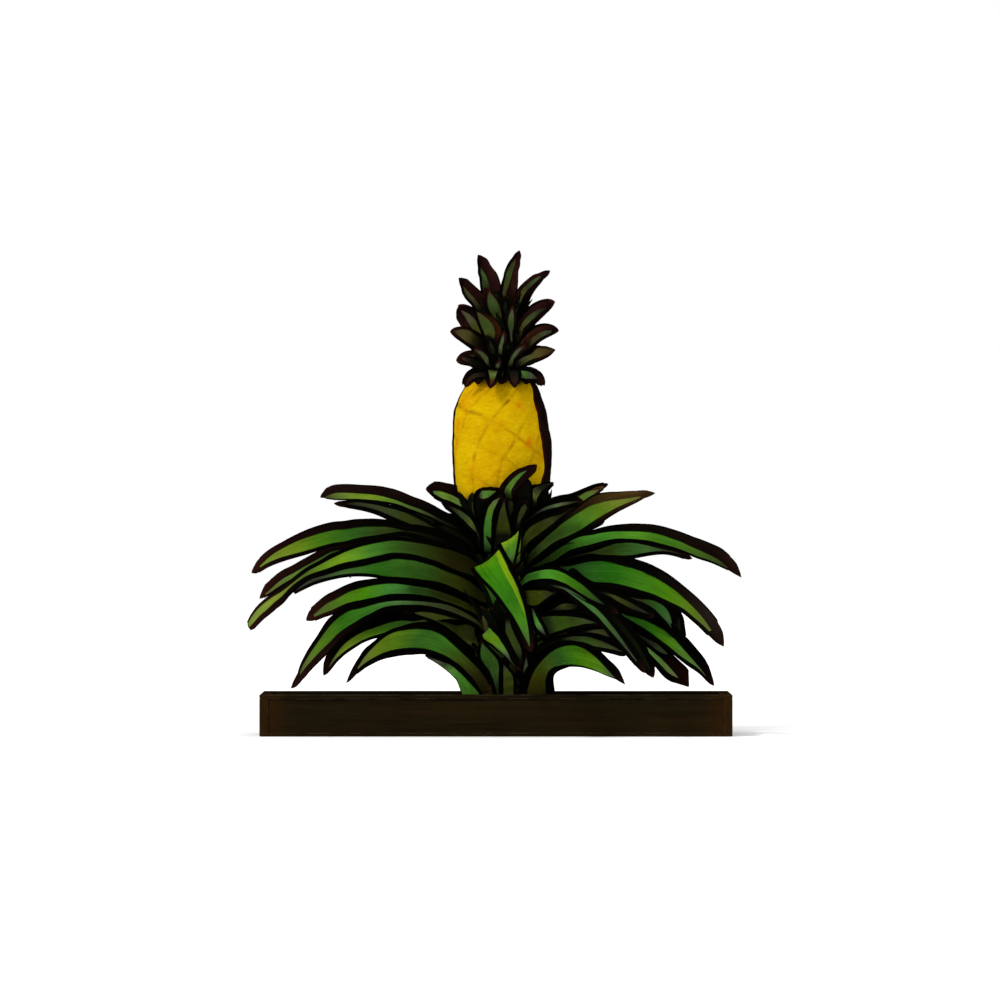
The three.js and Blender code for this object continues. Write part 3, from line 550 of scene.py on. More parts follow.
def blade_mesh(name, P, U, Nn, S, h, k, tc, te, look, upper_is_minus=True,
               cols=19, wave=0.8, mat=None, seed=0.3, curl=1.7):
    """A closed blade through stations P with half widths h, channel angle k (radians), thickness tc at
    the rib and te at the margins."""
    v = np.linspace(-1, 1, cols)
    v = 0.75 * v + 0.25 * np.sin(v * math.pi / 2)
    V = v[None, :]
    av = np.abs(V)
    x = (h * np.cos(k))[:, None] * V
    yk = (h * np.sin(k))[:, None]
    y = yk * av ** curl - 0.5 * yk
    rs = np.random.RandomState(int(seed * 1000) % 100000)
    ph = rs.uniform(0, 6.28, 4)
    y = y + wave * (h[:, None] / 25.0) * av ** 3 * (np.sin(S[:, None] * 23 + ph[0] + (V > 0) * ph[1]) * 0.6
                                                    + np.sin(S[:, None] * 47 + ph[2] + (V > 0) * ph[3]) * 0.4)
    # shallow flutes along the blade
    y = y + 0.16 * np.cos(V * 17 + ph[0]) * smooth(0, 0.1, S)[:, None] * smooth(1.0, 0.9, S)[:, None] * (1 - av ** 6)
    th = 0.5 * (te[:, None] + (tc - te)[:, None] * (1 - av ** 1.4))
    top = P[:, None, :] + U[:, None, :] * x[:, :, None] + Nn[:, None, :] * (y + th)[:, :, None]
    bot = P[:, None, :] + U[:, None, :] * x[:, :, None] + Nn[:, None, :] * (y - th)[:, :, None]
    n, m = x.shape
    verts = np.concatenate([top.reshape(-1, 3), bot.reshape(-1, 3)]) * MM
    ii, jj = np.meshgrid(np.arange(n - 1), np.arange(m - 1), indexing="ij")
    a = (ii * m + jj).ravel()
    topf = np.stack([a, a + 1, a + 1 + m, a + m], 1)
    o = n * m
    botf = np.stack([a + o, a + m + o, a + 1 + m + o, a + 1 + o], 1)
    r = np.arange(n - 1)
    lft = np.stack([r * m, r * m + m, r * m + m + o, r * m + o], 1)
    rgt = np.stack([r * m + m - 1, r * m + m - 1 + o, (r + 1) * m + m - 1 + o, (r + 1) * m + m - 1], 1)
    c = np.arange(m - 1)
    foot = np.stack([c, c + o, c + 1 + o, c + 1], 1)
    e = (n - 1) * m
    tip = np.stack([e + c, e + c + 1, e + c + 1 + o, e + c + o], 1)
    faces = np.concatenate([topf, botf, lft, rgt, foot, tip])[:, ::-1]
    w = V * (1 if upper_is_minus else -1) * np.ones((n, 1))
    uv = np.stack([S[:, None] * np.ones((1, m)), (w + 1) / 2], -1).reshape(-1, 2)
    A, B = look["a"], look["b"]
    a0, a1, ca = A(S)
    b0, b1_, cb = B(S)
    ed = look["edge"](S)
    if isinstance(ed, tuple):
        side = ((w + 1) / 2)[:, :, None]
        ed = ed[0][:, None, :] * (1 - side) + ed[1][:, None, :] * side
        ed = ed.reshape(n * m, 3)
        ed = np.concatenate([ed, ed])
    else:
        ed = None

    def per_vertex(q):
        q = np.repeat(np.asarray(q, float)[:, None], m, axis=1)
        q = q.reshape((n * m,) + q.shape[2:])
        return np.concatenate([q, q])

    attrs = {
        "tint": per_vertex(ca), "tint2": per_vertex(cb),
        "edge": np.concatenate([per_vertex(look["edge"](S)) if ed is None else ed, np.full((2 * n * m, 1), seed)], 1),
        "ctrl": per_vertex(np.stack([a0, a1, b0, b1_], 1)),
        "under": np.concatenate([np.zeros(n * m), np.ones(n * m)]),
    }
    return make_mesh(name, verts, faces, np.concatenate([uv, uv]), attrs, mats=[mat or LEAF])


def stations(n, tip=1.6):
    q = np.linspace(0, 1, n)
    return 1 - (1 - q) ** tip * (1 - 0.0 * q) if tip == 1 else 1 - (1 - q) ** tip


# palette, in display values
def leafy(r, g, b):
    """A leaf colour given in display values, as linear light, scaled by 1.0."""
    return 1.0 * np.array(lin(r, g, b))


OLIVE = leafy(72, 68, 20)
OLIVE_DK = leafy(44, 40, 16)
OLIVE_GN = leafy(66, 84, 26)
GREEN = leafy(52, 116, 24)
GREEN_DK = leafy(40, 84, 30)
GREEN_LT = leafy(58, 132, 30)
YEL = leafy(88, 136, 22)
YEL_LT = leafy(124, 164, 20)
GREY_GN = leafy(60, 70, 40)
BLACK = lin(4, 4, 3)
MAROON = lin(46, 19, 12)
MAROON_DK = lin(26, 12, 8)
NEAR_BLACK = lin(8, 7, 4)


def along(v, S):
    """v as a number, or (position, value) pairs along the blade."""
    if hasattr(v, "__len__"):
        return np.interp(S, [p for p, _ in v], [q for _, q in v])
    return np.full(len(S), float(v))


def grad(S, stops):
    pos = [p for p, _ in stops]
    cols = np.array([c for _, c in stops])
    return np.stack([np.interp(S, pos, cols[:, i]) for i in range(3)], -1)


def strip(s0, s1, c, hw, stops, t0=0.15, t1=0.16):
    """A coloured strip from s0 to s1 of the blade, centred at c of its width, half width hw,
    running out to a point at both ends."""
    def f(S):
        t = np.clip((S - s0) / t0, 0, 1) ** 0.65 * np.clip((s1 - S) / t1, 0, 1) ** 0.65
        h = (along(hw, S) + 0.05) * t - 0.05
        m = along(c, S)
        return m - h, m + h, grad(S, stops)
    return f


def no_strip(S):
    return np.full(len(S), 2.0), np.full(len(S), -2.0), np.zeros((len(S), 3))


GREENS = [(0.0, OLIVE_DK), (0.18, OLIVE), (0.36, OLIVE_GN), (0.55, GREEN), (0.75, GREEN_LT), (0.92, YEL)]
LATE = [(0.0, OLIVE_DK), (0.45, OLIVE), (0.6, GREEN), (0.78, GREEN_LT), (0.93, YEL)]
OLIVES = [(0.0, OLIVE_DK), (0.4, OLIVE), (0.7, OLIVE_GN), (1.0, GREEN_DK)]
BRIGHT = [(0.0, OLIVE), (0.3, GREEN), (0.5, YEL_LT), (0.68, GREEN_LT), (1.0, GREEN)]
DARK_EDGE = [(0.0, BLACK), (0.7, BLACK), (0.92, MAROON_DK), (1.0, MAROON)]
WARM_EDGE = [(0.0, BLACK), (0.4, BLACK), (0.6, MAROON_DK), (0.85, lin(38, 17, 10)), (1.0, MAROON)]
BLACK_EDGE = [(0.0, BLACK), (0.9, BLACK), (1.0, MAROON_DK)]


def look(a=None, b=None, edge=DARK_EDGE):
    return dict(a=a or no_strip, b=b or no_strip, edge=lambda S: grad(S, edge))


def std(stops=GREENS, edge=DARK_EDGE, c=0.5, hw=0.28, s0=0.02, s1=0.96):
    return look(strip(s0, s1, c, hw, stops), None, edge)


LOOK = {
    "leaf_left_1": look(strip(0.12, 0.975, [(0, 0.5), (0.4, 0.46), (0.8, 0.42), (0.95, 0.48)], [(0.1, 0.04), (0.35, 0.07), (0.7, 0.11), (0.9, 0.18)],
                              [(0.1, OLIVE), (0.4, GREEN), (0.65, GREEN_LT), (0.9, YEL_LT)]),
                        strip(0.18, 0.86, 0.78, [(0.2, 0.07), (0.5, 0.14), (0.8, 0.10)], OLIVES), WARM_EDGE),
    "leaf_left_2": look(strip(0.26, 0.965, [(0.3, 0.46), (0.8, 0.52)], [(0.3, 0.10), (0.55, 0.19), (0.85, 0.22)],
                              [(0.25, OLIVE), (0.45, OLIVE_GN), (0.6, GREEN), (0.75, GREEN_LT), (0.92, YEL)]), None, WARM_EDGE),
    "leaf_left_3": look(strip(0.5, 0.965, 0.5, 0.22, LATE), None, WARM_EDGE),
    "leaf_left_4": look(strip(0.05, 0.97, [(0, 0.5), (0.5, 0.46), (0.8, 0.5)], [(0.1, 0.26), (0.5, 0.30), (0.72, 0.16), (0.8, 0.12), (0.9, 0.24)],
                              [(0.0, OLIVE_DK), (0.15, OLIVE), (0.32, OLIVE), (0.48, GREEN), (0.6, GREEN_LT), (0.75, YEL), (0.95, YEL)]), None, DARK_EDGE),
    "leaf_left_5": look(strip(0.04, 0.96, 0.48, [(0.1, 0.27), (0.5, 0.31), (0.9, 0.2)], [(0.0, OLIVE_DK), (0.2, OLIVE), (0.42, OLIVE_GN), (0.6, GREEN), (0.9, GREEN_LT)]), None, BLACK_EDGE),
    "leaf_left_6": look(strip(0.05, 0.93, 0.52, [(0.1, 0.16), (0.5, 0.24), (0.85, 0.26)], GREENS), None, WARM_EDGE),
    "leaf_left_7": look(strip(0.12, 0.965, [(0.2, 0.42), (0.7, 0.5)], [(0.1, 0.10), (0.35, 0.16), (0.6, 0.30), (0.85, 0.28)],
                              [(0.1, OLIVE), (0.3, OLIVE_GN), (0.45, GREEN), (0.7, GREEN_LT), (0.95, YEL)]), None, DARK_EDGE),
    "leaf_left_8": look(strip(0.5, 0.97, 0.52, 0.27, [(0.5, OLIVE_GN), (0.65, GREEN), (0.9, YEL)]),
                        strip(0.02, 0.44, 0.5, 0.28, [(0.0, OLIVE), (0.4, OLIVE_GN)]), BLACK_EDGE),
    "leaf_left_9": look(strip(-0.1, 0.93, 0.5, [(0.0, 0.3), (0.4, 0.32), (0.9, 0.28)],
                              [(0.0, OLIVE), (0.2, OLIVE_GN), (0.4, GREEN), (0.6, GREEN_LT), (0.8, YEL), (0.95, YEL_LT)]), None, BLACK_EDGE),
    "leaf_left_10": look(strip(-0.2, 0.95, 0.55, 0.33, [(0.0, GREEN_LT), (0.5, GREEN_LT), (1.0, GREEN_DK)]), None, BLACK_EDGE),
    "leaf_left_upper": look(strip(0.2, 0.93, [(0.2, 0.46), (0.9, 0.40)], [(0.2, 0.1), (0.7, 0.15)], [(0.2, GREEN_DK), (0.6, GREEN), (0.95, GREEN_LT)]),
                            strip(0.1, 0.72, 0.80, 0.10, OLIVES), WARM_EDGE),
    "leaf_right_1": look(strip(0.5, 0.9, 0.5, 0.22, [(0.4, OLIVE), (0.75, GREEN), (0.9, OLIVE_GN)]), None,
                         [(0.0, BLACK), (0.35, NEAR_BLACK), (0.55, lin(50, 28, 12)), (1.0, lin(66, 36, 18))]),
    "leaf_right_2": look(strip(0.0, 0.955, [(0, 0.5), (0.5, 0.52), (0.9, 0.56)], [(0, 0.22), (0.4, 0.32), (0.8, 0.26)],
                               [(0.0, OLIVE), (0.2, OLIVE_GN), (0.38, GREEN), (0.6, GREEN_LT), (0.85, YEL), (1.0, OLIVE)]), None,
                         [(0.0, BLACK), (0.45, NEAR_BLACK), (0.62, lin(46, 26, 12)), (1.0, lin(66, 36, 18))]),
    "leaf_right_3": look(strip(0.03, 0.95, [(0, 0.5), (0.4, 0.44), (0.9, 0.56)], [(0.1, 0.2), (0.5, 0.19), (0.9, 0.2)],
                               [(0.0, OLIVE), (0.2, OLIVE_GN), (0.36, GREEN), (0.6, GREEN_LT), (0.9, YEL)]),
                         strip(0.32, 0.74, 0.82, 0.11, [(0.3, OLIVE), (0.5, OLIVE_GN), (0.7, GREEN)]), WARM_EDGE),
    "leaf_right_4": look(strip(0.1, 0.93, [(0.1, 0.52), (0.5, 0.58), (0.9, 0.55)], [(0.15, 0.16), (0.45, 0.28), (0.8, 0.22)],
                               [(0.1, GREEN_DK), (0.3, GREEN), (0.5, GREEN_LT), (0.7, YEL), (0.95, YEL)]), None, WARM_EDGE),
    "leaf_right_5": look(strip(0.5, 0.96, 0.5, 0.25, [(0.5, GREEN_DK), (0.7, GREEN_LT), (0.95, YEL)]),
                         strip(0.1, 0.42, 0.5, 0.15, OLIVES), DARK_EDGE),
    "leaf_right_6": look(strip(0.58, 0.96, 0.46, 0.20, [(0.5, GREEN_DK), (0.75, GREEN), (0.95, YEL)]),
                         strip(0.05, 0.5, 0.5, 0.2, OLIVES), DARK_EDGE),
    "leaf_right_7": look(strip(-0.02, 0.60, [(0.0, 0.36), (0.3, 0.30), (0.6, 0.34)], [(0.0, 0.12), (0.3, 0.16), (0.6, 0.08)],
                               [(0.0, GREEN), (0.2, GREEN_LT), (0.6, GREEN_LT)]),
                         strip(0.22, 0.965, [(0.2, 0.66), (0.6, 0.58), (0.95, 0.5)], [(0.25, 0.08), (0.6, 0.13), (0.9, 0.15)],
                               [(0.2, GREEN_DK), (0.5, GREEN_LT), (0.95, YEL)]), BLACK_EDGE),
    "leaf_right_8": look(strip(-0.2, 0.93, 0.5, [(0.0, 0.36), (0.5, 0.34), (0.9, 0.3)],
                               [(0.0, OLIVE), (0.28, OLIVE), (0.42, GREEN), (0.7, GREEN_LT), (0.9, YEL)]), None, BLACK_EDGE),
    "leaf_right_9": look(strip(0.3, 0.92, 0.5, 0.2, OLIVES), None, BLACK_EDGE),
    "leaf_front_1": look(strip(0.30, 0.975, 0.5, [(0.3, 0.36), (0.6, 0.42), (0.9, 0.38)],
                               [(0.3, YEL_LT), (0.48, lin(92, 146, 24)), (0.62, GREEN_LT), (0.85, GREEN), (1.0, GREEN)], t0=0.1), None, BLACK_EDGE),
    "leaf_front_2": look(strip(0.28, 0.96, 0.5, 0.36, [(0.3, YEL_LT), (0.55, YEL), (0.85, GREEN)], t0=0.1), None, BLACK_EDGE),
    "leaf_front_3": look(strip(0.3, 0.95, 0.5, 0.33, [(0.3, GREEN_LT), (0.9, GREEN)], t0=0.1), None, BLACK_EDGE),
    "leaf_front_4": look(strip(0.1, 0.95, 0.5, 0.34, [(0.1, GREEN_DK), (0.6, GREEN), (0.95, GREEN_DK)]), None, BLACK_EDGE),
    "leaf_young_1": look(strip(0.3, 0.96, 0.5, 0.36, [(0.3, YEL), (0.5, YEL_LT), (0.95, YEL)], t0=0.1), None, BLACK_EDGE),
    "leaf_young_2": look(strip(0.42, 0.9, 0.5, 0.24, [(0.4, GREEN), (0.65, lin(72, 122, 52)), (0.9, GREEN)]), None, BLACK_EDGE),
    "leaf_young_3": look(strip(0.02, 0.92, 0.45, 0.3, [(0.0, GREEN_LT), (0.5, GREEN_LT), (0.9, GREEN)]), None, BLACK_EDGE),
    "leaf_young_4": look(strip(0.3, 0.85, 0.5, 0.22, OLIVES), None, BLACK_EDGE),
}
_rs = np.random.RandomState(7)


def placed_leaf(leaf, axis_x, lk, mat=LEAF, n_st=60, tc=3.4, cols=19, wave=0.8):
    s = stations(n_st, 1.5)
    P, T, U, Nn = rib_points(leaf, axis_x, s)
    h = np.maximum(0.25, leaf["w"] / 2 * blade_width(s))
    k = np.radians(27 - 15 * s)
    scale = min(1, leaf["w"] / 44)
    thick = tc * scale * (1 - 0.55 * s) * smooth(1.02, 0.9, s) + 0.25
    te = np.full(len(s), 0.9 * scale) * (0.35 + 0.65 * smooth(1.0, 0.85, s))
    left = math.cos(math.radians(leaf["az"])) < 0
    return blade_mesh("blade_" + leaf["name"], P, U, Nn, s, h, k, thick, te, lk, upper_is_minus=left,
                      cols=cols, wave=wave, mat=mat, seed=_rs.uniform(0.05, 0.95))


def add_leaf(leaf, axis_x, lk, slot="leaves", **kw):
    o = placed_leaf(leaf, axis_x, lk, **kw)
    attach(o, "root")
    nodes = [leaf["name"] + "_base", leaf["name"] + "_tip"] if leaf.get("split") else [leaf["name"]]
    if all(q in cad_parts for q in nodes):
        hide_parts(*nodes)
    return o


def run(*colours):
    """Colours at even steps from the foot of a strip to its point."""
    return [(q / (len(colours) - 1), leafy(*c)) for q, c in enumerate(colours)]


MAR_EDGE = [(0.0, BLACK), (0.4, lin(16, 8, 6)), (1.0, lin(22, 9, 7))]
CROWN_EDGE = [(0.0, BLACK), (0.5, lin(9, 6, 5)), (0.82, lin(26, 12, 10)), (1.0, lin(46, 18, 14))]
SK_EDGE = [(0.0, BLACK), (0.7, BLACK), (1.0, lin(34, 14, 12))]
# upper margin, lower margin
E_L1 = ([(0.0, BLACK), (0.30, BLACK), (0.46, lin(20, 11, 8)), (0.85, lin(28, 15, 12)), (1.0, lin(26, 14, 10))], BLACK_EDGE)
E_WARM = ([(0.0, BLACK), (0.45, BLACK), (0.66, lin(16, 8, 6)), (0.85, lin(28, 12, 8)), (1.0, lin(44, 20, 12))], BLACK_EDGE)
E_TIPWARM = ([(0.0, BLACK), (0.72, BLACK), (0.86, lin(30, 14, 10)), (1.0, lin(44, 18, 13))],
             [(0.0, BLACK), (0.8, BLACK), (1.0, lin(30, 14, 10))])
E_TIPWARM2 = ([(0.0, BLACK), (0.8, BLACK), (1.0, lin(32, 15, 11))], [(0.0, BLACK), (0.55, BLACK), (0.75, lin(24, 12, 8)), (1.0, lin(34, 16, 11))])
E_MAR = ([(0.0, BLACK), (0.3, BLACK), (0.6, lin(22, 11, 8)), (1.0, lin(28, 13, 9))], BLACK_EDGE)
MAR_BODY = [(0.0, BLACK), (0.10, lin(32, 16, 13)), (0.55, lin(44, 20, 18)), (0.86, lin(38, 16, 15)), (1.0, lin(12, 5, 5))]
E_CR = (BLACK_EDGE, MAR_BODY)
E_CU = (MAR_BODY, BLACK_EDGE)
E_CU3 = ([(0.0, BLACK), (0.3, lin(16, 9, 8)), (0.8, lin(44, 18, 17)), (1.0, lin(14, 6, 6))], BLACK_EDGE)
E_CU8 = ([(0.0, lin(46, 29, 14)), (0.4, lin(58, 30, 19)), (0.75, lin(42, 18, 15)), (1.0, lin(10, 5, 4))], BLACK_EDGE)
E_CBR = (BLACK_EDGE, [(0.0, lin(58, 42, 14)), (0.45, lin(60, 32, 10)), (0.8, lin(38, 18, 8)), (1.0, BLACK)])
E_BRN = [(0.0, lin(50, 32, 16)), (1.0, lin(58, 38, 20))]
E_R2 = ([(0.0, BLACK), (0.40, BLACK), (0.56, lin(30, 22, 9)), (0.78, lin(62, 46, 19)), (0.9, lin(66, 50, 22)), (1.0, lin(44, 28, 14))],
        [(0.0, BLACK), (0.6, BLACK), (0.9, lin(32, 18, 9)), (1.0, lin(30, 17, 9))])
E_R3 = ([(0.0, BLACK), (0.40, BLACK), (0.6, lin(16, 11, 7)), (0.86, lin(24, 14, 10)), (0.95, lin(36, 20, 15)), (1.0, lin(22, 11, 8))], BLACK_EDGE)
E_R4 = ([(0.0, BLACK), (0.55, BLACK), (0.72, lin(18, 12, 8)), (0.86, lin(36, 28, 22)), (1.0, lin(22, 13, 9))], BLACK_EDGE)
E_R6 = ([(0.0, BLACK), (0.6, BLACK), (0.8, lin(26, 12, 8)), (1.0, lin(38, 17, 12))], BLACK_EDGE)


PANELS = [
    dict(name="leaf_left_1", shade_lift=(0.6, 0.84), mu=[10.5, 15, 15, 15.75, 16.5, 15, 14.25, 13.5], ml=[4.5, 4.5, 4.5, 3.75, 3, 3], ext=9, edge=E_L1,
        stops=run((12, 14, 8), (12, 16, 8), (40, 48, 26), (82, 104, 52), (88, 122, 44), (112, 140, 34), (106, 132, 46), (62, 68, 38)), rows=[
        (-27, 10.1, 289.2, -27, 7.9, 285.5),
        (-39, 13, 299, -39, 10.9, 295.5),
        (-61.5, 18.7, 311.7, -61.5, 16.5, 308),
        (-84, 24.3, 322.2, -84, 22.1, 318.5),
        (-99, 28.3, 330.5, -99, 25.6, 326),
        (-114, 32.2, 337.2, -114, 29.1, 332),
        (-129, 36, 342.5, -129, 32.8, 337.2),
        (-144, 39.7, 348.5, -144, 36.6, 343.2),
        (-159, 43.9, 353.7, -159, 39.9, 347),
        (-174, 48.1, 357.5, -174, 43.2, 349.2),
        (-189, 52.1, 359.7, -189, 46.7, 350.7),
        (-204, 55.8, 360.8, -204, 50.4, 351.8),
        (-219, 59.8, 362, -219, 53.9, 352.2),
        (-234, 63.6, 362.3, -234, 57.6, 352.2),
        (-246, 66.1, 361.2, -246, 61.1, 352.8),
        (-256.5, 66.9, 357, -256.5, 65.5, 354.6)]),
    dict(name="leaf_side_6", shade_lift=(1.18, 0.92), mu=[4.5, 5.25, 6, 5.25], ml=[6, 6, 6.75, 9, 10.5, 9.75, 7.5], ext=21, edge=BLACK_EDGE,
        stops=run((9, 10, 7), (10, 11, 6), (24, 27, 11), (36, 42, 20), (46, 57, 17), (50, 61, 34), (49, 56, 34), (30, 28, 22)), rows=[
        (-33, -0.5, 269.7, -33, -3.2, 265.2),
        (-46.5, 1.9, 278.7, -46.5, -0.3, 275),
        (-61.5, 5.1, 289.2, -61.5, 2.4, 284.7),
        (-76.5, 8.6, 299.7, -76.5, 4.6, 293),
        (-91.5, 12, 308.7, -91.5, 7.1, 300.5),
        (-106.5, 15.8, 317.7, -106.5, 9.1, 306.5),
        (-121.5, 19.4, 325.2, -121.5, 11.3, 311.7),
        (-136.5, 22.3, 332, -136.5, 14.2, 318.5),
        (-151.5, 24.8, 336.5, -151.5, 17.6, 324.5),
        (-166.5, 26.8, 340.2, -166.5, 21.4, 331.2),
        (-181.5, 29.1, 344, -181.5, 25, 337.2),
        (-196.5, 31.5, 346.2, -196.5, 28.4, 341),
        (-211.5, 34.2, 347.7, -211.5, 31.5, 343.2),
        (-223.5, 35.7, 346.5, -223.5, 34.7, 344.7)]),
    dict(name="leaf_left_2", shade_lift=(0.6, 0.71), mu=[12, 12, 12, 12, 12, 13.5, 12.75, 12, 9.75, 11.25], ml=[9, 9, 9, 9.75, 9, 7.5, 8.25, 9, 9], ext=15.75, edge=E_WARM,
        stops=run((12, 13, 9), (8, 10, 8), (24, 28, 10), (56, 72, 28), (48, 95, 30), (70, 120, 22), (116, 140, 34), (104, 128, 50)), rows=[
        (-27, -2.4, 266.7, -27, -7.8, 257.7),
        (-46.5, -5.1, 277.2, -46.5, -10.5, 268.2),
        (-69, -8.7, 289.2, -69, -13.2, 281.7),
        (-90, -12.1, 296.7, -90, -15.7, 290.7),
        (-114, -15.9, 302.7, -114, -18.6, 298.2),
        (-141, -20.6, 305.7, -141, -21.5, 304.2),
        (-151.5, -20.8, 308.7, -151.5, -24.4, 302.7),
        (-166.5, -21.5, 311, -166.5, -27.8, 300.5),
        (-181.5, -22.7, 311.7, -181.5, -30.8, 298.2),
        (-196.5, -24.4, 311, -196.5, -33.4, 296),
        (-211.5, -25.9, 309.8, -211.5, -36, 293),
        (-226.5, -27.6, 307.5, -226.5, -38.6, 289.2),
        (-241.5, -29.4, 306.5, -241.5, -41.1, 287),
        (-256.5, -31.2, 303.5, -256.5, -43.4, 283.2),
        (-271.5, -33.3, 299, -271.5, -45.5, 278.7),
        (-286.5, -35.7, 293.7, -286.5, -47.4, 274.2),
        (-301.5, -38.5, 287.7, -301.5, -48.8, 270.5),
        (-316.5, -41.7, 280.2, -316.5, -49.8, 266.7),
        (-331.5, -44.9, 271.2, -331.5, -50.8, 261.5),
        (-342, -47.4, 263.3, -342, -51.2, 257),
        (-352.5, -50.1, 253.2, -352.5, -51.5, 251)]),
    dict(name="leaf_left_3", shade_lift=(0.6, 0.69), mu=[9, 9, 9, 10.5, 12, 12.75, 13.5, 12.75, 13.5, 14.25], ml=[6, 6, 4.5, 4.5, 6], ext=12, edge=E_WARM,
        stops=run((10, 11, 6), (10, 11, 6), (10, 11, 6), (12, 13, 8), (30, 36, 20), (64, 92, 38), (90, 124, 50), (92, 90, 50)), rows=[
        (-39, 26.9, 265.2, -39, 24.2, 260.7),
        (-76.5, 46.4, 277.2, -76.5, 44.6, 274.2),
        (-114, 66.3, 283.2, -114, 64.5, 280.2),
        (-151.5, 86.2, 284.7, -151.5, 84.4, 281.7),
        (-189, 106.2, 281.7, -189, 104.4, 278.7),
        (-219, 121.9, 277.2, -219, 120.6, 275),
        (-234, 129.9, 275.7, -234, 128.5, 273.5),
        (-249, 138, 272.7, -249, 136.4, 270),
        (-264, 146.4, 265.2, -264, 143.9, 261),
        (-279, 154.7, 257, -279, 151.6, 251.7),
        (-294, 163.1, 248.7, -294, 159.1, 242),
        (-309, 171.3, 239.7, -309, 166.8, 232.2),
        (-324, 179.8, 232.2, -324, 174.4, 223.2),
        (-336, 185.7, 223.2, -336, 181.2, 215.7),
        (-345, 189.8, 215, -345, 186.7, 209.7),
        (-351.8, 192.6, 209, -351.8, 191, 206.3)]),
    dict(name="leaf_left_4", shade_lift=(0.81, 1.09), mu=[5.25, 6, 6, 6, 6, 6, 5.25, 3], ml=[6, 6.75, 6.75, 6.75, 7.5, 9.75, 12, 9], ext=1.5, edge=E_TIPWARM,
        stops=run((34, 32, 10), (42, 42, 12), (49, 72, 24), (60, 112, 36), (104, 142, 28), (60, 80, 30), (108, 126, 42), (100, 118, 50)), rows=[
        (-27, -13.7, 253.2, -28.5, -25.4, 233.7),
        (-39, -18.7, 263.7, -40.5, -33.1, 239.7),
        (-51, -24.4, 269.7, -52.5, -40.2, 243.5),
        (-69, -33.6, 276.5, -69, -49.3, 250.2),
        (-84, -42.9, 279.5, -84, -56, 257.7),
        (-99, -51.3, 283.2, -99, -63.5, 263),
        (-114, -59.8, 286.2, -114, -71, 267.5),
        (-129, -68, 288.5, -129, -78.8, 270.5),
        (-144, -76, 290, -144, -86.8, 272),
        (-159, -83.8, 290, -159, -94.8, 271.7),
        (-174, -91.5, 287.7, -174, -103.2, 268.2),
        (-189, -99.4, 284.7, -189, -111.1, 265.2),
        (-204, -107.6, 281, -204, -118.9, 262.2),
        (-219, -116.3, 275.7, -219, -126.2, 259.2),
        (-234, -125.2, 269, -234, -133.3, 255.5),
        (-249, -133.8, 261.5, -249, -140.6, 250.2),
        (-264, -142.7, 253.5, -264, -147.6, 245.4),
        (-279, -151.4, 245.4, -279, -154.8, 239.7),
        (-292.5, -159.2, 235.2, -292.5, -161.4, 231.6),
        (-306, -166.5, 224.3, -306, -168.5, 220.8),
        (-318, -171.6, 215, -316.5, -175.3, 209),
        (-330, -177.1, 207.5, -327, -181.8, 200.3),
        (-340.5, -181.9, 200, -336.8, -187.8, 191),
        (-351, -187.4, 191, -346.5, -193, 182.7),
        (-360, -192.6, 179.7, -355.5, -197.4, 173),
        (-366.8, -197.4, 168.5, -363.8, -200.6, 164)]),
    dict(name="leaf_left_5", shade_lift=(2, 1.12), mu=[6, 6, 5.25, 5.25, 5.25], ml=[7.5, 8.25, 7.5, 6, 6.3], ext=6, edge=BLACK_EDGE,
        stops=run((32, 34, 10), (51, 58, 13), (40, 67, 19), (44, 82, 24), (40, 90, 20), (60, 97, 42), (54, 58, 44), (46, 48, 40)), rows=[
        (-24, -5.1, 215.7, -24, -15, 199.2),
        (-34.5, -8.6, 224.7, -34.5, -20.3, 205.2),
        (-46.5, -13.3, 232.2, -46.5, -25.9, 211.2),
        (-61.5, -19.9, 239, -61.5, -32, 218.7),
        (-76.5, -26.7, 244.2, -76.5, -37.9, 225.5),
        (-91.5, -32.1, 251, -91.5, -45.2, 229.2),
        (-106.5, -37.8, 255.5, -106.5, -52.2, 231.5),
        (-121.5, -43.7, 259.2, -121.5, -59, 233.7),
        (-136.5, -49.9, 261.5, -136.5, -65.6, 235.2),
        (-151.5, -56.3, 262.2, -151.5, -72, 236),
        (-166.5, -63.8, 259.2, -166.5, -77.2, 237),
        (-181.5, -72.1, 256.2, -181.5, -81.6, 240.5),
        (-196.5, -80.1, 252.5, -196.5, -86.4, 242),
        (-211.5, -87.1, 250.2, -211.5, -92.1, 242),
        (-226.5, -93.9, 247.2, -226.5, -98, 240.5),
        (-241.5, -100.9, 242.7, -241.5, -103.8, 237.9),
        (-256.5, -107.5, 238.2, -256.5, -109.9, 234.2),
        (-271.5, -113.7, 234.2, -271.5, -116.5, 229.5),
        (-286.5, -119.9, 227.7, -286.5, -122.9, 222.8),
        (-298.5, -125.2, 221.3, -298.5, -127.9, 216.8)]),
    dict(name="leaf_left_6", shade_lift=(3.2, 0.77), mu=[7.5, 6.75, 6.75, 6.75, 7.5, 9.75, 12.75, 12.75, 12], ml=[6, 6.75, 7.5, 8.25, 10.5, 9.75, 9], ext=15, edge=E_TIPWARM,
        stops=run((30, 32, 8), (41, 48, 8), (40, 46, 16), (44, 75, 28), (50, 101, 40), (73, 131, 14), (78, 114, 30), (80, 92, 46)), rows=[
        (-15, 10.1, 167.7, -15, 7.4, 163.2),
        (-25.5, 14.4, 181.2, -25.5, 10.8, 175.2),
        (-37.5, 19.8, 192.5, -38.2, 14.4, 183.5),
        (-49.5, 25, 199.2, -51, 18.2, 188),
        (-63, 30.1, 205.2, -65.2, 23.1, 193.8),
        (-76.5, 34.9, 210.5, -79.5, 28.4, 200),
        (-91.5, 40.3, 215, -94.5, 34, 204.9),
        (-106.5, 46.1, 218.7, -109.5, 39.1, 207.5),
        (-121.5, 51.8, 221, -124.5, 44.3, 209),
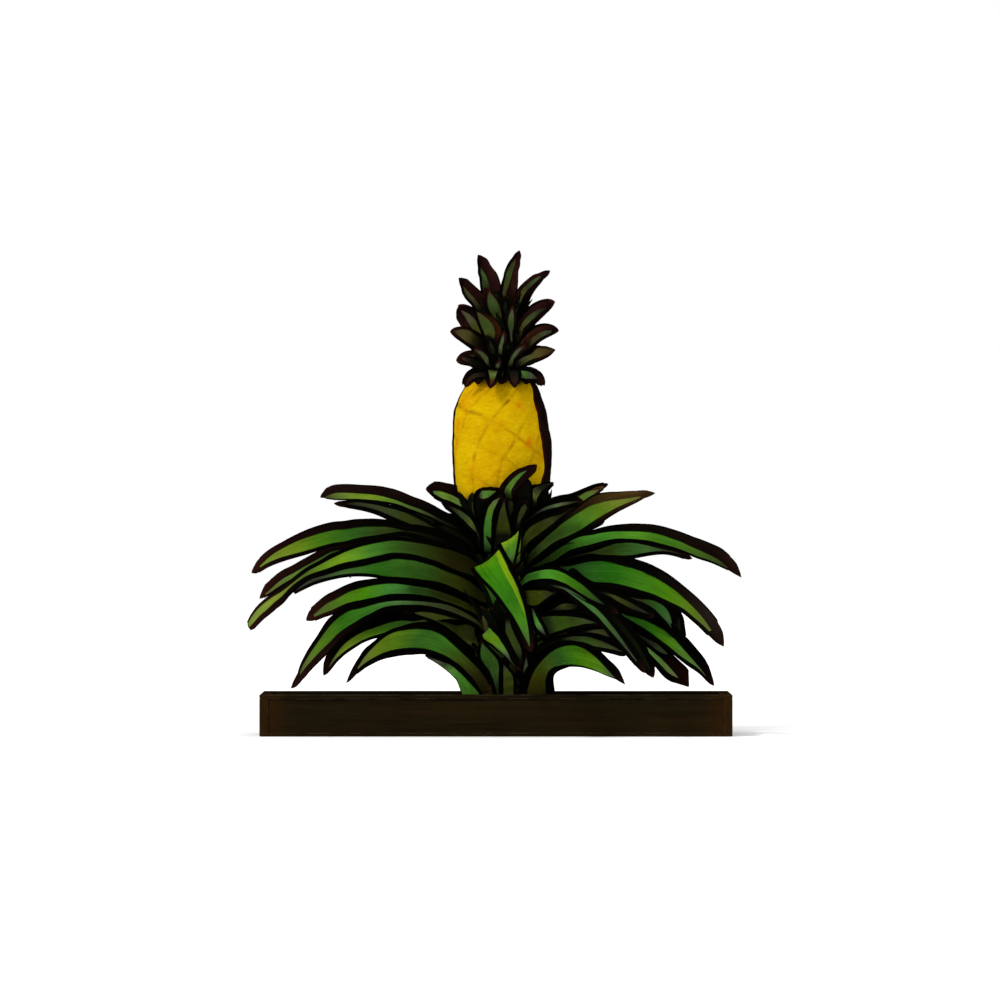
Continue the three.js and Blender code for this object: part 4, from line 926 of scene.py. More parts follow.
        (-136.5, 57.3, 223.2, -138, 49.2, 209.7),
        (-151.5, 63.2, 224.7, -153, 54.2, 209.7),
        (-166.5, 69.2, 224.7, -168, 59.1, 207.9),
        (-181.5, 75.3, 223.2, -183, 64, 204.5),
        (-196.5, 80.8, 220.2, -198, 69.4, 201.3),
        (-211.5, 86, 216.5, -213, 75.1, 198.3),
        (-226.5, 90, 210.5, -225, 80.9, 195.5),
        (-240, 94.1, 203.1, -237, 86.1, 190.2),
        (-253.5, 98.6, 196.2, -249, 90.9, 184.2),
        (-265.5, 101.7, 187.2, -261.8, 96.8, 180),
        (-276, 104.6, 178.2, -274.5, 102.3, 174.6)]),
    dict(name="leaf_left_7", shade_lift=(1.86, 0.73), mu=[4.5, 5.25, 5.25, 7.5, 7.5, 8.25, 9, 6.75, 3.75], ml=[6, 6.75, 8.25, 11.25, 10.5, 12.75, 14.25, 14.25, 13.5, 10.5], ext=27, edge=E_TIPWARM2,
        stops=run((20, 24, 8), (49, 54, 26), (57, 68, 40), (68, 102, 54), (50, 103, 30), (52, 107, 22), (86, 122, 32), (90, 98, 54)), rows=[
        (-15, -7.2, 155.7, -16.5, -9.6, 152),
        (-25.5, -8.9, 167.7, -27, -11.5, 163.7),
        (-39, -10.6, 177.8, -39.8, -14.5, 171.3),
        (-54, -13, 186.2, -54.8, -17.4, 178.8),
        (-69, -15.4, 192.2, -69.8, -20.2, 184.2),
        (-84, -18.2, 195.9, -84, -22.6, 188.7),
        (-99, -21.4, 197.7, -99, -24.7, 192.3),
        (-114, -24.2, 198.8, -114, -27.2, 193.8),
        (-129, -26.7, 199.8, -129, -30, 194.3),
        (-144, -29.3, 200, -144, -32.7, 194.3),
        (-159, -31.7, 199.2, -159, -35.5, 192.9),
        (-174, -33.8, 196.8, -172.5, -38.4, 189.3),
        (-189, -35.4, 193.2, -186, -41.9, 182.7),
        (-204, -37.1, 188.7, -199.5, -45.2, 176),
        (-219, -38.1, 185, -211.5, -49, 168.5),
        (-232.5, -40.2, 177.5, -223.5, -51.3, 161.3),
        (-244.5, -42.5, 167.7, -235.5, -53.3, 152.3),
        (-254.2, -44.9, 155.7, -247.5, -54.8, 140.7),
        (-263.2, -47.7, 142.2, -257.2, -55.3, 131),
        (-273, -50.3, 128.7, -267, -56.1, 121.2),
        (-282, -52.7, 115.2, -276.8, -57, 110.3),
        (-288, -54.6, 104.7, -285, -57.6, 100.8),
        (-292.5, -56.4, 93.8, -291.6, -57.7, 91.8)]),
    dict(name="leaf_left_8", shade_lift=(3.2, 1.13), mu=[9, 9, 12, 15.75, 16.2, 16.5, 14.25], ml=[7.5, 7.5, 7.5, 6.75, 6.75, 7.5, 7.5], ext=16.5, edge=BLACK_EDGE,
        stops=run((12, 14, 10), (14, 16, 10), (26, 28, 22), (50, 67, 32), (50, 89, 24), (76, 116, 22), (105, 130, 34), (62, 62, 48)), rows=[
        (-21, 16.9, 118.2, -21, 15.1, 115.2),
        (-45, 30.5, 149.7, -46.5, 27.7, 145.2),
        (-69, 43.3, 164.7, -70.5, 40.4, 160.2),
        (-91.5, 54.8, 170.7, -93, 52.8, 167.7),
        (-108, 63.6, 170.7, -109.5, 61.6, 167.7),
        (-123, 70.7, 168.2, -123, 69.6, 166.4),
        (-136.5, 79, 169.2, -135.8, 75.4, 163.2),
        (-149.2, 86.8, 168.3, -147.8, 80.7, 158.3),
        (-162, 94.4, 165.5, -160.5, 86.7, 152.7),
        (-177, 102.1, 160.2, -175.5, 94.9, 148.2),
        (-192, 110.1, 155.7, -190.5, 102.8, 143.7),
        (-204, 116.4, 150.5, -202.5, 109.3, 138.8),
        (-216, 122.5, 143.7, -213.8, 115.6, 132.3),
        (-226.5, 127.5, 136.2, -223.5, 121.3, 126.3),
        (-236.2, 131.9, 126.5, -233.2, 127.3, 119.3),
        (-244.5, 135.6, 115.2, -242.2, 132.8, 111),
        (-250.5, 138.6, 105.5, -249.3, 136.7, 102.6),
        (-253.5, 139.9, 98.7, -253.2, 139.1, 97.5)]),
    dict(name="leaf_side_4", shade_lift=(3.2, 1.97), mu=[6, 6, 6, 6], ml=[7.5, 7.5, 7.5, 7.5], ext=21, edge=BLACK_EDGE,
        stops=run((30, 34, 12), (38, 42, 14), (44, 53, 17), (38, 49, 10), (44, 52, 18), (44, 53, 17), (43, 48, 19), (50, 54, 30)), rows=[
        (-21, 16.7, 152.7, -21, -5.8, 115.2),
        (-31.5, 17.3, 158.7, -33, -0.7, 128.7),
        (-45, 19.6, 164.7, -45, 3.4, 137.7),
        (-58.5, 22, 171, -55.5, 6.9, 146),
        (-72, 23.8, 175.5, -67.5, 11.5, 155.4),
        (-85.5, 25.7, 179.3, -79.5, 15.9, 164.1),
        (-99, 28, 182.1, -93, 20.3, 170.7),
        (-111, 30, 183, -106.5, 24.7, 175.5),
        (-121.5, 31.1, 182, -121.5, 30, 180.2)]),
    dict(name="leaf_left_9", shade_lift=(2.6, 0.86), mu=[6, 7.5, 9, 9, 9, 9, 6.75, 7.8, 11.25], ml=[2.25, 2.25, 4.5, 9, 11.25, 10.5, 6.75, 3.75], ext=30.75, edge=BLACK_EDGE,
        stops=run((28, 26, 7), (38, 36, 12), (47, 63, 15), (42, 82, 22), (49, 92, 30), (90, 130, 27), (104, 127, 30), (102, 112, 62)), rows=[
        (-0.8, -14.4, 50.7, -21.8, -19.6, 50.7),
        (-4.5, -16.6, 61.2, -22.5, -21.1, 61.2),
        (-12, -22.9, 77.7, -30, -27.4, 77.7),
        (-24, -33.6, 95.7, -44.2, -38.7, 94.2),
        (-36, -43.5, 108.5, -55.5, -48.4, 105.5),
        (-48, -53.7, 120, -68.2, -58.9, 114.5),
        (-61.5, -64.7, 133.2, -81.8, -70.6, 121.8),
        (-75, -75.8, 146, -96, -82.8, 127.2),
        (-93, -89.3, 155.7, -111, -97, 130.7),
        (-114, -105.1, 158.7, -127.5, -112.7, 131.4),
        (-133.5, -120.2, 158.3, -144, -127.8, 129.9),
        (-153, -135.2, 154.2, -159.8, -142.3, 126.6),
        (-169.5, -148.5, 144.5, -173.2, -154.2, 121.8),
        (-183, -160.3, 131, -186, -164.4, 114.8),
        (-195, -170.3, 117.5, -195.8, -172.7, 107.7),
        (-204.8, -178, 103.5, -202.5, -178.8, 101.4)]),
    dict(name="leaf_left_upper", shade_lift=(2.76, 1.21), mu=[18, 18, 18.75, 17.25, 14.25, 14.25], ml=[9, 9.75, 7.5, 7.5, 9], ext=13.5, edge=E_MAR,
        stops=run((14, 20, 10), (12, 16, 9), (64, 79, 44), (84, 106, 52), (85, 110, 48), (84, 113, 44), (95, 127, 46), (72, 102, 56)), rows=[
        (-18, -13.2, 316.2, -18, -14.5, 311.7),
        (-25.5, -16, 325.2, -25.5, -17.1, 321.8),
        (-36, -19.3, 336.5, -36, -21.5, 329.3),
        (-46.5, -22.7, 346.2, -46.5, -25.7, 336.5),
        (-58.5, -27, 354.5, -58.5, -30.1, 344.3),
        (-70.5, -31.4, 360.5, -70.5, -34.5, 350),
        (-82.5, -35.9, 364.2, -82.5, -38.7, 354.6),
        (-93, -40.6, 364.8, -93, -41.7, 361.2)]),
    dict(name="leaf_right_1", shade_lift=(1.86, 1.8), mu=[6, 6.75, 7.5, 6, 4.5], ml=[6, 6, 4.5, 3.75, 3], ext=9, edge=BLACK_EDGE,
        stops=run((6, 7, 3), (7, 8, 3), (20, 16, 8), (44, 28, 14), (62, 42, 22), (72, 50, 28), (72, 50, 28), (64, 42, 22)), rows=[
        (51, 22, 308.7, 51, 17.2, 296.7),
        (66, 29, 332.7, 66, 24.2, 320.7),
        (81, 36, 345.5, 81, 31.2, 333.5),
        (96, 42.7, 350.7, 96, 38.5, 340.2),
        (111, 50, 353.7, 111, 45.2, 341.7),
        (123, 55.7, 358.2, 123, 50.6, 345.5),
        (136.5, 61.9, 364.2, 136.5, 57.1, 352.2),
        (150, 67.6, 369.9, 150, 63.9, 360.5),
        (162, 72.1, 372.8, 162, 70.6, 369)]),
    dict(name="leaf_side_7", shade_lift=(1.8, 1.72), mu=[2.25, 2.25], ml=[2.25, 2.25], ext=3, edge=E_BRN,
        stops=run((40, 34, 14), (75, 82, 42), (70, 96, 34), (67, 93, 32), (71, 93, 42), (78, 80, 42), (70, 58, 30)), rows=[
        (115.5, 15.3, 351.5, 118.5, 15.3, 350.7),
        (121.8, 17.7, 354.8, 125.4, 17.7, 349.8),
        (127.9, 20.1, 358.4, 132.3, 20.1, 350),
        (133.9, 22.3, 362.1, 138.6, 22.3, 352.2),
        (140.6, 24.5, 364.5, 143.9, 24.5, 356.7),
        (147.5, 26.7, 366.2, 149.2, 26.7, 361.2),
        (154.5, 29, 367.2, 154.5, 29, 365.7)]),
    dict(name="leaf_right_2", shade_lift=(1.96, 0.82), mu=[6, 6, 6, 6, 6.75, 10.5, 15.75, 14.25, 11.25], ml=[6, 6, 6.75, 11.25, 12.75, 8.25, 4.5], ext=24, edge=E_R2,
        stops=run((10, 10, 7), (24, 26, 11), (44, 62, 23), (44, 69, 22), (61, 102, 28), (84, 118, 26), (108, 121, 42), (92, 95, 46)), rows=[
        (24, -2.4, 236.7, 30, -7.2, 229.2),
        (34.5, -5.7, 249.5, 37.5, -8.7, 244.2),
        (42, -7.8, 260, 48.8, -11.7, 256.2),
        (50.2, -9.7, 270.5, 60, -15, 266),
        (60, -12.1, 281, 71.2, -18.3, 275.7),
        (70.5, -14.7, 290.7, 82.5, -21.4, 284.7),
        (82.5, -17.5, 301.2, 94.5, -25.1, 291.8),
        (94.5, -19.8, 311.3, 106.5, -29.2, 296.7),
        (106.5, -22.3, 320.7, 118.5, -33.1, 302.7),
        (118.5, -25.2, 329, 130.5, -36.7, 309.5),
        (130.5, -28.7, 336, 142.5, -39.6, 317.7),
        (144, -32.4, 343.2, 154.5, -42.7, 325.5),
        (159, -37.1, 348, 168, -45.7, 333.3),
        (174, -42, 350.7, 181.5, -48.4, 340.2),
        (189, -46.9, 352.5, 195, -51.2, 346.2),
        (202.5, -51.1, 354.3, 207, -53.8, 351),
        (214.5, -54.8, 356.1, 216, -55.7, 354.9)]),
    dict(name="leaf_right_3", shade_lift=(2.48, 0.95), mu=[4.5, 6, 6, 6, 9.75, 12.75, 13.5, 15, 18, 19.5], ml=[4.5, 4.5, 4.5, 4.5, 4.5, 4.5, 5.25, 3], ext=26.25, edge=E_R3,
        stops=run((14, 18, 8), (33, 48, 14), (39, 77, 18), (47, 96, 28), (64, 111, 26), (57, 107, 24), (62, 90, 27), (46, 46, 26)), rows=[
        (36, -3.3, 235.2, 37.5, -4.9, 232.2),
        (49.5, -1.6, 247.2, 51, -2.8, 245.3),
        (60, 0.5, 254.3, 63, -1.7, 251),
        (70.5, 2.6, 261, 75, -0.7, 256.2),
        (81.8, 5.3, 269.3, 87, -0.1, 259.8),
        (93.8, 7, 277.5, 98.2, 1.5, 267.5),
        (105.8, 8.6, 285, 109.5, 3.1, 274.8),
        (117.8, 11, 292.2, 121.5, 4.1, 279),
        (130.5, 13, 296.7, 133.5, 5.5, 282),
        (144, 14.5, 298.5, 145.5, 7.7, 285),
        (157.5, 16.1, 301.5, 159, 9.8, 288.9),
        (172.5, 17.9, 303.5, 172.5, 12, 291.6),
        (187.5, 19.9, 304.2, 187.5, 14.2, 292.8),
        (202.5, 22.2, 304.2, 202.5, 16.2, 292.2),
        (217.5, 24.3, 303.5, 216, 18.1, 291.3),
        (232.5, 26.6, 302.4, 231, 20, 289.2),
        (247.5, 28.9, 299.4, 246, 21.9, 285.5),
        (262.5, 30.8, 294.6, 261, 24.3, 281.7),
        (277.5, 32.5, 288.8, 276, 26.7, 277.2),
        (292.5, 34.4, 281.7, 291, 29.1, 271.2),
        (307.5, 36.4, 275.3, 306, 31.3, 265.2),
        (322.5, 38.1, 268.2, 321, 33.9, 260),
        (334.5, 39.5, 261.9, 333, 35.8, 254.7),
        (348, 40.3, 250.2, 347.2, 38.9, 247.5)]),
    dict(name="leaf_side_8", shade_lift=(2.4, 2.44), mu=[6, 6.75, 6.75, 6, 5.25], ml=[7.5, 9, 9, 8.25, 8.25, 6.75, 6], ext=15, edge=E_WARM,
        stops=run((7, 9, 4), (16, 20, 12), (43, 49, 19), (42, 61, 19), (47, 80, 32), (59, 92, 42), (49, 54, 38), (14, 14, 7)), rows=[
        (96, 13.4, 260.7, 96, 11.6, 257.7),
        (120, 18.5, 268.2, 120, 16.7, 265.2),
        (144, 23.6, 273.5, 144, 21.8, 270.5),
        (156, 27.6, 277.2, 156, 22.9, 269.4),
        (168, 31.8, 281.7, 168, 23.7, 268.2),
        (180, 35.7, 285.3, 180, 25, 267.5),
        (192, 38.5, 286.2, 192, 27.3, 267.5),
        (207, 41.4, 286.2, 207, 30.8, 268.7),
        (222, 43, 284, 222, 35.5, 271.5),
        (237, 44.5, 280.2, 237, 40.4, 273.5),
        (252, 46.6, 277.2, 252, 44.8, 274.2),
        (267, 49.4, 273.8, 267, 48.3, 271.8),
        (282, 52.5, 268.5, 282, 51.6, 267)]),
    dict(name="leaf_right_4", shade_lift=(0.83, 0.78), mu=[6, 6, 6, 6, 9.75, 15, 15.75, 15, 14.25, 15.75, 18], ml=[7.5, 9, 12, 12, 10.5, 8.25, 7.5, 8.25], ext=32.25, edge=E_R4,
        stops=run((8, 9, 7), (23, 30, 20), (42, 84, 30), (36, 96, 18), (56, 110, 22), (67, 120, 15), (86, 117, 26), (90, 102, 48)), rows=[
        (51, -12.3, 215.7, 52.5, -15.4, 209.7),
        (73.5, -18.4, 238.2, 76.5, -24.5, 226.2),
        (96, -26, 251, 100.5, -32, 239.7),
        (114, -33.5, 252.5, 116.2, -35.4, 249.5),
        (124.5, -34.5, 255.5, 124.5, -40.5, 243.5),
        (135, -35.1, 258, 133.5, -46.3, 235.7),
        (147, -37, 259.2, 144.8, -52, 229.2),
        (162, -41.3, 259.2, 159, -57.1, 227.7),
        (176.2, -46.2, 257, 172.5, -61.3, 227),
        (190.5, -51.1, 252.9, 186, -65.4, 224.7),
        (205.5, -55.8, 248.4, 199.5, -69.9, 220.8),
        (220.5, -60.7, 243.5, 213, -74.3, 217.2),
        (235.5, -66.2, 236.7, 228, -78.6, 213),
        (249.8, -71.4, 228.8, 243, -82.9, 206.7),
        (263.2, -76.4, 219.5, 256.5, -86.7, 200),
        (276, -81.7, 209, 270, -89.9, 193.7),
        (288, -86.5, 197.7, 282, -92.8, 186.6),
        (299.2, -90.7, 186, 293.2, -96, 177.3),
        (309.8, -95, 173.3, 304.5, -98.8, 167.7),
        (320.2, -99.5, 158, 316.5, -101.5, 156.5)]),
    dict(name="leaf_right_5", shade_lift=(1.02, 1.3), mu=[6, 6, 7.5, 9, 10.5, 12.75, 17.25, 21, 19.5], ml=[7.5, 9, 10.5, 10.5, 10.5, 10.5, 9.75], ext=21, edge=BLACK_EDGE,
        stops=run((8, 9, 6), (10, 12, 7), (42, 62, 25), (38, 76, 24), (43, 101, 17), (64, 111, 17), (76, 112, 44), (76, 84, 46)), rows=[
        (96, 32.6, 200.7, 96, 30.8, 197.7),
        (141, 48.9, 194.7, 141, 47.1, 191.7),
        (171, 59.9, 187.2, 171, 58.1, 184.2),
        (186, 65.3, 182, 186, 63.5, 179),
        (198, 69.9, 176.7, 198, 67.7, 173.1),
        (210, 75.6, 173.7, 210, 70.7, 165.6),
        (222, 81.3, 170.7, 222, 73.8, 158.3),
        (234, 86.3, 165.5, 234, 77.4, 150.6),
        (246, 91.6, 159.5, 246, 80.9, 141.6),
        (258, 96.7, 152.7, 258, 84.6, 132.5),
        (267, 99.9, 145.2, 267, 87.9, 125.1),
        (276, 102.7, 136.2, 276, 91.6, 117.8),
        (285, 104.9, 125.7, 285, 96, 111),
        (294, 106.9, 115.2, 294, 100.6, 104.7),
        (303, 108.8, 104.7, 303, 105.2, 98.7),
        (310.5, 110.7, 95.7, 310.5, 108.7, 92.4),
        (317.2, 112.6, 86.7, 317.2, 111.7, 85.2)]),
    dict(name="leaf_side_9", shade_lift=(0.85, 1.27), mu=[7.5, 7.5, 9, 13.5, 19.5, 21], ml=[6, 7.5, 10.5, 12, 10.5], ext=12, edge=BLACK_EDGE,
        stops=run((6, 8, 6), (10, 13, 6), (30, 34, 20), (45, 48, 29), (50, 73, 28), (45, 85, 34), (57, 91, 45), (52, 60, 46)), rows=[
        (156, 56.9, 212.7, 156, 53.9, 206.7),
        (186, 69.9, 208.2, 186, 67.7, 203.7),
        (204, 77.8, 204.5, 204, 75.9, 200.7),
        (217.5, 83.6, 201.5, 217.5, 82, 198.3),
        (231, 90.7, 200.7, 230.2, 86.6, 192.5),
        (243, 96.7, 197, 240.8, 90.6, 185),
        (253.5, 102.1, 191.7, 249.8, 94, 176),
        (261, 105.4, 184.2, 257.2, 97.3, 168.5),
        (266.2, 107, 173, 263.2, 100.8, 161),
        (269.4, 106.3, 157.2, 267.9, 104.9, 155)]),
    dict(name="leaf_right_6", shade_lift=(2.58, 3.2), mu=[7.5, 7.5, 9.75, 12, 15, 18, 19.5], ml=[7.5, 7.5, 9, 9.75, 12], ext=25.5, edge=E_R6, blunt=0.3,
        stops=run((6, 9, 7), (10, 12, 7), (8, 10, 6), (60, 86, 44), (78, 111, 41), (74, 109, 50), (66, 92, 42), (68, 72, 47)), rows=[
        (96, 64.3, 163.2, 96, 62.1, 158.7),
        (141, 97, 158.7, 141, 94.8, 154.2),
        (178.5, 124.3, 151.2, 178.5, 122, 146.7),
        (201, 140.2, 145.2, 201, 138.7, 142.2),
        (216, 151.1, 139.2, 216, 149.6, 136.2),
        (226.5, 158.6, 131.7, 223.5, 155.3, 125.7),
        (237, 165.8, 122.7, 233.2, 162.8, 118.2),
        (246, 172.2, 114.8, 241.5, 168.9, 110),
        (255, 178.7, 106.2, 249.8, 175, 101.1),
        (264, 184.9, 96.5, 258, 181.3, 92.3),
        (271.5, 190.3, 88.2, 266.2, 187.3, 85.5),
        (277.5, 195.1, 80.7, 276.4, 194.3, 79.5)]),
    dict(name="leaf_side_10", shade_lift=(1.71, 3.2), mu=[7.5, 9, 9], ml=[7.5, 7.5, 7.5], ext=9, edge=BLACK_EDGE,
        stops=run((9, 11, 4), (10, 12, 5), (9, 10, 4), (12, 13, 7), (21, 26, 18), (34, 36, 23), (48, 58, 34), (49, 61, 38)), rows=[
        (156, 76, 167.7, 156, 73.7, 163.2),
        (170.4, 84.1, 164.9, 170.3, 82.2, 161.1),
        (184.8, 92.2, 162, 184.7, 90.7, 158.9),
        (198.5, 100.1, 156.7, 198.2, 98.6, 153.9),
        (212.1, 107.8, 151.2, 211.7, 106.4, 148.4),
        (224.8, 115.3, 143.8, 223.2, 113.1, 139.7),
        (237.8, 122.9, 136.9, 234.8, 119.6, 131),
        (250.2, 130.1, 128.9, 246.2, 126.1, 122),
        (260.2, 135.3, 118.2, 259.5, 134.4, 116.7)]),
    dict(name="leaf_right_7", shade_lift=(1.6, 0.66), mu=[7.5, 7.5, 6, 6, 6, 7.5], ml=[6, 6, 6.75, 7.5, 7.5], ext=33, edge=BLACK_EDGE,
        stops=run((30, 40, 18), (51, 100, 34), (55, 109, 32), (56, 109, 26), (62, 118, 22), (60, 110, 24), (48, 80, 28), (39, 44, 34)), rows=[
        (28.5, -24.1, 218.7, 33, -27.1, 212.7),
        (36.8, -30.8, 229, 39.1, -33.3, 223.2),
        (45.4, -38.3, 238.8, 48.9, -42.3, 229.5),
        (57.5, -48.7, 243.9, 60.5, -53.3, 232.7),
        (70.4, -59.7, 246.5, 72.5, -64.8, 234),
        (83.6, -70.8, 247.2, 84.5, -76.4, 233.3),
        (96.4, -81.7, 244, 96, -87.3, 229.9),
        (108.1, -92, 238.2, 106.9, -97.4, 224.8),
        (119.3, -101.7, 231.1, 117, -106.9, 218.2),
        (130.1, -111.3, 223.5, 127.2, -116.2, 211.6),
        (140, -120.9, 214.8, 137.6, -124.8, 205.5),
        (149.9, -131, 206.1, 148.4, -133.4, 200.2),
        (159.8, -141.5, 197.3, 159.8, -142, 195.9)]),
    dict(name="leaf_side_5", shade_lift=(0.85, 0.8), mu=[5.25, 5.25, 4.5, 4.5, 4.5, 5.25, 6.75, 9, 9.75], ml=[7.5, 7.5, 7.5, 6, 6], ext=25.5, edge=BLACK_EDGE,
        stops=run((7, 8, 6), (9, 10, 7), (60, 74, 50), (70, 102, 60), (64, 110, 50), (68, 104, 52), (58, 86, 42), (54, 72, 42), (52, 66, 44), (56, 62, 50)), rows=[
        (63, -63.9, 227, 63, -65.3, 222.5),
        (75.8, -75.4, 226.9, 75.6, -76.7, 222.8),
        (88.3, -86.7, 224.5, 88, -87.8, 221),
        (100.6, -97.9, 221, 100.3, -98.7, 218.2),
        (112.3, -107.6, 216, 110.8, -109.1, 211.3),
        (123.1, -116.9, 209.2, 121, -118.7, 203.8),
        (133.7, -126, 202, 130.8, -128, 196),
        (144, -134.8, 194.4, 140.4, -137.1, 187.8),
        (153.6, -143.4, 185.9, 149.9, -145.6, 179.6),
        (162.3, -151.1, 176.6, 158.3, -153.4, 170.2),
        (170.4, -158.5, 166.8, 166.5, -160.7, 160.6),
        (178.3, -165.8, 156.7, 174.6, -167.8, 151),
        (185.6, -173, 146.2, 182.9, -174.6, 141.4),
        (192.8, -180, 135.6, 190.9, -181.3, 131.8),
        (200, -187.1, 125.1, 199.1, -188, 122.1),
        (207, -194.3, 114.3, 207.6, -194.8, 112.8)]),
    dict(name="leaf_side_1", shade_lift=(3.2, 1.07), mu=[7.5, 9, 9, 7.5], ml=[6, 6, 6], ext=7.5, edge=BLACK_EDGE,
        stops=run((8, 8, 7), (8, 9, 8), (32, 38, 28), (45, 56, 40), (78, 94, 56), (72, 79, 54), (40, 44, 28), (27, 22, 12)), rows=[
        (45, -39.4, 320.7, 51, -39.4, 319.2),
        (53.3, -42.8, 327.4, 58, -42.8, 326.3),
        (61.9, -46.4, 333.8, 65.7, -46.4, 332.3),
        (71.2, -50.5, 339, 74.9, -50.5, 336),
        (81, -54.8, 342.9, 84.5, -54.8, 338.7),
        (91.3, -59.3, 345.8, 94.1, -59.3, 341.2),
        (101.8, -63.7, 347.7, 103.7, -63.7, 343.5),
        (112.4, -68.3, 348.8, 113.4, -68.3, 345.9),
        (123, -72.8, 349.8, 123, -72.8, 348.3)]),
    dict(name="leaf_side_2", shade_lift=(2.03, 1.03), mu=[6, 6.75, 6.75], ml=[6, 6.75, 6], ext=7.5, edge=BLACK_EDGE,
        stops=run((10, 10, 6), (10, 10, 6), (41, 48, 12), (39, 43, 9), (42, 48, 13), (44, 50, 22), (32, 36, 14), (27, 30, 22)), rows=[
        (33, -41.7, 266.7, 37.5, -41.7, 263.7),
        (36.9, -44.1, 279.6, 40.8, -44.1, 275.7),
        (40.4, -47.5, 292.5, 47.3, -47.5, 285.9),
        (46, -52.4, 304.6, 56.3, -52.4, 294.3),
        (55.4, -59, 313.6, 66.4, -59, 301.6),
        (67.2, -66.3, 319.9, 76.2, -66.3, 309.2),
        (79.6, -73.7, 324.9, 85.9, -73.7, 316.9),
        (92.6, -81.3, 328.4, 95.3, -81.3, 325),
        (105, -88.8, 333.5, 105, -88.8, 332.7)]),
    dict(name="leaf_side_3", shade_lift=(3.2, 1.26), mu=[6, 6, 6], ml=[6, 6, 6], ext=6, edge=BLACK_EDGE,
        stops=run((8, 8, 7), (8, 9, 8), (40, 47, 26), (53, 63, 23), (50, 61, 29), (53, 63, 34), (44, 50, 30), (28, 28, 22)), rows=[
        (-21, -40.3, 289.2, -27, -40.3, 281.7),
        (-24.7, -41.7, 297.8, -27.7, -41.7, 291.1),
        (-28.4, -43.2, 306.5, -28.4, -43.2, 300.5),
        (-32.7, -46.8, 314.7, -34.6, -46.8, 307.4),
        (-37.5, -50.6, 322.8, -41.3, -50.6, 314),
        (-44.2, -55.1, 329.1, -47.9, -55.1, 320.7),
        (-51.8, -60, 334.6, -54.8, -60, 327.1),
        (-60.2, -65.2, 338.6, -61.6, -65.2, 333.6),
        (-69, -70.4, 341.7, -68.2, -70.4, 340.2)]),
    dict(name="leaf_front_1", shade_lift=(0.83, 0.76), right=(0.20, run((112, 142, 18), (112, 146, 20), (96, 134, 24)), 0.16, 0.86), mu=[6, 7.5], ml=[6, 7.5], ext=9, edge=BLACK_EDGE,
        stops=run((38, 70, 20), (53, 110, 15), (91, 135, 14), (56, 121, 14), (55, 118, 18), (50, 112, 22), (66, 122, 26), (66, 88, 48)), rows=[
        (0, -36, 185.7, 27, -36, 194.7),
        (-12, -50, 212.8, 22.5, -50, 224.8),
        (-25.5, -74, 236.8, 12.8, -74, 253.3),
        (-30.9, -102, 249.6, 5.2, -102, 276.5),
        (-29.5, -126, 245.9, 10.5, -126, 266.9),
        (-21.7, -152, 236.3, 18.7, -152, 249),
        (-8.9, -176, 223.7, 26.9, -176, 231.9),
        (3.8, -200, 209.7, 34.4, -200, 215.7),
        (17.9, -222, 190.5, 39.7, -222, 198.7),
        (28.3, -240, 175.8, 44.1, -240, 181),
        (38, -256, 157.4, 47.6, -256, 160.4),
        (49.1, -268, 136.1, 49.7, -268, 136.1)]),
    dict(name="leaf_young_1", shade_lift=(1.49, 1.11), mu=[6, 6], ml=[6, 6], ext=7.5, edge=BLACK_EDGE,
        stops=run((20, 30, 14), (70, 108, 20), (103, 134, 18), (117, 144, 38), (98, 130, 22), (61, 108, 26), (60, 98, 38), (30, 44, 22)), rows=[
        (15, -40, 251.7, 36, -40, 260.7),
        (9, -50, 272.7, 36.8, -50, 290.7),
        (7.5, -66, 285.5, 35.2, -66, 305),
        (12, -78, 277.2, 33, -78, 293.7),
        (18, -84, 266.7, 29.7, -84, 275.7),
        (24.6, -88, 256.2, 25.2, -88, 256.2)]),
    dict(name="leaf_front_2", shade_lift=(0.79, 1.06), mu=[6, 6.75], ml=[6, 6.75], ext=7.5, edge=BLACK_EDGE,
        stops=run((10, 14, 8), (78, 115, 20), (87, 122, 30), (76, 116, 34), (83, 120, 15), (79, 118, 42), (67, 74, 60), (30, 34, 28)), rows=[
        (3, -40, 107.7, 18, -40, 118.2),
        (-10.5, -60, 133.4, 7.5, -60, 145.4),
        (-20.2, -92, 150.7, -9.7, -92, 160.7),
        (-17.2, -110, 144.1, 1.5, -110, 149.3),
        (-6, -126, 137.1, 10.5, -126, 136.8),
        (6, -142, 127.2, 17.2, -142, 125.7),
        (18, -156, 117, 22.4, -156, 114.7),
        (29.1, -166, 103.4, 29.6, -166, 103.7)]),
    dict(name="leaf_young_2", shade_lift=(1.1, 1.2), mu=[7.5, 8.25, 9, 9, 8.25, 7.5], ml=[6, 6, 6, 7.5, 10.5, 10.5], ext=19.5, edge=MAR_EDGE,
        stops=run((6, 7, 4), (6, 7, 4), (10, 12, 8), (44, 60, 26), (74, 106, 36), (66, 98, 32), (60, 92, 36), (56, 84, 40)), rows=[
        (15, -46, 332.7, 30, -46, 332.7),
        (13.3, -52.4, 339.6, 27.8, -52.4, 338.8),
        (11.6, -58.7, 346.4, 25.6, -58.7, 344.8),
        (10.9, -65.8, 353.3, 23.8, -65.8, 350.9),
        (11.9, -73.1, 360.3, 23.2, -73.1, 357.2),
        (13.5, -78.7, 367.1, 22.6, -78.7, 363.6),
        (17.1, -83.3, 373.2, 24.9, -83.3, 369.4),
        (21.5, -87.1, 378.6, 28.2, -87.1, 374.8),
        (26.4, -89.8, 383.7, 31.9, -89.8, 380),
        (31.7, -92.4, 388.3, 36, -92.4, 384.9),
        (37.7, -94.2, 392, 40.3, -94.2, 389.6),
        (44.2, -96, 394.5, 45, -96, 393.9)]),
    dict(name="leaf_young_3", shade_lift=(1.62, 1.21), mu=[6, 6], ml=[6, 6], ext=6, edge=BLACK_EDGE,
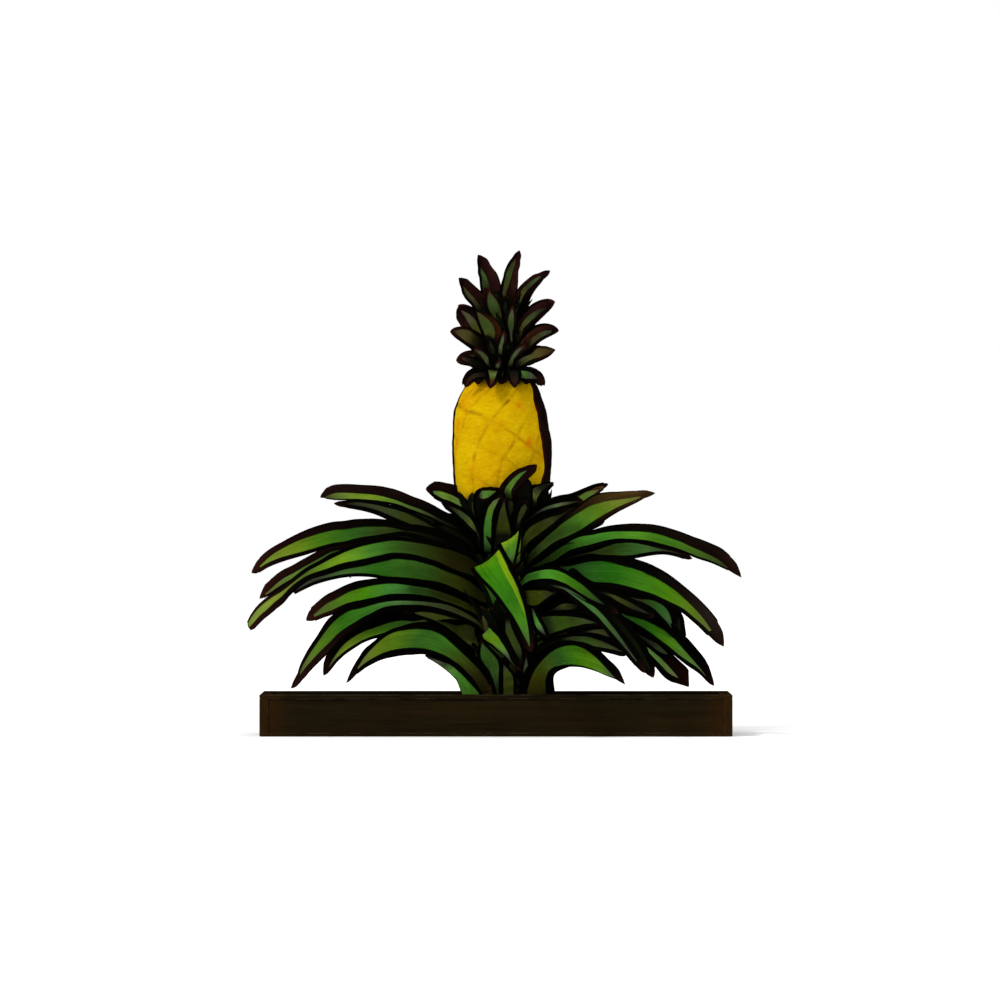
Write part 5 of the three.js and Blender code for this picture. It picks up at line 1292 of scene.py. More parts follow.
        stops=run((9, 14, 8), (50, 79, 36), (50, 93, 32), (52, 96, 31), (59, 104, 37), (79, 112, 30), (86, 105, 50), (63, 67, 46)), rows=[
        (-17.2, -42, 272.7, -6, -42, 272.7),
        (-17.7, -47, 284.1, -6.7, -47, 283.2),
        (-18.1, -52, 295.4, -7.2, -52, 293.7),
        (-18.3, -57, 306.8, -7.2, -57, 304.1),
        (-17.2, -62, 318, -6.8, -62, 314.6),
        (-14.9, -66, 329.1, -6, -66, 325),
        (-11.3, -70, 339.8, -3.7, -70, 335.3),
        (-4.6, -74, 348.9, 0.8, -74, 344.7),
        (5.2, -78, 354.5, 5.5, -78, 354)]),
    dict(name="leaf_upright_1", shade_lift=(1.56, 1.05), mu=[5.25, 5.25], ml=[5.25, 5.25], ext=4.5, edge=BLACK_EDGE,
        stops=run((30, 32, 12), (20, 22, 10), (12, 14, 8), (41, 45, 13), (46, 51, 11), (46, 48, 22), (53, 57, 20), (42, 45, 32)), rows=[
        (-3, -50, 278.7, 25.5, -50, 278.7),
        (-1.8, -56, 287.7, 24.2, -56, 287.6),
        (-0.6, -62, 296.7, 22.9, -62, 296.5),
        (0.6, -67.8, 305.7, 21.5, -67.8, 305.4),
        (1.8, -73, 314.6, 19.6, -73, 314.1),
        (3.6, -78.2, 323.5, 17.5, -78.2, 322.9),
        (5.6, -81.5, 332.3, 15.4, -81.5, 331.6),
        (8.6, -83.8, 340.8, 13.8, -83.8, 340.4),
        (12, -86, 349.2, 12.3, -86, 349.2)]),
    dict(name="leaf_upright_2", shade_lift=(3.2, 1.01), mu=[6, 6], ml=[6, 6], ext=6, edge=BLACK_EDGE,
        stops=run((20, 22, 10), (12, 12, 6), (9, 10, 6), (12, 12, 7), (40, 44, 20), (41, 45, 22), (44, 48, 23), (34, 35, 25)), rows=[
        (27, -46, 296.7, 36, -46, 296.7),
        (28.2, -52.8, 303.3, 36, -52.8, 303.2),
        (29.3, -59.5, 309.8, 36, -59.5, 309.7),
        (30.5, -65.8, 316.3, 36, -65.8, 316.2),
        (31.9, -71, 322.7, 37.7, -71, 322.2),
        (33.3, -76.2, 329.2, 41, -76.2, 327.8),
        (35.5, -79, 335.4, 43.9, -79, 333.6),
        (38.5, -80.5, 341.1, 46.2, -80.5, 339.4),
        (43.5, -82, 345.5, 43.9, -82, 345.5)]),
    dict(name="leaf_young_4", shade_lift=(2.51, 2.5), mu=[4.5, 4.5, 3.75, 2.25], ml=[6, 6.75, 6.75, 4.5], ext=3, edge=BLACK_EDGE,
        stops=run((12, 13, 8), (9, 10, 4), (13, 15, 6), (66, 78, 28), (43, 46, 26), (14, 13, 8), (9, 10, 7), (13, 13, 11)), rows=[
        (52.5, -42, 332.7, 63, -42, 332.7),
        (53.8, -48, 340.8, 61.9, -48, 339.3),
        (55.2, -54, 348.8, 60.8, -54, 345.8),
        (54.6, -59.2, 356.9, 60.8, -59.2, 352.2),
        (53.4, -63, 365, 64.2, -63, 357.9),
        (59.2, -66.8, 370.1, 67.6, -66.8, 363.6),
        (66.6, -68.5, 373.2, 72.8, -68.5, 367.7),
        (74.5, -69.2, 375.2, 77.9, -69.2, 371.9),
        (82.5, -70, 376.8, 82.9, -70, 376.2)]),
    dict(name="leaf_curl_1", shade_lift=(3.2, 1.28), mu=[5.25, 6, 5.25], ml=[5.25, 5.25], ext=4.5, edge=MAR_EDGE,
        stops=run((43, 48, 30), (48, 50, 38), (30, 34, 22), (59, 72, 40), (68, 101, 34), (71, 110, 38), (73, 101, 48), (44, 53, 28)), rows=[
        (10.5, -52, 350.7, -3, -52, 347.7),
        (8.1, -58.8, 355.9, -3.5, -58.8, 351.8),
        (5.6, -65.5, 361.1, -4.1, -65.5, 355.8),
        (1.5, -71.5, 363.9, -5.2, -71.5, 358.6),
        (-4.1, -76, 364.7, -8.7, -76, 356.5),
        (-9.8, -80.5, 365.4, -12.3, -80.5, 354.4),
        (-15.4, -83, 365, -16.2, -83, 353.6),
        (-21.1, -84.5, 364.4, -20.2, -84.5, 353.1),
        (-24.3, -86, 359.7, -24, -86, 354.5)]),
    dict(name="leaf_low_1", shade_lift=(1.22, 1.13), mu=[5.25, 5.25], ml=[5.25, 5.25], ext=6, edge=BLACK_EDGE,
        stops=run((7, 6, 7), (7, 7, 5), (46, 54, 32), (41, 56, 17), (48, 58, 21), (47, 56, 21), (35, 44, 23), (6, 8, 4)), rows=[
        (12, -48, 182.7, 19.5, -48, 182.7),
        (13.2, -57, 173.1, 20.4, -57, 173.3),
        (14.3, -66, 163.5, 22.1, -66, 164),
        (14.5, -74, 153.9, 25.6, -74, 155.2),
        (18.7, -80, 145.3, 29.4, -80, 146.5),
        (22.7, -86, 136.5, 33.8, -86, 138.1),
        (27, -89.5, 127.8, 37.3, -89.5, 129.3),
        (31.9, -91.8, 119.5, 38, -91.8, 120.1),
        (36, -94, 110.7, 36.4, -94, 110.7)]),
    dict(name="leaf_front_3", shade_lift=(2.11, 2.24), mu=[6, 6], ml=[6, 6], ext=7.5, edge=BLACK_EDGE,
        stops=run((20, 22, 12), (20, 22, 13), (27, 30, 20), (59, 83, 52), (59, 112, 36), (73, 118, 52), (57, 70, 52), (22, 23, 19)), rows=[
        (49.5, -46, 200.7, 54, -46, 202.2),
        (51.4, -61.8, 193.7, 55.1, -61.8, 195.4),
        (53.3, -77.5, 186.8, 56.3, -77.5, 188.5),
        (55, -92.2, 179.7, 58.2, -92.2, 181.9),
        (56.6, -105, 172.6, 61.3, -105, 175.7),
        (58.6, -117.8, 165.7, 64.8, -117.8, 169.7),
        (62, -128, 159.5, 68.2, -128, 163.6),
        (67.4, -137, 154.8, 71.3, -137, 157.4),
        (73.5, -146, 150.8, 73.9, -146, 150.9)]),
    dict(name="leaf_front_4", shade_lift=(2.21, 1.75), mu=[6, 6], ml=[6, 6], ext=6, edge=BLACK_EDGE,
        stops=run((24, 25, 18), (18, 24, 12), (33, 52, 22), (42, 68, 27), (42, 68, 22), (42, 70, 24), (42, 72, 22), (46, 56, 36)), rows=[
        (2.2, -44, 56.7, 4.5, -44, 56.7),
        (-0.2, -47, 67.3, 4.1, -47, 68.1),
        (-2.7, -50, 77.9, 3.8, -50, 79.4),
        (-6.4, -54, 88.1, 3.8, -54, 90.7),
        (-11, -58, 97.9, 4.5, -58, 102),
        (-17.4, -64, 106.6, 2.2, -64, 112.5),
        (-22.5, -70, 116.2, -4.8, -70, 121.3),
        (-22.8, -74, 127, -12.5, -74, 129.6),
        (-21, -78, 137.7, -20.4, -78, 137.7)]),
    dict(name="leaf_low_2", shade_lift=(1.69, 2.98), mu=[4.5, 4.5], ml=[4.5, 4.5], ext=6, edge=BLACK_EDGE,
        stops=run((24, 24, 10), (47, 52, 18), (40, 48, 12), (46, 55, 13), (40, 47, 13), (45, 56, 14), (50, 56, 30), (24, 27, 20)), rows=[
        (11.2, -46, 52.2, 26.2, -46, 52.2),
        (11.2, -47, 58.9, 26.1, -47, 59.5),
        (11.2, -48, 65.6, 26, -48, 66.7),
        (11.1, -49, 72.2, 26.1, -49, 74),
        (11, -50, 78.9, 26.1, -50, 81.2),
        (11, -51.5, 85.5, 24.5, -51.5, 88.2),
        (11, -53, 92.2, 20.9, -53, 94.3),
        (11, -54.5, 98.8, 16.3, -54.5, 99.9),
        (11.1, -56, 105.5, 11.7, -56, 105.5)]),
    dict(name="leaf_low_3", shade_lift=(3.2, 3.2), mu=[5.25, 5.25], ml=[5.25, 5.25], ext=6, edge=BLACK_EDGE,
        stops=run((6, 7, 6), (5, 8, 5), (6, 10, 5), (7, 11, 5), (36, 43, 27), (45, 52, 36), (36, 41, 33), (15, 16, 16)), rows=[
        (40.5, -42, 65.7, 45, -42, 65.7),
        (40.3, -43.5, 72.3, 44.9, -43.5, 72.3),
        (40, -45, 78.8, 44.8, -45, 78.8),
        (40, -46.5, 85.3, 45.2, -46.5, 85.3),
        (40.3, -48, 91.8, 46.2, -48, 91.7),
        (41, -50, 98.3, 47.1, -50, 98.2),
        (42.3, -52, 104.7, 47.3, -52, 104.7),
        (43.6, -54, 111.1, 46.7, -54, 111.1),
        (45, -56, 117.5, 45.3, -56, 117.5)]),
    dict(name="leaf_low_4", shade_lift=(2.22, 2.22), mu=[5.25, 5.25], ml=[5.25, 5.25], ext=6, edge=BLACK_EDGE,
        stops=run((20, 24, 16), (6, 8, 5), (8, 9, 5), (17, 18, 13), (42, 51, 23), (38, 49, 14), (54, 59, 34), (30, 33, 24)), rows=[
        (62.2, -40, 107.7, 67.5, -40, 107.7),
        (62.5, -42.5, 112.9, 67.2, -42.5, 113.5),
        (62.8, -45, 118.1, 66.8, -45, 119.2),
        (63, -47.5, 123.2, 67.3, -47.5, 124.8),
        (62.6, -50, 128.4, 69.3, -50, 130.1),
        (62.3, -52.5, 133.5, 71.2, -52.5, 135.5),
        (62, -55, 138.7, 69.8, -55, 140.3),
        (61.9, -57.5, 143.8, 66.1, -57.5, 144.6),
        (61.8, -60, 149, 62.4, -60, 149)]),
    dict(name="leaf_right_8", shade_lift=(2.27, 1.04), mu=[12, 13.5, 10.5, 8.25, 9.75, 15, 17.25], ml=[14.25, 14.25, 9, 3.75, 2.25, 0.75, 1.2], ext=20.25, edge=BLACK_EDGE,
        stops=run((32, 31, 12), (46, 47, 6), (46, 61, 15), (40, 76, 26), (56, 107, 16), (71, 114, 14), (70, 107, 27), (50, 55, 44)), rows=[
        (45, -45.7, 55.2, 75.8, -45.7, 55.2),
        (46.8, -45.9, 66.5, 74.8, -45.9, 63.8),
        (49.9, -46.7, 77.6, 74.3, -46.7, 72.3),
        (53.6, -47.6, 88.4, 74, -47.6, 80.9),
        (58.9, -49.6, 98.5, 75.7, -49.6, 89.3),
        (65.6, -52.7, 107.7, 79.6, -52.7, 96.4),
        (73.4, -56.9, 116.1, 86.5, -56.9, 101.3),
        (82.2, -61.9, 123.4, 94.7, -61.9, 103.7),
        (91.9, -67.1, 129.4, 103.2, -67.1, 104.9),
        (102.5, -72.6, 133.5, 111.7, -72.6, 105.7),
        (113.8, -78.4, 134.8, 120.2, -78.4, 105.1),
        (125, -84, 132.3, 128.7, -84, 103.9),
        (135, -89.3, 126.9, 136.9, -89.3, 101.5),
        (144.3, -94.3, 120.3, 145, -94.3, 98.6),
        (152.6, -99, 112.4, 152.9, -99, 95.3),
        (160.5, -103.6, 104.1, 160.8, -103.6, 92),
        (168.2, -108.1, 95.6, 168.8, -108.1, 89),
        (176.2, -112.8, 87.5, 177, -112.8, 86.4)]),
    dict(name="leaf_lens_1", shade_lift=(1.84, 1.15), mu=[6, 6], ml=[6, 6], ext=7.5, edge=BLACK_EDGE,
        stops=run((6, 9, 4), (8, 8, 5), (45, 52, 10), (46, 54, 8), (49, 57, 13), (46, 52, 18), (44, 47, 26), (34, 36, 24)), rows=[
        (36, -51.1, 215.7, 37.5, -51.1, 196.2),
        (42.2, -58.9, 215.9, 44.3, -58.9, 195.5),
        (48.5, -66.6, 216.1, 51.1, -66.6, 194.7),
        (54.7, -74.4, 216.3, 57.9, -74.4, 193.4),
        (61, -81.5, 216.4, 63.7, -81.5, 195.9),
        (67.2, -88.5, 216.5, 69, -88.5, 200.1),
        (73.4, -95.4, 216.3, 74.4, -95.4, 204.4),
        (79.5, -102.3, 214.7, 79.9, -102.3, 208.4),
        (85.5, -109.2, 213, 85.5, -109.2, 212.4)]),
    dict(name="leaf_lens_2", shade_lift=(3.1, 1.88), mu=[6.75, 9, 9], ml=[6, 7.5, 7.5], ext=10.5, edge=BLACK_EDGE,
        stops=run((6, 9, 4), (7, 9, 3), (20, 24, 16), (35, 38, 21), (42, 46, 18), (33, 36, 14), (25, 27, 13), (11, 11, 6)), rows=[
        (73.5, -64.9, 184.2, 73.5, -64.9, 179.7),
        (79.3, -69, 186.3, 79.1, -69, 182.5),
        (85, -73.1, 188.7, 84.7, -73.1, 185.3),
        (90.2, -77.2, 192.1, 90.8, -77.2, 186.4),
        (95.5, -81.4, 195.2, 97, -81.4, 187),
        (101.6, -85.9, 196.5, 103.3, -85.9, 187.2),
        (107.7, -90.4, 196.9, 109.5, -90.4, 187.5),
        (113.8, -94.8, 196.2, 115.6, -94.8, 189),
        (120, -99.2, 195.5, 121.5, -99.2, 191)]),
    dict(name="leaf_lens_3", shade_lift=(1.53, 0.96), mu=[6, 6], ml=[6, 6], ext=9, edge=BLACK_EDGE,
        stops=run((20, 30, 16), (26, 34, 16), (43, 62, 17), (40, 62, 13), (45, 60, 20), (48, 64, 27), (50, 60, 32), (34, 40, 30)), rows=[
        (60, -67.8, 176.7, 72, -67.8, 149.7),
        (71.2, -76.5, 177.5, 81.6, -76.5, 152.1),
        (82.4, -85.2, 178.1, 90.9, -85.2, 155.3),
        (93.6, -93.8, 178.4, 100.3, -93.8, 158.5),
        (104.8, -102.4, 178.3, 109.8, -102.4, 161.4),
        (115.9, -111.1, 177.4, 119.3, -111.1, 164),
        (126.9, -119.8, 175.6, 128.8, -119.8, 166.5),
        (137.7, -128.4, 172.7, 138.7, -128.4, 167.6),
        (148.5, -137.1, 169.5, 148.5, -137.1, 168.6)]),
    dict(name="leaf_lens_4", shade_lift=(3.2, 3.2), mu=[5.25, 5.25], ml=[5.25, 5.25], ext=6, edge=BLACK_EDGE,
        stops=run((8, 9, 7), (8, 9, 8), (12, 12, 9), (36, 37, 26), (45, 47, 30), (44, 49, 20), (40, 42, 26), (21, 23, 14)), rows=[
        (120, -78.5, 152.7, 121.5, -78.5, 148.2),
        (126.7, -82.2, 154.4, 127.4, -82.2, 150.3),
        (133.4, -85.8, 156, 133.3, -85.8, 152.3),
        (140.2, -89.5, 157, 139.3, -89.5, 153.8),
        (147, -93.2, 157.9, 145.5, -93.2, 153.1),
        (153.9, -97, 158.3, 151.7, -97, 152.4),
        (160.7, -100.7, 158.1, 157.6, -100.7, 150.5),
        (165.5, -103.8, 153.2, 163.5, -103.8, 148.4),
        (170.2, -106.9, 148.2, 169.5, -106.9, 146.7)]),
    dict(name="leaf_lens_5", shade_lift=(1.62, 1.14), mu=[6, 6], ml=[6.75, 6.75], ext=12, edge=BLACK_EDGE,
        stops=run((8, 7, 6), (8, 9, 6), (39, 47, 25), (44, 62, 28), (41, 61, 20), (46, 55, 26), (47, 55, 29), (37, 39, 30)), rows=[
        (81, -67.6, 139.2, 84, -67.6, 134.7),
        (94, -76, 144, 95.9, -76, 140.6),
        (107.5, -84.8, 146.8, 108.6, -84.8, 142),
        (121.2, -93.9, 148, 121.7, -93.9, 140.5),
        (135, -102.9, 147.9, 134.8, -102.9, 138.3),
        (148.4, -111.6, 144.5, 147.1, -111.6, 133.5),
        (161.4, -120.4, 139.7, 160.2, -120.4, 131.7),
        (173.8, -129, 133.8, 173.2, -129, 129),
        (186, -137.4, 127.2, 186, -137.4, 125.7)]),
    dict(name="leaf_lens_6", shade_lift=(1.09, 1.19), mu=[7.5, 7.5], ml=[7.5, 7.5], ext=9, edge=BLACK_EDGE,
        stops=run((6, 9, 8), (18, 22, 17), (50, 58, 23), (47, 51, 22), (41, 46, 17), (32, 34, 18), (32, 33, 26), (21, 21, 17)), rows=[
        (150, -81.6, 215.7, 151.5, -81.6, 212.7),
        (160.5, -85.3, 213.8, 161.6, -85.3, 210),
        (170.9, -89, 211.1, 171.2, -89, 206.3),
        (181, -92.4, 207.5, 180, -92.4, 200.8),
        (190.7, -95.9, 203.1, 189.1, -95.9, 195.7),
        (200.4, -99.3, 198.5, 198.4, -99.3, 191),
        (209.6, -102.8, 193.1, 208.2, -102.8, 187.3),
        (218.9, -106.2, 187.6, 218, -106.2, 184),
        (228, -109.7, 182, 228, -109.7, 180.9)]),
    dict(name="leaf_left_10", shade_lift=(2.39, 2.74), mu=[6, 6], ml=[1.2, 1.2, 1.2], ext=6, edge=BLACK_EDGE,
        stops=run((24, 26, 12), (55, 93, 30), (56, 102, 28), (56, 104, 33), (70, 108, 46), (40, 54, 28), (60, 62, 52), (25, 25, 22)), rows=[
        (-22.5, -27.9, 47.7, -49.5, -27.9, 47.7),
        (-24.7, -28.8, 58.7, -50.6, -28.8, 56.7),
        (-30.3, -30.5, 67.8, -52.2, -30.5, 65.5),
        (-38, -33, 75.8, -54.9, -33, 74),
        (-45.7, -35.8, 83.9, -58.5, -35.8, 82.2),
        (-53.3, -39.2, 92, -64.6, -39.2, 88.8),
        (-61.6, -42.7, 99.4, -71.1, -42.7, 95),
        (-70.5, -46.6, 105.8, -78.1, -46.6, 100.6),
        (-81.1, -51, 109.4, -85.3, -51, 105.9),
        (-91.5, -55.4, 113.2, -92.9, -55.4, 110.7),
        (-102, -59.8, 117, -100.5, -59.8, 115.5)]),
    # leaf_fill leaves: near-black sheets set in the gaps behind the leaves, painted shade between the leaves
    dict(name="leaf_fill_1", shade_lift=(1.2, 1.2), mu=[7.8], ml=[7.8], ext=12, edge=BLACK_EDGE,
        stops=run((10, 11, 6), (14, 16, 8), (20, 24, 10), (24, 30, 13), (20, 24, 12)), rows=[
        (-18, 19.4, 254.7, -24, 15.2, 248.8),
        (-28.2, 25.3, 265.2, -34.2, 21.1, 259.4),
        (-38.4, 31.2, 275.8, -44.4, 27, 270),
        (-48.7, 37, 286.3, -54.5, 32.9, 280.6),
        (-59.3, 42.9, 297, -64.4, 38.9, 291),
        (-71.6, 49.7, 305.6, -76, 45.9, 299.5),
        (-83.6, 56.4, 314, -87.7, 52.9, 308.3),
        (-96, 63.1, 322.5, -99.2, 60, 317),
        (-110, 70.7, 328.1, -112.1, 67.9, 323),
        (-123.9, 78.3, 333.2, -125.4, 76, 328.9),
        (-138.3, 86.2, 336.8, -139.2, 84.4, 333.5),
        (-152.7, 94.1, 339.8, -153.3, 93, 337.7)]),
    dict(name="leaf_fill_2", shade_lift=(1.2, 0.6), mu=[5.85], ml=[5.85], ext=9, edge=BLACK_EDGE,
        stops=run((10, 11, 6), (14, 16, 8), (20, 24, 10), (24, 30, 13), (20, 24, 12)), rows=[
        (-19.3, 21.8, 143.4, -22.7, 18.7, 138.1),
        (-32.5, 30.7, 151.6, -35.8, 27.5, 146.3),
        (-45.6, 39.5, 159.8, -48.9, 36.4, 154.5),
        (-58.9, 48.3, 168.1, -61.9, 45.3, 162.7),
        (-73.1, 57.6, 174.9, -75.2, 54.6, 169.4),
        (-88.4, 67.6, 178.8, -89.9, 64.8, 173.4),
        (-103.5, 77.6, 182.7, -104.7, 75, 177.5),
        (-119, 87.7, 185.4, -119.5, 85.3, 180.6),
        (-134.7, 98, 185.8, -134.8, 95.9, 181.6),
        (-150.4, 108.2, 185.1, -149.9, 106.5, 181.7),
        (-165.4, 118, 180.6, -164.7, 116.8, 178.1),
        (-180.2, 127.9, 176, -179.8, 127.1, 174.5)]),
    dict(name="leaf_fill_3", shade_lift=(1.2, 1.2), mu=[7.8], ml=[7.8], ext=12, edge=BLACK_EDGE,
        stops=run((10, 11, 6), (14, 16, 8), (20, 24, 10), (24, 30, 13), (20, 24, 12)), rows=[
        (-10.2, 16.2, 89.3, -16.8, 12, 84.2),
        (-16.6, 20.2, 97.6, -23.2, 16, 92.5),
        (-23, 24.1, 105.9, -29.6, 20, 100.8),
        (-29.5, 28.1, 114.2, -35.9, 24, 109.2),
        (-36, 32, 122.5, -42.2, 28.1, 117.5),
        (-43.1, 36.2, 130.6, -48.6, 32.4, 125.4),
        (-51.1, 40.8, 137.8, -55.9, 37.3, 132.7),
        (-58.9, 45.4, 144.7, -63.3, 42.2, 140.1),
        (-66.9, 49.9, 151.8, -70.5, 47.2, 147.5),
        (-75.8, 54.9, 157.8, -78.2, 52.6, 153.9),
        (-85.8, 60.5, 161.9, -87.2, 58.8, 158.8),
        (-95.6, 66.1, 165.7, -96.4, 65.1, 163.8)]),
    dict(name="leaf_fill_4", shade_lift=(1.2, 1.2), mu=[6.82], ml=[6.82], ext=10.5, edge=BLACK_EDGE,
        stops=run((10, 11, 6), (14, 16, 8), (20, 24, 10), (24, 30, 13), (20, 24, 12)), rows=[
        (-6.1, 16.9, 47, -11.9, 13.3, 42.4),
        (-9.8, 20, 51.7, -15.6, 16.4, 47.1),
        (-13.6, 23.1, 56.3, -19.2, 19.5, 51.7),
        (-17.3, 26.2, 60.8, -22.9, 22.6, 56.4),
        (-21.1, 29.2, 65.4, -26.5, 25.8, 61.1),
        (-24.9, 32.3, 69.9, -30.1, 29, 65.8),
        (-28.8, 35.3, 74.4, -33.6, 32.2, 70.6),
        (-32.7, 38.2, 78.8, -37.1, 35.4, 75.4),
        (-36.6, 41.1, 83.3, -40.4, 38.7, 80.3),
        (-40.6, 44, 87.7, -43.8, 41.9, 85.2),
        (-44.7, 46.8, 92, -47, 45.3, 90.2),
        (-48.8, 49.5, 96.3, -50.2, 48.6, 95.2)]),
    dict(name="leaf_fill_5", shade_lift=(1.17, 1.2), mu=[6.82], ml=[6.82], ext=10.5, edge=BLACK_EDGE,
        stops=run((10, 11, 6), (14, 16, 8), (20, 24, 10), (24, 30, 13), (20, 24, 12)), rows=[
        (33.6, 24.5, 286, 38.4, 20.8, 280.5),
        (42.2, 31.7, 293.7, 47.1, 28.1, 288.2),
        (50.9, 39, 301.4, 55.7, 35.3, 296),
        (59.5, 46.2, 309, 64.3, 42.6, 303.7),
        (68.3, 53.4, 316.7, 72.8, 49.9, 311.5),
        (77.6, 60.7, 324.2, 81.2, 57.5, 318.7),
        (88.4, 69.3, 329.4, 91.2, 66.3, 323.9),
        (98.9, 77.9, 334.3, 101.4, 75.1, 329.3),
        (109.6, 86.4, 339.3, 111.4, 84, 334.7),
        (121.1, 95.5, 342.1, 122.2, 93.5, 338.2),
        (132.4, 104.7, 344.6, 133.2, 103.2, 341.7),
        (143.8, 113.7, 347.1, 144.2, 112.8, 345.4)]),
    dict(name="leaf_fill_6", shade_lift=(1.2, 1.2), mu=[6.82], ml=[6.82], ext=10.5, edge=BLACK_EDGE,
        stops=run((10, 11, 6), (14, 16, 8), (20, 24, 10), (24, 30, 13), (20, 24, 12)), rows=[
        (46.3, 30.2, 246, 49.7, 26.5, 239.5),
        (58, 38.6, 252, 61.3, 35, 245.5),
        (69.6, 47.1, 257.9, 73, 43.4, 251.5),
        (81.3, 55.5, 263.9, 84.6, 51.9, 257.5),
        (93.1, 63.9, 269.8, 96.1, 60.5, 263.6),
        (105.4, 72.5, 275.2, 107.6, 69.2, 269),
        (118.3, 81.5, 278.5, 119.9, 78.5, 272.5),
        (131, 90.6, 281.6, 132.5, 87.8, 276.3),
        (143.8, 99.6, 284.7, 145, 97.1, 280),
        (156.7, 108.6, 287.3, 157.5, 106.6, 283.4),
        (169.8, 117.8, 288.8, 170.3, 116.3, 285.8),
        (182.9, 126.9, 290.2, 183.1, 126, 288.3)]),
    dict(name="leaf_fill_7", shade_lift=(1.2, 1.2), mu=[8.78], ml=[8.78], ext=13.5, edge=BLACK_EDGE,
        stops=run((10, 11, 6), (14, 16, 8), (20, 24, 10), (24, 30, 13), (20, 24, 12)), rows=[
        (41.3, 29.3, 162.9, 45.7, 24.6, 154.6),
        (53, 38.5, 169.2, 57.5, 33.8, 160.8),
        (64.8, 47.6, 175.4, 69.2, 43, 167.1),
        (76.7, 56.8, 181.6, 80.7, 52.2, 173.4),
        (89.7, 66.1, 187.2, 91.7, 61.6, 178.5),
        (103.8, 76.3, 187.5, 104.1, 72.1, 179.1),
        (117.2, 86.6, 187.8, 117.3, 82.6, 179.9),
        (131.1, 96.7, 187.2, 129.8, 93.1, 180.2),
        (144, 106.1, 181.8, 141.7, 103, 175.9),
        (156.5, 115.6, 176.3, 154.1, 113, 171.8),
        (167.3, 123.8, 168.1, 165.1, 121.8, 164.9),
        (177.7, 131.8, 159.7, 176.3, 130.7, 157.8)]),
    dict(name="leaf_fill_8", shade_lift=(0.5, 0.5), mu=[6.82], ml=[6.82], ext=10.5, edge=BLACK_EDGE,
        stops=run((10, 11, 6), (14, 16, 8), (20, 24, 10), (24, 30, 13), (20, 24, 12)), rows=[
        (73.4, 42.1, 201.4, 73.6, 38.5, 194.1),
        (88.9, 51.8, 201.7, 89.1, 48.1, 194.4),
        (104.4, 61.5, 201.9, 104.5, 57.8, 194.7),
        (119.9, 71.1, 202.2, 120, 67.5, 195),
        (135.4, 80.7, 202.3, 135.5, 77.3, 195.4),
        (151.1, 90.3, 202.4, 150.8, 87, 195.9),
        (166.7, 99.8, 200.4, 165.8, 96.7, 194.3),
        (182, 109.1, 197.2, 180.9, 106.4, 191.7),
        (197.2, 118.5, 194, 196.1, 116.1, 189.3),
        (212.1, 127.5, 189, 210.7, 125.5, 185.3),
        (226.3, 136.2, 182.6, 225.1, 134.7, 179.8),
        (240.4, 144.8, 176.1, 239.6, 143.9, 174.4)]),
    dict(name="leaf_fill_9", shade_lift=(1.18, 0.67), mu=[7.8], ml=[7.8], ext=12, edge=BLACK_EDGE,
        stops=run((10, 11, 6), (14, 16, 8), (20, 24, 10), (24, 30, 13), (20, 24, 12)), rows=[
        (71.6, 56.2, 111.5, 75.4, 52, 104),
        (82.7, 65.5, 117, 86.5, 61.3, 109.5),
        (93.8, 74.8, 122.5, 97.5, 70.6, 115.1),
        (104.9, 84.1, 128, 108.6, 80, 120.7),
        (116.1, 93.3, 133.4, 119.6, 89.3, 126.4),
        (127.7, 102.5, 139, 130.1, 98.7, 131.9),
        (140.4, 112.3, 141.2, 141.1, 108.8, 134.3),
        (153.1, 122.5, 140.9, 153.1, 119.4, 134.6),
        (165.5, 132.7, 140.5, 165.5, 129.9, 135),
        (178.5, 142.9, 140, 177.4, 140.6, 135.5),
        (189.6, 151.7, 133.4, 187.9, 150, 130.4),
        (200, 160.4, 126.7, 199, 159.3, 124.8)]),
    dict(name="leaf_fill_10", shade_lift=(1.12, 1.12), mu=[6.82], ml=[6.82], ext=10.5, edge=BLACK_EDGE,
        stops=run((10, 11, 6), (14, 16, 8), (20, 24, 10), (24, 30, 13), (20, 24, 12)), rows=[
        (171.8, 84.4, 219.3, 170.2, 80.7, 212.1),
        (184.7, 91, 216.6, 183.2, 87.3, 209.4),
        (197.7, 97.6, 213.9, 196.2, 93.9, 206.7),
        (210.6, 104.2, 211.1, 209.1, 100.5, 204),
        (223.8, 110.8, 208.3, 221.9, 107.1, 201.3),
        (236.6, 117.1, 203.9, 234, 113.5, 197.3),
        (248.9, 123.3, 198.6, 246.1, 119.8, 192.2),
        (261.6, 129.4, 193, 257.7, 126, 187.3),
        (271.6, 134.1, 182.8, 266.4, 130.8, 178.7),
        (278.4, 137.4, 171, 272.4, 134.1, 168.8),
        (280.6, 138.4, 157.3, 274.5, 135.3, 156.3),
        (282.6, 139.4, 144.2, 276.9, 136.5, 143.3)]),
    dict(name="leaf_fill_11", shade_lift=(0.6, 0.6), mu=[8.78], ml=[8.78], ext=13.5, edge=BLACK_EDGE,
        stops=run((10, 11, 6), (14, 16, 8), (20, 24, 10), (24, 30, 13), (20, 24, 12)), rows=[
        (141.2, -66.2, 213.2, 134.8, -71, 206.3),
        (150.8, -71.3, 204.3, 144.4, -76.1, 197.4),
        (160.4, -76.5, 195.4, 154.1, -81.2, 188.5),
        (170, -81.6, 186.4, 163.7, -86.3, 179.6),
        (179.8, -86.8, 177.3, 173.2, -91.3, 170.9),
        (188.4, -91.4, 167, 181.6, -95.8, 161.3),
        (196.6, -95.8, 156.7, 189.9, -100.1, 151.3),
        (204.7, -100.3, 146.4, 198.3, -104.4, 141.2),
        (213, -104.8, 135.7, 206.5, -108.7, 131.4),
        (219, -108.2, 123.7, 212.7, -111.8, 120.3),
        (224.8, -111.6, 111.9, 219.1, -114.8, 108.9),
        (230.5, -115, 100.1, 225.5, -117.9, 97.4)]),
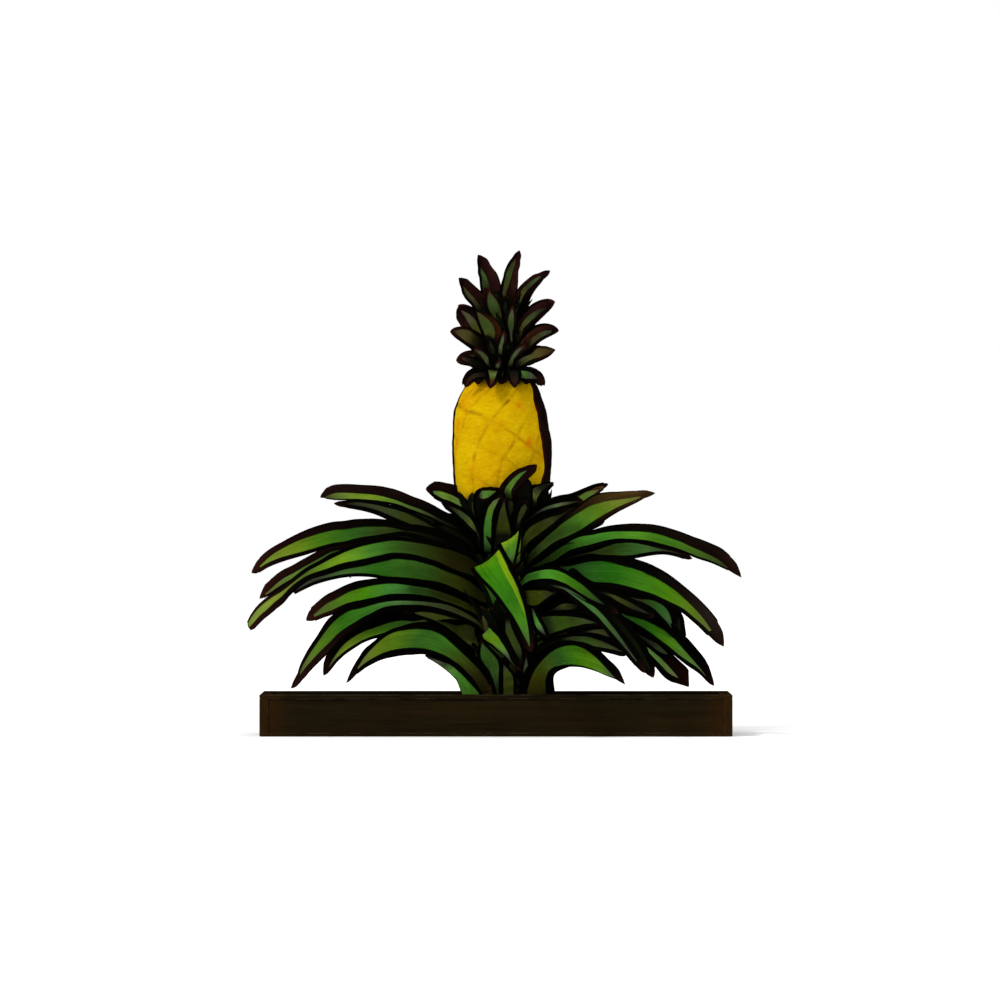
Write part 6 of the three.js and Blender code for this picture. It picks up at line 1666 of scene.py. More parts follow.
    dict(name="leaf_fill_12", shade_lift=(0.64, 0.64), mu=[5.85], ml=[5.85], ext=9, edge=BLACK_EDGE,
        stops=run((10, 11, 6), (14, 16, 8), (20, 24, 10), (24, 30, 13), (20, 24, 12)), rows=[
        (95, 51.8, 203.7, 97, 48.7, 197.8),
        (106.3, 58.3, 207.6, 108.4, 55.2, 201.7),
        (117.7, 64.9, 211.5, 119.7, 61.8, 205.6),
        (129, 71.4, 215.3, 131, 68.3, 209.5),
        (140.6, 77.9, 219.1, 142.1, 74.9, 213.4),
        (152.6, 84.5, 221.6, 153.2, 81.7, 215.9),
        (164.9, 91.3, 221.4, 164.9, 88.7, 216.1),
        (176.9, 98.1, 221.1, 176.9, 95.7, 216.4),
        (189.1, 104.9, 220.8, 188.7, 102.8, 216.7),
        (200.9, 111.4, 218.3, 200.1, 109.7, 215),
        (212.4, 117.9, 214.4, 211.7, 116.6, 212),
        (223.7, 124.2, 210.5, 223.3, 123.4, 209)]),
    dict(name="leaf_fill_13", shade_lift=(1.2, 1.2), mu=[4.88], ml=[4.88], ext=7.5, edge=BLACK_EDGE,
        stops=run((10, 11, 6), (14, 16, 8), (20, 24, 10), (24, 30, 13), (20, 24, 12)), rows=[
        (49.7, 31.8, 263, 52.3, 29.2, 258.5),
        (59.4, 38.8, 268.5, 62, 36.2, 263.9),
        (69, 45.9, 274, 71.6, 43.3, 269.4),
        (78.7, 52.9, 279.4, 81.2, 50.3, 275),
        (88.4, 59.8, 284.8, 90.9, 57.4, 280.5),
        (98.3, 66.8, 290.1, 100.5, 64.5, 285.9),
        (108.2, 73.9, 295.1, 110.2, 71.7, 291.2),
        (118.2, 81, 300, 120, 79, 296.5),
        (128.2, 88, 304.9, 129.7, 86.3, 301.8),
        (138.3, 95.1, 309.6, 139.5, 93.7, 307),
        (148.5, 102.2, 314, 149.4, 101.1, 312),
        (158.7, 109.3, 318.3, 159.3, 108.7, 317.2)]),
    dict(name="leaf_fill_14", shade_lift=(1.2, 0.7), mu=[5.85], ml=[5.85], ext=9, edge=BLACK_EDGE,
        stops=run((10, 11, 6), (14, 16, 8), (20, 24, 10), (24, 30, 13), (20, 24, 12)), rows=[
        (-22.2, 20.6, 218.3, -25.8, 17.5, 213.2),
        (-36.3, 28.8, 228.5, -40, 25.7, 223.4),
        (-50.7, 37, 238.8, -54, 33.9, 233.5),
        (-66.3, 45.7, 247.3, -68.6, 42.6, 241.6),
        (-83.4, 55.3, 252.1, -85, 52.3, 246.4),
        (-100.3, 64.9, 256.8, -101.8, 62.1, 251.3),
        (-117.4, 74.6, 260.9, -118.4, 72, 255.7),
        (-134.9, 84.5, 263.1, -135.5, 82.1, 258.4),
        (-152.3, 94.3, 265.3, -152.7, 92.2, 261.2),
        (-169.9, 104.1, 266.3, -169.7, 102.3, 262.9),
        (-187.1, 113.7, 262.4, -186.6, 112.4, 259.9),
        (-204.2, 123.4, 258.5, -203.8, 122.6, 257)]),
    dict(name="leaf_fill_15", shade_lift=(1.2, 1.2), mu=[5.85], ml=[5.85], ext=9, edge=BLACK_EDGE,
        stops=run((10, 11, 6), (14, 16, 8), (20, 24, 10), (24, 30, 13), (20, 24, 12)), rows=[
        (-25.5, 22.4, 263.5, -28.5, 19.2, 258),
        (-38.8, 30.1, 270.7, -41.8, 26.9, 265.1),
        (-52.2, 37.7, 277.8, -55.1, 34.6, 272.3),
        (-65.9, 45.4, 285, -68.1, 42.4, 279.3),
        (-80.8, 53.7, 289, -82.3, 50.8, 283.3),
        (-95.6, 62.2, 292.4, -96.9, 59.4, 286.9),
        (-110.6, 70.6, 295.6, -111.4, 68, 290.4),
        (-125.9, 79.2, 296.6, -126.2, 76.8, 291.8),
        (-141.1, 87.7, 296.9, -141.2, 85.6, 292.7),
        (-156.4, 96.2, 296.1, -156, 94.5, 292.7),
        (-171.3, 104.6, 293.1, -170.9, 103.3, 290.6),
        (-186.1, 113, 290, -185.9, 112.2, 288.5)]),
    dict(name="leaf_fill_16", shade_lift=(1.2, 1.2), mu=[4.88], ml=[4.88], ext=7.5, edge=BLACK_EDGE,
        stops=run((10, 11, 6), (14, 16, 8), (20, 24, 10), (24, 30, 13), (20, 24, 12)), rows=[
        (-19.5, 18.6, 187.9, -22.5, 16, 183.6),
        (-29, 24.1, 194.2, -31.9, 21.5, 189.9),
        (-38.5, 29.6, 200.5, -41.4, 27, 196.2),
        (-48, 35, 206.8, -50.8, 32.5, 202.6),
        (-57.8, 40.4, 213.2, -60, 38, 208.8),
        (-68.7, 46.5, 217.2, -70.2, 44.1, 212.7),
        (-79.8, 52.7, 220.2, -81, 50.5, 215.9),
        (-90.9, 58.9, 223, -91.9, 57, 219.2),
        (-102.2, 65.2, 225.2, -102.7, 63.5, 221.8),
        (-113.7, 71.6, 225.9, -113.9, 70.2, 223),
        (-125.1, 78, 226.4, -125.2, 76.9, 224.3),
        (-136.4, 84.3, 226.9, -136.6, 83.7, 225.6)]),
    dict(name="leaf_fill_17", shade_lift=(1.2, 1.2), mu=[4.88], ml=[4.88], ext=7.5, edge=BLACK_EDGE,
        stops=run((10, 11, 6), (14, 16, 8), (20, 24, 10), (24, 30, 13), (20, 24, 12)), rows=[
        (-15.8, 19.5, 52.2, -20.2, 16.9, 49.3),
        (-21, 23, 59.8, -25.3, 20.4, 56.9),
        (-26.2, 26.5, 67.5, -30.5, 23.9, 64.6),
        (-31.4, 30, 75.1, -35.6, 27.4, 72.2),
        (-36.7, 33.4, 82.7, -40.8, 31, 79.9),
        (-42.1, 36.9, 90.4, -45.7, 34.5, 87.4),
        (-48.8, 41.1, 97.1, -51.7, 38.9, 93.7),
        (-56.6, 46, 102.3, -58.9, 44.1, 99.1),
        (-64.3, 51, 107.5, -66.3, 49.3, 104.6),
        (-72.3, 56, 112.4, -73.6, 54.6, 109.9),
        (-81.1, 61.6, 115.7, -81.9, 60.5, 113.7),
        (-89.7, 67.1, 118.9, -90.3, 66.4, 117.6)]),
    # leaf_cup leaves: near-black short leaves at the foot of the fruit, painted shade under it
    dict(name="leaf_cup_1", shade_lift=(1.13, 1.2), mu=[3.75, 3.75], ml=[3.75, 3.75], ext=1.5, edge=BLACK_EDGE, blunt=1,
        stops=run((7, 8, 5), (10, 11, 6), (10, 11, 7), (8, 8, 6)), rows=[
        (-27, -44, 320.7, 12, -44, 320.7),
        (-28.6, -51, 328.6, 12.5, -51, 328.3),
        (-30.1, -58, 336.4, 13, -58, 335.8),
        (-31.4, -64, 344.2, 13.5, -64, 343.4),
        (-30.3, -70, 352.1, 12.1, -70, 350.8),
        (-29.1, -71.5, 359.9, 10.7, -71.5, 358.2),
        (-24.4, -73, 366.3, 6.6, -73, 364.5),
        (-16.9, -73, 368.9, -0, -73, 367.9),
        (-9, -73, 369.5, -7.5, -73, 369)]),
    dict(name="leaf_cup_2", shade_lift=(1.2, 1.2), mu=[3.75, 3.75], ml=[3.75, 3.75], ext=1.5, edge=BLACK_EDGE, blunt=1,
        stops=run((7, 8, 5), (10, 11, 6), (10, 11, 7), (8, 8, 6)), rows=[
        (42, -34, 328.2, 78, -34, 328.2),
        (42.5, -40, 334.7, 78, -40, 335.3),
        (42.9, -46, 341.2, 78, -46, 342.3),
        (43.4, -52, 347.7, 77.8, -52, 349.3),
        (44, -58, 354.1, 76.7, -58, 356.3),
        (44.6, -59, 360.6, 75.5, -59, 363.1),
        (46.7, -60, 366.5, 71.1, -60, 368.6),
        (50.8, -60, 371.4, 65.4, -60, 372),
        (57, -60, 373.2, 58.5, -60, 373.2)]),
    dict(name="leaf_cup_3", shade_lift=(1.2, 1.2), mu=[3.75, 3.75], ml=[3, 3], ext=3, edge=BLACK_EDGE, blunt=1,
        stops=run((7, 8, 5), (10, 11, 6), (10, 11, 7), (8, 8, 6)), rows=[
        (13.5, -40, 328.2, 48, -40, 328.2),
        (15.1, -47, 336.1, 49.3, -47, 334.8),
        (16.7, -54, 344, 50.6, -54, 341.4),
        (18.6, -61, 351.8, 52, -61, 348),
        (22.8, -68, 358.7, 52.5, -68, 354.7),
        (26.9, -71, 365.6, 52.5, -71, 361.4),
        (32.7, -74, 371.1, 52.1, -74, 368.1),
        (38.7, -76, 376.5, 51, -76, 374.7),
        (45, -78, 381.5, 48, -78, 380.7)]),
]

CROWN_PANELS = [
    dict(name="crown_leaf_1", shade_lift=(2.9, 0.64), mu=[4.5, 4.5, 4.5, 3.75, 4.2, 4.8], ml=[19.5, 19.5, 18.75, 18, 17.25, 15], ext=21.75, edge=E_CR,
        stops=run((6, 5, 4), (6, 5, 4), (14, 10, 8), (22, 18, 12), (28, 24, 14), (58, 76, 38), (68, 96, 50), (58, 66, 36)), rows=[
        (-15, 4, 623.7, -4.5, 4, 623.7),
        (-15.6, 6.2, 630.7, -5.3, 6.2, 630.9),
        (-16.2, 8.4, 637.7, -6.1, 8.4, 638.1),
        (-16.7, 10.5, 644.6, -6.9, 10.5, 645.3),
        (-17.4, 12.7, 651.6, -7.7, 12.7, 652.5),
        (-18.5, 14.9, 658.5, -8.7, 14.9, 659.7),
        (-19.6, 17.1, 665.4, -9.6, 17.1, 666.9),
        (-20.7, 19.3, 672.2, -10.5, 19.3, 674),
        (-21, 21.5, 679.2, -12.4, 21.5, 681),
        (-21.6, 23.6, 686.1, -15, 23.6, 687.7),
        (-23.2, 25.8, 692.9, -18.8, 25.8, 693.9),
        (-22.8, 28, 699.8, -22.2, 28, 700.2)]),
    dict(name="crown_leaf_2", shade_lift=(1.37, 0.61), mu=[6, 6, 5.25, 5.25, 3.6, 4.2, 5.4], ml=[13.5, 15, 16.5, 15.75, 12.75, 8.25, 7.5], ext=14.25, edge=E_CR,
        stops=run((6, 5, 4), (14, 10, 8), (34, 28, 14), (64, 64, 32), (64, 70, 30), (66, 84, 40), (62, 66, 32), (72, 50, 26)), rows=[
        (13.5, -2, 623.7, 21, -2, 623.7),
        (12.8, -4, 631.5, 19.6, -4, 631.2),
        (12.1, -6, 639.2, 18.2, -6, 638.7),
        (11.3, -8, 646.9, 16.8, -8, 646.1),
        (10.5, -10, 654.6, 15.8, -10, 653.7),
        (9.9, -12, 662.3, 15, -12, 661.2),
        (11.2, -14, 670, 17.3, -14, 668.4),
        (12.5, -15.3, 677.6, 19.6, -15.3, 675.7),
        (14.2, -16.7, 685.2, 21.8, -16.7, 682.9),
        (16.1, -18, 692.7, 24, -18, 690.2),
        (19.5, -18.7, 699.7, 26.4, -18.7, 697.4),
        (23.6, -19.3, 706.2, 29, -19.3, 704.5),
        (28.9, -20, 711.8, 29.6, -20, 712.1)]),
    dict(name="crown_leaf_3", shade_lift=(3.2, 0.8), mu=[6, 6.75, 6.75, 6.45, 6, 6], ml=[12, 13.5, 13.5, 11.25, 8.25, 6.3], ext=17.7, edge=E_CU3,
        stops=run((6, 5, 4), (14, 12, 8), (28, 28, 15), (60, 62, 26), (62, 64, 24), (58, 68, 34), (62, 84, 46), (66, 92, 50)), rows=[
        (19.5, 2, 617.7, 28.5, 2, 614.7),
        (21.7, 4, 624.8, 30.2, 4, 621.5),
        (23.8, 6, 631.8, 32, 6, 628.3),
        (26, 8, 638.8, 33.7, 8, 635.1),
        (28.2, 10, 645.8, 35.4, 10, 641.9),
        (30.9, 12, 652.7, 37.4, 12, 648.6),
        (34, 14, 659.4, 40, 14, 655.1),
        (38.2, 16, 665.4, 43.5, 16, 661.1),
        (42.8, 18, 671, 47.7, 18, 666.7),
        (48.2, 20, 676.1, 52.5, 20, 671.8),
        (53.8, 22, 680.8, 57.5, 22, 676.7),
        (59.8, 24, 685.1, 62.5, 24, 681.5),
        (66.8, 26, 687.3, 67.2, 26, 686.7)]),
    dict(name="crown_leaf_7", shade_lift=(1.31, 1.15), mu=[13.5, 15, 16.5, 15.75, 14.25, 12.75], ml=[4.5, 4.5, 4.5, 4.5, 4.2], ext=15, edge=E_CU,
        stops=run((6, 5, 4), (6, 5, 4), (12, 10, 8), (20, 18, 12), (50, 50, 28), (60, 62, 38), (58, 58, 34), (50, 46, 28)), rows=[
        (-6, -2, 608.7, -16.5, -2, 602.7),
        (-8.8, -3.5, 615.1, -18.7, -3.5, 609.3),
        (-11.6, -4.9, 621.4, -20.9, -4.9, 615.9),
        (-14.5, -6.4, 627.8, -23.1, -6.4, 622.5),
        (-17.3, -7.8, 634.1, -25.3, -7.8, 629.1),
        (-21.3, -9.3, 639.7, -28.3, -9.3, 635.4),
        (-25.7, -10.7, 645, -31.4, -10.7, 641.6),
        (-30.2, -12.2, 650.4, -35.4, -12.2, 647.2),
        (-34.6, -13.6, 655.8, -40.3, -13.6, 652.2),
        (-39.2, -15.1, 661, -44.5, -15.1, 657.7),
        (-43.8, -16.5, 666.1, -47.7, -16.5, 663.8),
        (-48.6, -18, 671.1, -49.2, -18, 670.5)]),
    dict(name="crown_front_1", shade_lift=(3.2, 1.38), mu=[4.5, 4.5, 4.5], ml=[4.5, 4.5, 4.5], ext=6, edge=CROWN_EDGE,
        stops=run((30, 34, 20), (24, 26, 12), (34, 30, 12), (57, 55, 19), (52, 55, 22), (47, 63, 27), (53, 69, 32), (51, 55, 34)), rows=[
        (7.5, -16, 583.2, 10.5, -16, 583.2),
        (5.6, -22, 594.9, 9.2, -22, 595.1),
        (3.4, -28, 606.5, 8.7, -28, 607),
        (-0.8, -34.6, 617.4, 9, -34.6, 618.9),
        (-6.4, -41.4, 627.8, 7.8, -41.4, 630.8),
        (-11.5, -47.7, 638.3, 4.3, -47.7, 642.1),
        (-13, -52.9, 649.8, -1.7, -52.9, 652.3),
        (-10.5, -58, 661.2, -9.6, -58, 661.2)]),
    dict(name="crown_front_2", shade_lift=(3.2, 1), mu=[4.5, 4.5, 4.5], ml=[4.5, 7.5, 11.25, 12, 9, 4.5], ext=6, edge=E_CBR,
        stops=run((10, 11, 8), (8, 8, 4), (40, 36, 22), (55, 57, 21), (59, 67, 28), (58, 74, 31), (62, 68, 29), (62, 60, 36)), rows=[
        (-6, -24, 560.7, -3, -24, 560.7),
        (-9, -30.9, 570.7, -5.3, -30.9, 572.2),
        (-11.6, -37.7, 580.7, -3.7, -37.7, 583.5),
        (-14.1, -45.1, 590.8, -1.7, -45.1, 594.9),
        (-17.9, -52.9, 600.4, -2.5, -52.9, 606.5),
        (-22, -59.4, 610, -8.1, -59.4, 616.8),
        (-25.6, -63.7, 619.7, -16.5, -63.7, 624.6),
        (-28, -68, 629.7, -26.1, -68, 631.2)]),
    dict(name="crown_front_3", shade_lift=(2.96, 1.18), mu=[4.5, 4.5], ml=[4.5, 4.5], ext=6, edge=CROWN_EDGE,
        stops=run((9, 11, 5), (9, 7, 5), (42, 40, 30), (41, 42, 28), (43, 53, 26), (51, 68, 30), (59, 75, 43), (63, 68, 50)), rows=[
        (21.8, -26, 572.7, 25.5, -26, 572.7),
        (21.9, -32.9, 582, 24.9, -32.9, 581.8),
        (21.6, -39.7, 591.1, 24.5, -39.7, 590.8),
        (20.9, -46.6, 600.3, 24.5, -46.6, 599.9),
        (18.6, -53.4, 609.2, 26.1, -53.4, 608.8),
        (18, -59.1, 618.4, 26.7, -59.1, 617.9),
        (20, -62.6, 627.2, 26.4, -62.6, 626.9),
        (23.4, -66, 635.7, 24.6, -66, 635.7)]),
    dict(name="crown_front_4", shade_lift=(2, 1.43), mu=[4.5, 4.5], ml=[4.5, 4.5], ext=4.5, edge=CROWN_EDGE,
        stops=run((16, 17, 10), (10, 10, 6), (45, 48, 30), (42, 55, 25), (58, 73, 46), (56, 72, 38), (59, 70, 46), (48, 43, 34)), rows=[
        (3, -36, 554.7, 7.5, -36, 554.7),
        (3.3, -43.7, 561.2, 7.9, -43.7, 561.1),
        (3.6, -51.4, 567.7, 8.3, -51.4, 567.5),
        (3.9, -58, 574.2, 9, -58, 573.8),
        (4.3, -64, 580.7, 9.6, -64, 580.2),
        (6.3, -69.1, 586.9, 11.2, -69.1, 586.4),
        (8.4, -72.6, 593, 12.2, -72.6, 592.6),
        (11, -76, 599, 12, -76, 599)]),
    dict(name="crown_front_5", shade_lift=(2.79, 1.56), mu=[4.5, 4.5], ml=[4.5, 4.5], ext=4.5, edge=CROWN_EDGE,
        stops=run((10, 11, 6), (21, 27, 13), (48, 55, 29), (46, 56, 26), (54, 62, 40), (60, 64, 43), (49, 49, 39), (24, 23, 12)), rows=[
        (16.5, -34, 545.7, 23.2, -34, 545.7),
        (17.8, -41.7, 552, 24.1, -41.7, 551.3),
        (19.8, -49.4, 558.1, 25.5, -49.4, 556.7),
        (22.4, -56, 563.9, 27.2, -56, 562),
        (25.6, -62, 569.4, 30.6, -62, 566.5),
        (29.8, -67.1, 574.1, 34, -67.1, 570.9),
        (34.7, -70.6, 578.1, 37.7, -70.6, 575.1),
        (40.5, -74, 580.8, 41.4, -74, 579.3)]),
    dict(name="crown_front_6", shade_lift=(3.2, 1.38), mu=[4.5, 4.5], ml=[4.5, 4.5], ext=4.5, edge=CROWN_EDGE,
        stops=run((12, 13, 5), (10, 11, 4), (29, 30, 18), (56, 64, 39), (50, 61, 28), (58, 65, 36), (55, 57, 36), (42, 42, 30)), rows=[
        (-7.5, -34, 542.7, -4.5, -34, 548.7),
        (-10, -41.7, 547.8, -7.9, -41.7, 553.2),
        (-12.7, -49.4, 552.7, -10.6, -49.4, 557.9),
        (-16.3, -56, 557.1, -11.9, -56, 563.4),
        (-19.7, -62, 561.6, -15.4, -62, 567.7),
        (-23, -67.1, 566.1, -19.7, -67.1, 571.1),
        (-26.8, -70.6, 570.3, -24.6, -70.6, 573.8),
        (-30.8, -74, 574.2, -30, -74, 575.1)]),
    dict(name="crown_front_7", shade_lift=(1.8, 1.8), mu=[4.5, 4.5], ml=[4.5, 4.5], ext=4.5, edge=CROWN_EDGE,
        stops=run((15, 17, 9), (9, 9, 6), (10, 10, 8), (43, 45, 32), (55, 58, 40), (54, 56, 40), (34, 36, 25), (25, 26, 16)), rows=[
        (1.5, -50, 542.7, 4.5, -50, 542.7),
        (0.8, -54.6, 545.1, 4.8, -54.6, 544.9),
        (0.2, -59.1, 547.4, 5, -59.1, 547.1),
        (-0.5, -63.7, 549.8, 5.3, -63.7, 549.2),
        (0.1, -66.9, 552.1, 5.6, -66.9, 551.4),
        (1, -68.6, 554.3, 5.9, -68.6, 553.5),
        (2.8, -70.3, 556, 5.6, -70.3, 555.6),
        (4.5, -72, 557.7, 5.1, -72, 557.7)]),
    dict(name="crown_front_8", shade_lift=(2.39, 0.87), mu=[6, 6, 7.5, 10.5], ml=[8.25, 8.25, 6, 4.5], ext=12, edge=E_CU3,
        stops=run((11, 9, 8), (14, 11, 6), (22, 17, 9), (49, 50, 19), (58, 60, 28), (57, 73, 40), (40, 40, 28), (24, 21, 15)), rows=[
        (24, -22, 578.7, 30, -22, 572.7),
        (29.4, -27.1, 589.5, 34.1, -27.1, 583.8),
        (32.9, -32.3, 601, 37.6, -32.3, 595),
        (37.3, -35.7, 612.1, 40.3, -35.7, 606.3),
        (44.1, -38.3, 621.9, 48.3, -38.3, 615),
        (53.2, -40.6, 629.7, 57, -40.6, 623),
        (63.5, -42.3, 635.9, 65.7, -42.3, 630.8),
        (75, -44, 639.6, 75.6, -44, 637.2)]),
    dict(name="crown_front_9", shade_lift=(1.06, 1.06), mu=[6, 9, 10.5, 10.5, 9], ml=[4.5, 4.5, 4.5], ext=10.5, edge=E_CU8,
        stops=run((9, 10, 7), (11, 9, 6), (16, 13, 5), (28, 20, 8), (60, 58, 31), (50, 53, 30), (54, 58, 38), (43, 46, 32)), rows=[
        (30, -22, 566.7, 33, -22, 557.7),
        (35.9, -27.1, 574.3, 38.9, -27.1, 565.3),
        (42, -32.3, 581.8, 44.8, -32.3, 572.8),
        (48.8, -36.3, 588.6, 51, -36.3, 580.2),
        (56.1, -39.7, 595, 57.7, -39.7, 587),
        (64, -42.6, 600.2, 65.4, -42.6, 592.6),
        (72.9, -44.3, 603.7, 73.8, -44.3, 597.2),
        (82.5, -46, 604.8, 82.5, -46, 601.2)]),
    dict(name="crown_front_10", shade_lift=(2.19, 0.91), mu=[3.75, 3.75, 3], ml=[7.5, 5.25, 3.75], ext=4.5, edge=CROWN_EDGE,
        stops=run((12, 12, 8), (9, 9, 5), (13, 12, 6), (50, 53, 28), (66, 69, 34), (74, 65, 35), (62, 55, 22), (50, 38, 27)), rows=[
        (18, -26, 542.7, 21, -26, 536.7),
        (25.1, -32, 551.6, 28.6, -32, 544.3),
        (32.9, -38, 559.6, 37, -38, 550.8),
        (42.7, -42.3, 565.3, 45.8, -42.3, 556.9),
        (53.2, -45.7, 569.6, 55.2, -45.7, 561.7),
        (61.5, -48.6, 577.2, 65.5, -48.6, 564.4),
        (72.9, -50.3, 577.8, 75.4, -50.3, 568.5),
        (84, -52, 575.7, 84.6, -52, 573.9)]),
    dict(name="crown_front_11", shade_lift=(3.2, 1.26), mu=[7.5, 12, 13.5, 14.25, 13.5], ml=[6, 9, 10.5, 9], ext=7.5, edge=E_CU8,
        stops=run((12, 12, 9), (40, 40, 18), (32, 24, 11), (58, 55, 19), (56, 62, 21), (64, 66, 44), (66, 66, 46), (62, 54, 44)), rows=[
        (-6, -20, 572.7, -1.5, -20, 581.7),
        (-13.3, -24.3, 581, -8.1, -24.3, 590),
        (-20.8, -28.6, 589, -14.7, -28.6, 598.1),
        (-28.5, -31.7, 596.8, -21.3, -31.7, 606.3),
        (-34.9, -34.3, 605.7, -27.3, -34.3, 614.8),
        (-40.8, -36.6, 615, -33.5, -36.6, 623.3),
        (-46.1, -38.3, 624.6, -41.6, -38.3, 629.9),
        (-52.5, -40, 633.5, -51, -40, 634.5)]),
    dict(name="crown_front_12", shade_lift=(1.03, 1.03), mu=[4.5, 3.75, 3.75], ml=[9, 6.75, 4.5, 3.75], ext=3.75, edge=CROWN_EDGE,
        stops=run((8, 9, 5), (9, 10, 6), (13, 10, 5), (20, 15, 9), (36, 32, 12), (68, 63, 31), (70, 65, 36), (52, 45, 27)), rows=[
        (-6, -22, 557.7, -4.5, -22, 572.7),
        (-13.2, -26.3, 564.9, -11.2, -26.3, 580.2),
        (-20.6, -30.6, 571.8, -17.8, -30.6, 587.6),
        (-28.4, -33.7, 578.2, -25.3, -33.7, 594.2),
        (-37.2, -36.3, 583.1, -33.3, -36.3, 600.1),
        (-45.8, -38.6, 588.5, -42, -38.6, 605),
        (-53.7, -40.3, 594.8, -51.9, -40.3, 606.2),
        (-61.5, -42, 601.2, -61.5, -42, 604.2)]),
    dict(name="crown_front_13", shade_lift=(2.22, 2.22), mu=[4.5, 4.5, 3.75], ml=[10.5, 7.5, 4.5, 3.75], ext=7.5, edge=CROWN_EDGE,
        stops=run((9, 10, 5), (10, 11, 5), (9, 9, 5), (10, 10, 6), (14, 14, 9), (34, 26, 20)), rows=[
        (-6, -22, 542.7, -4.5, -22, 551.7),
        (-12.6, -26.3, 544.4, -10.7, -26.3, 554.9),
        (-19.1, -30.6, 546.1, -17, -30.6, 557.8),
        (-25.7, -34.3, 547.9, -23.8, -34.3, 559.1),
        (-31.8, -37.7, 550.7, -30.6, -37.7, 560.5),
        (-37.7, -40.6, 554, -37.3, -40.6, 562.2),
        (-43.6, -42.3, 557.4, -44.1, -42.3, 563.5),
        (-49.5, -44, 560.7, -51, -44, 564.5)]),
    dict(name="crown_skirt_1", shade_lift=(0.6, 2.47), mu=[6, 6, 6], ml=[6, 6, 6], ext=6, edge=SK_EDGE,
        stops=run((10, 10, 6), (10, 9, 5), (18, 19, 7), (58, 62, 31), (61, 76, 32), (48, 54, 23), (35, 21, 10), (44, 14, 14)), rows=[
        (-13.5, -40, 551.7, 4.5, -40, 551.7),
        (-12.4, -51.1, 547.6, 3.2, -51.1, 547.4),
        (-11.4, -62.3, 543.5, 1.9, -62.3, 543.1),
        (-10.6, -68.9, 539.3, 0.6, -68.9, 538.8),
        (-9.7, -73.1, 535.1, -0.9, -73.1, 534.6),
        (-9.2, -76.6, 530.9, -2.5, -76.6, 530.4),
        (-8.5, -78.3, 526.7, -4.6, -78.3, 526.4),
        (-7.8, -80, 522.5, -6.9, -80, 522.5)]),
    dict(name="crown_skirt_2", shade_lift=(2.22, 2.22), mu=[5.25, 5.25], ml=[5.25, 5.25], ext=6, edge=SK_EDGE,
        stops=run((8, 8, 5), (9, 10, 5), (9, 10, 6), (11, 11, 7), (10, 10, 7), (18, 13, 7), (24, 13, 10), (23, 8, 9)), rows=[
        (16.5, -40, 548.7, 31.5, -40, 548.7),
        (17.7, -51.1, 545, 32.1, -51.1, 545),
        (19, -62.3, 541.3, 32.7, -62.3, 541.3),
        (20.2, -68.9, 537.6, 33, -68.9, 537.5),
        (21.5, -73.1, 533.9, 33, -73.1, 533.7),
        (22.8, -76.6, 530.2, 32.6, -76.6, 530),
        (24.6, -78.3, 526.7, 30.9, -78.3, 526.6),
        (26.4, -80, 523.2, 29.1, -80, 523.2)]),
    dict(name="crown_skirt_3", shade_lift=(2.74, 1.14), mu=[6, 6, 7.5, 9], ml=[4.5, 4.5, 4.5, 4.5], ext=13.5, edge=SK_EDGE,
        stops=run((19, 20, 14), (12, 12, 7), (14, 18, 9), (56, 84, 40), (52, 83, 30), (52, 64, 38), (52, 53, 42), (23, 24, 17)), rows=[
        (21, -40, 542.7, 22.5, -40, 533.7),
        (27.3, -48.6, 543.1, 28.1, -48.6, 533.9),
        (33.6, -57.1, 543.5, 33.7, -57.1, 533.9),
        (39.8, -61.7, 543.8, 39.2, -61.7, 533),
        (46, -64.3, 543.2, 44.7, -64.3, 532.2),
        (52, -66, 541.4, 50.3, -66, 532),
        (56.8, -66, 537.4, 55.9, -66, 531.8),
        (61.5, -66, 533.1, 61.5, -66, 531.6)]),
    dict(name="crown_skirt_4", shade_lift=(1.28, 3.2), mu=[6, 6, 6], ml=[3.75, 3.75], ext=4.5, edge=SK_EDGE,
        stops=run((54, 76, 34), (55, 74, 37), (52, 63, 38), (40, 41, 32), (14, 14, 9), (15, 11, 8), (15, 10, 7), (9, 7, 5)), rows=[
        (46.5, -20, 539.7, 45, -20, 530.7),
        (50.8, -28.6, 540.8, 48.4, -28.6, 531.6),
        (55.2, -37.1, 541.9, 51.8, -37.1, 532.4),
        (59.2, -41.1, 540.2, 55.1, -41.1, 532.6),
        (63.2, -42.9, 538.2, 58.4, -42.9, 531.3),
        (65.9, -44.3, 534.7, 61.2, -44.3, 529.4),
        (67.5, -45.1, 530.7, 63.4, -45.1, 526.7),
        (67.5, -46, 526.2, 66.3, -46, 524.7)]),
    dict(name="crown_skirt_5", shade_lift=(2.22, 2.22), mu=[6, 6, 6, 5.25], ml=[4.5, 4.5, 4.5], ext=6, edge=SK_EDGE,
        stops=run((56, 60, 32), (12, 11, 6), (18, 15, 14), (15, 12, 10), (19, 15, 11), (20, 18, 10), (24, 12, 8), (36, 12, 10)), rows=[
        (-6, -40, 542.7, -4.5, -40, 532.2),
        (-12.8, -47.7, 542.4, -10.4, -47.7, 533.4),
        (-19.5, -55.4, 542.1, -16.3, -55.4, 534.6),
        (-26.2, -58.6, 541, -22.2, -58.6, 534.9),
        (-32.8, -59.4, 539.8, -28.2, -59.4, 534),
        (-38.5, -59.7, 536.1, -33.6, -59.7, 531.6),
        (-42.6, -58.9, 531.3, -38.5, -58.9, 528.3),
        (-44.2, -58, 524.7, -42.9, -58, 524.1)]),
]

FITTED = {p["name"] for p in PANELS}


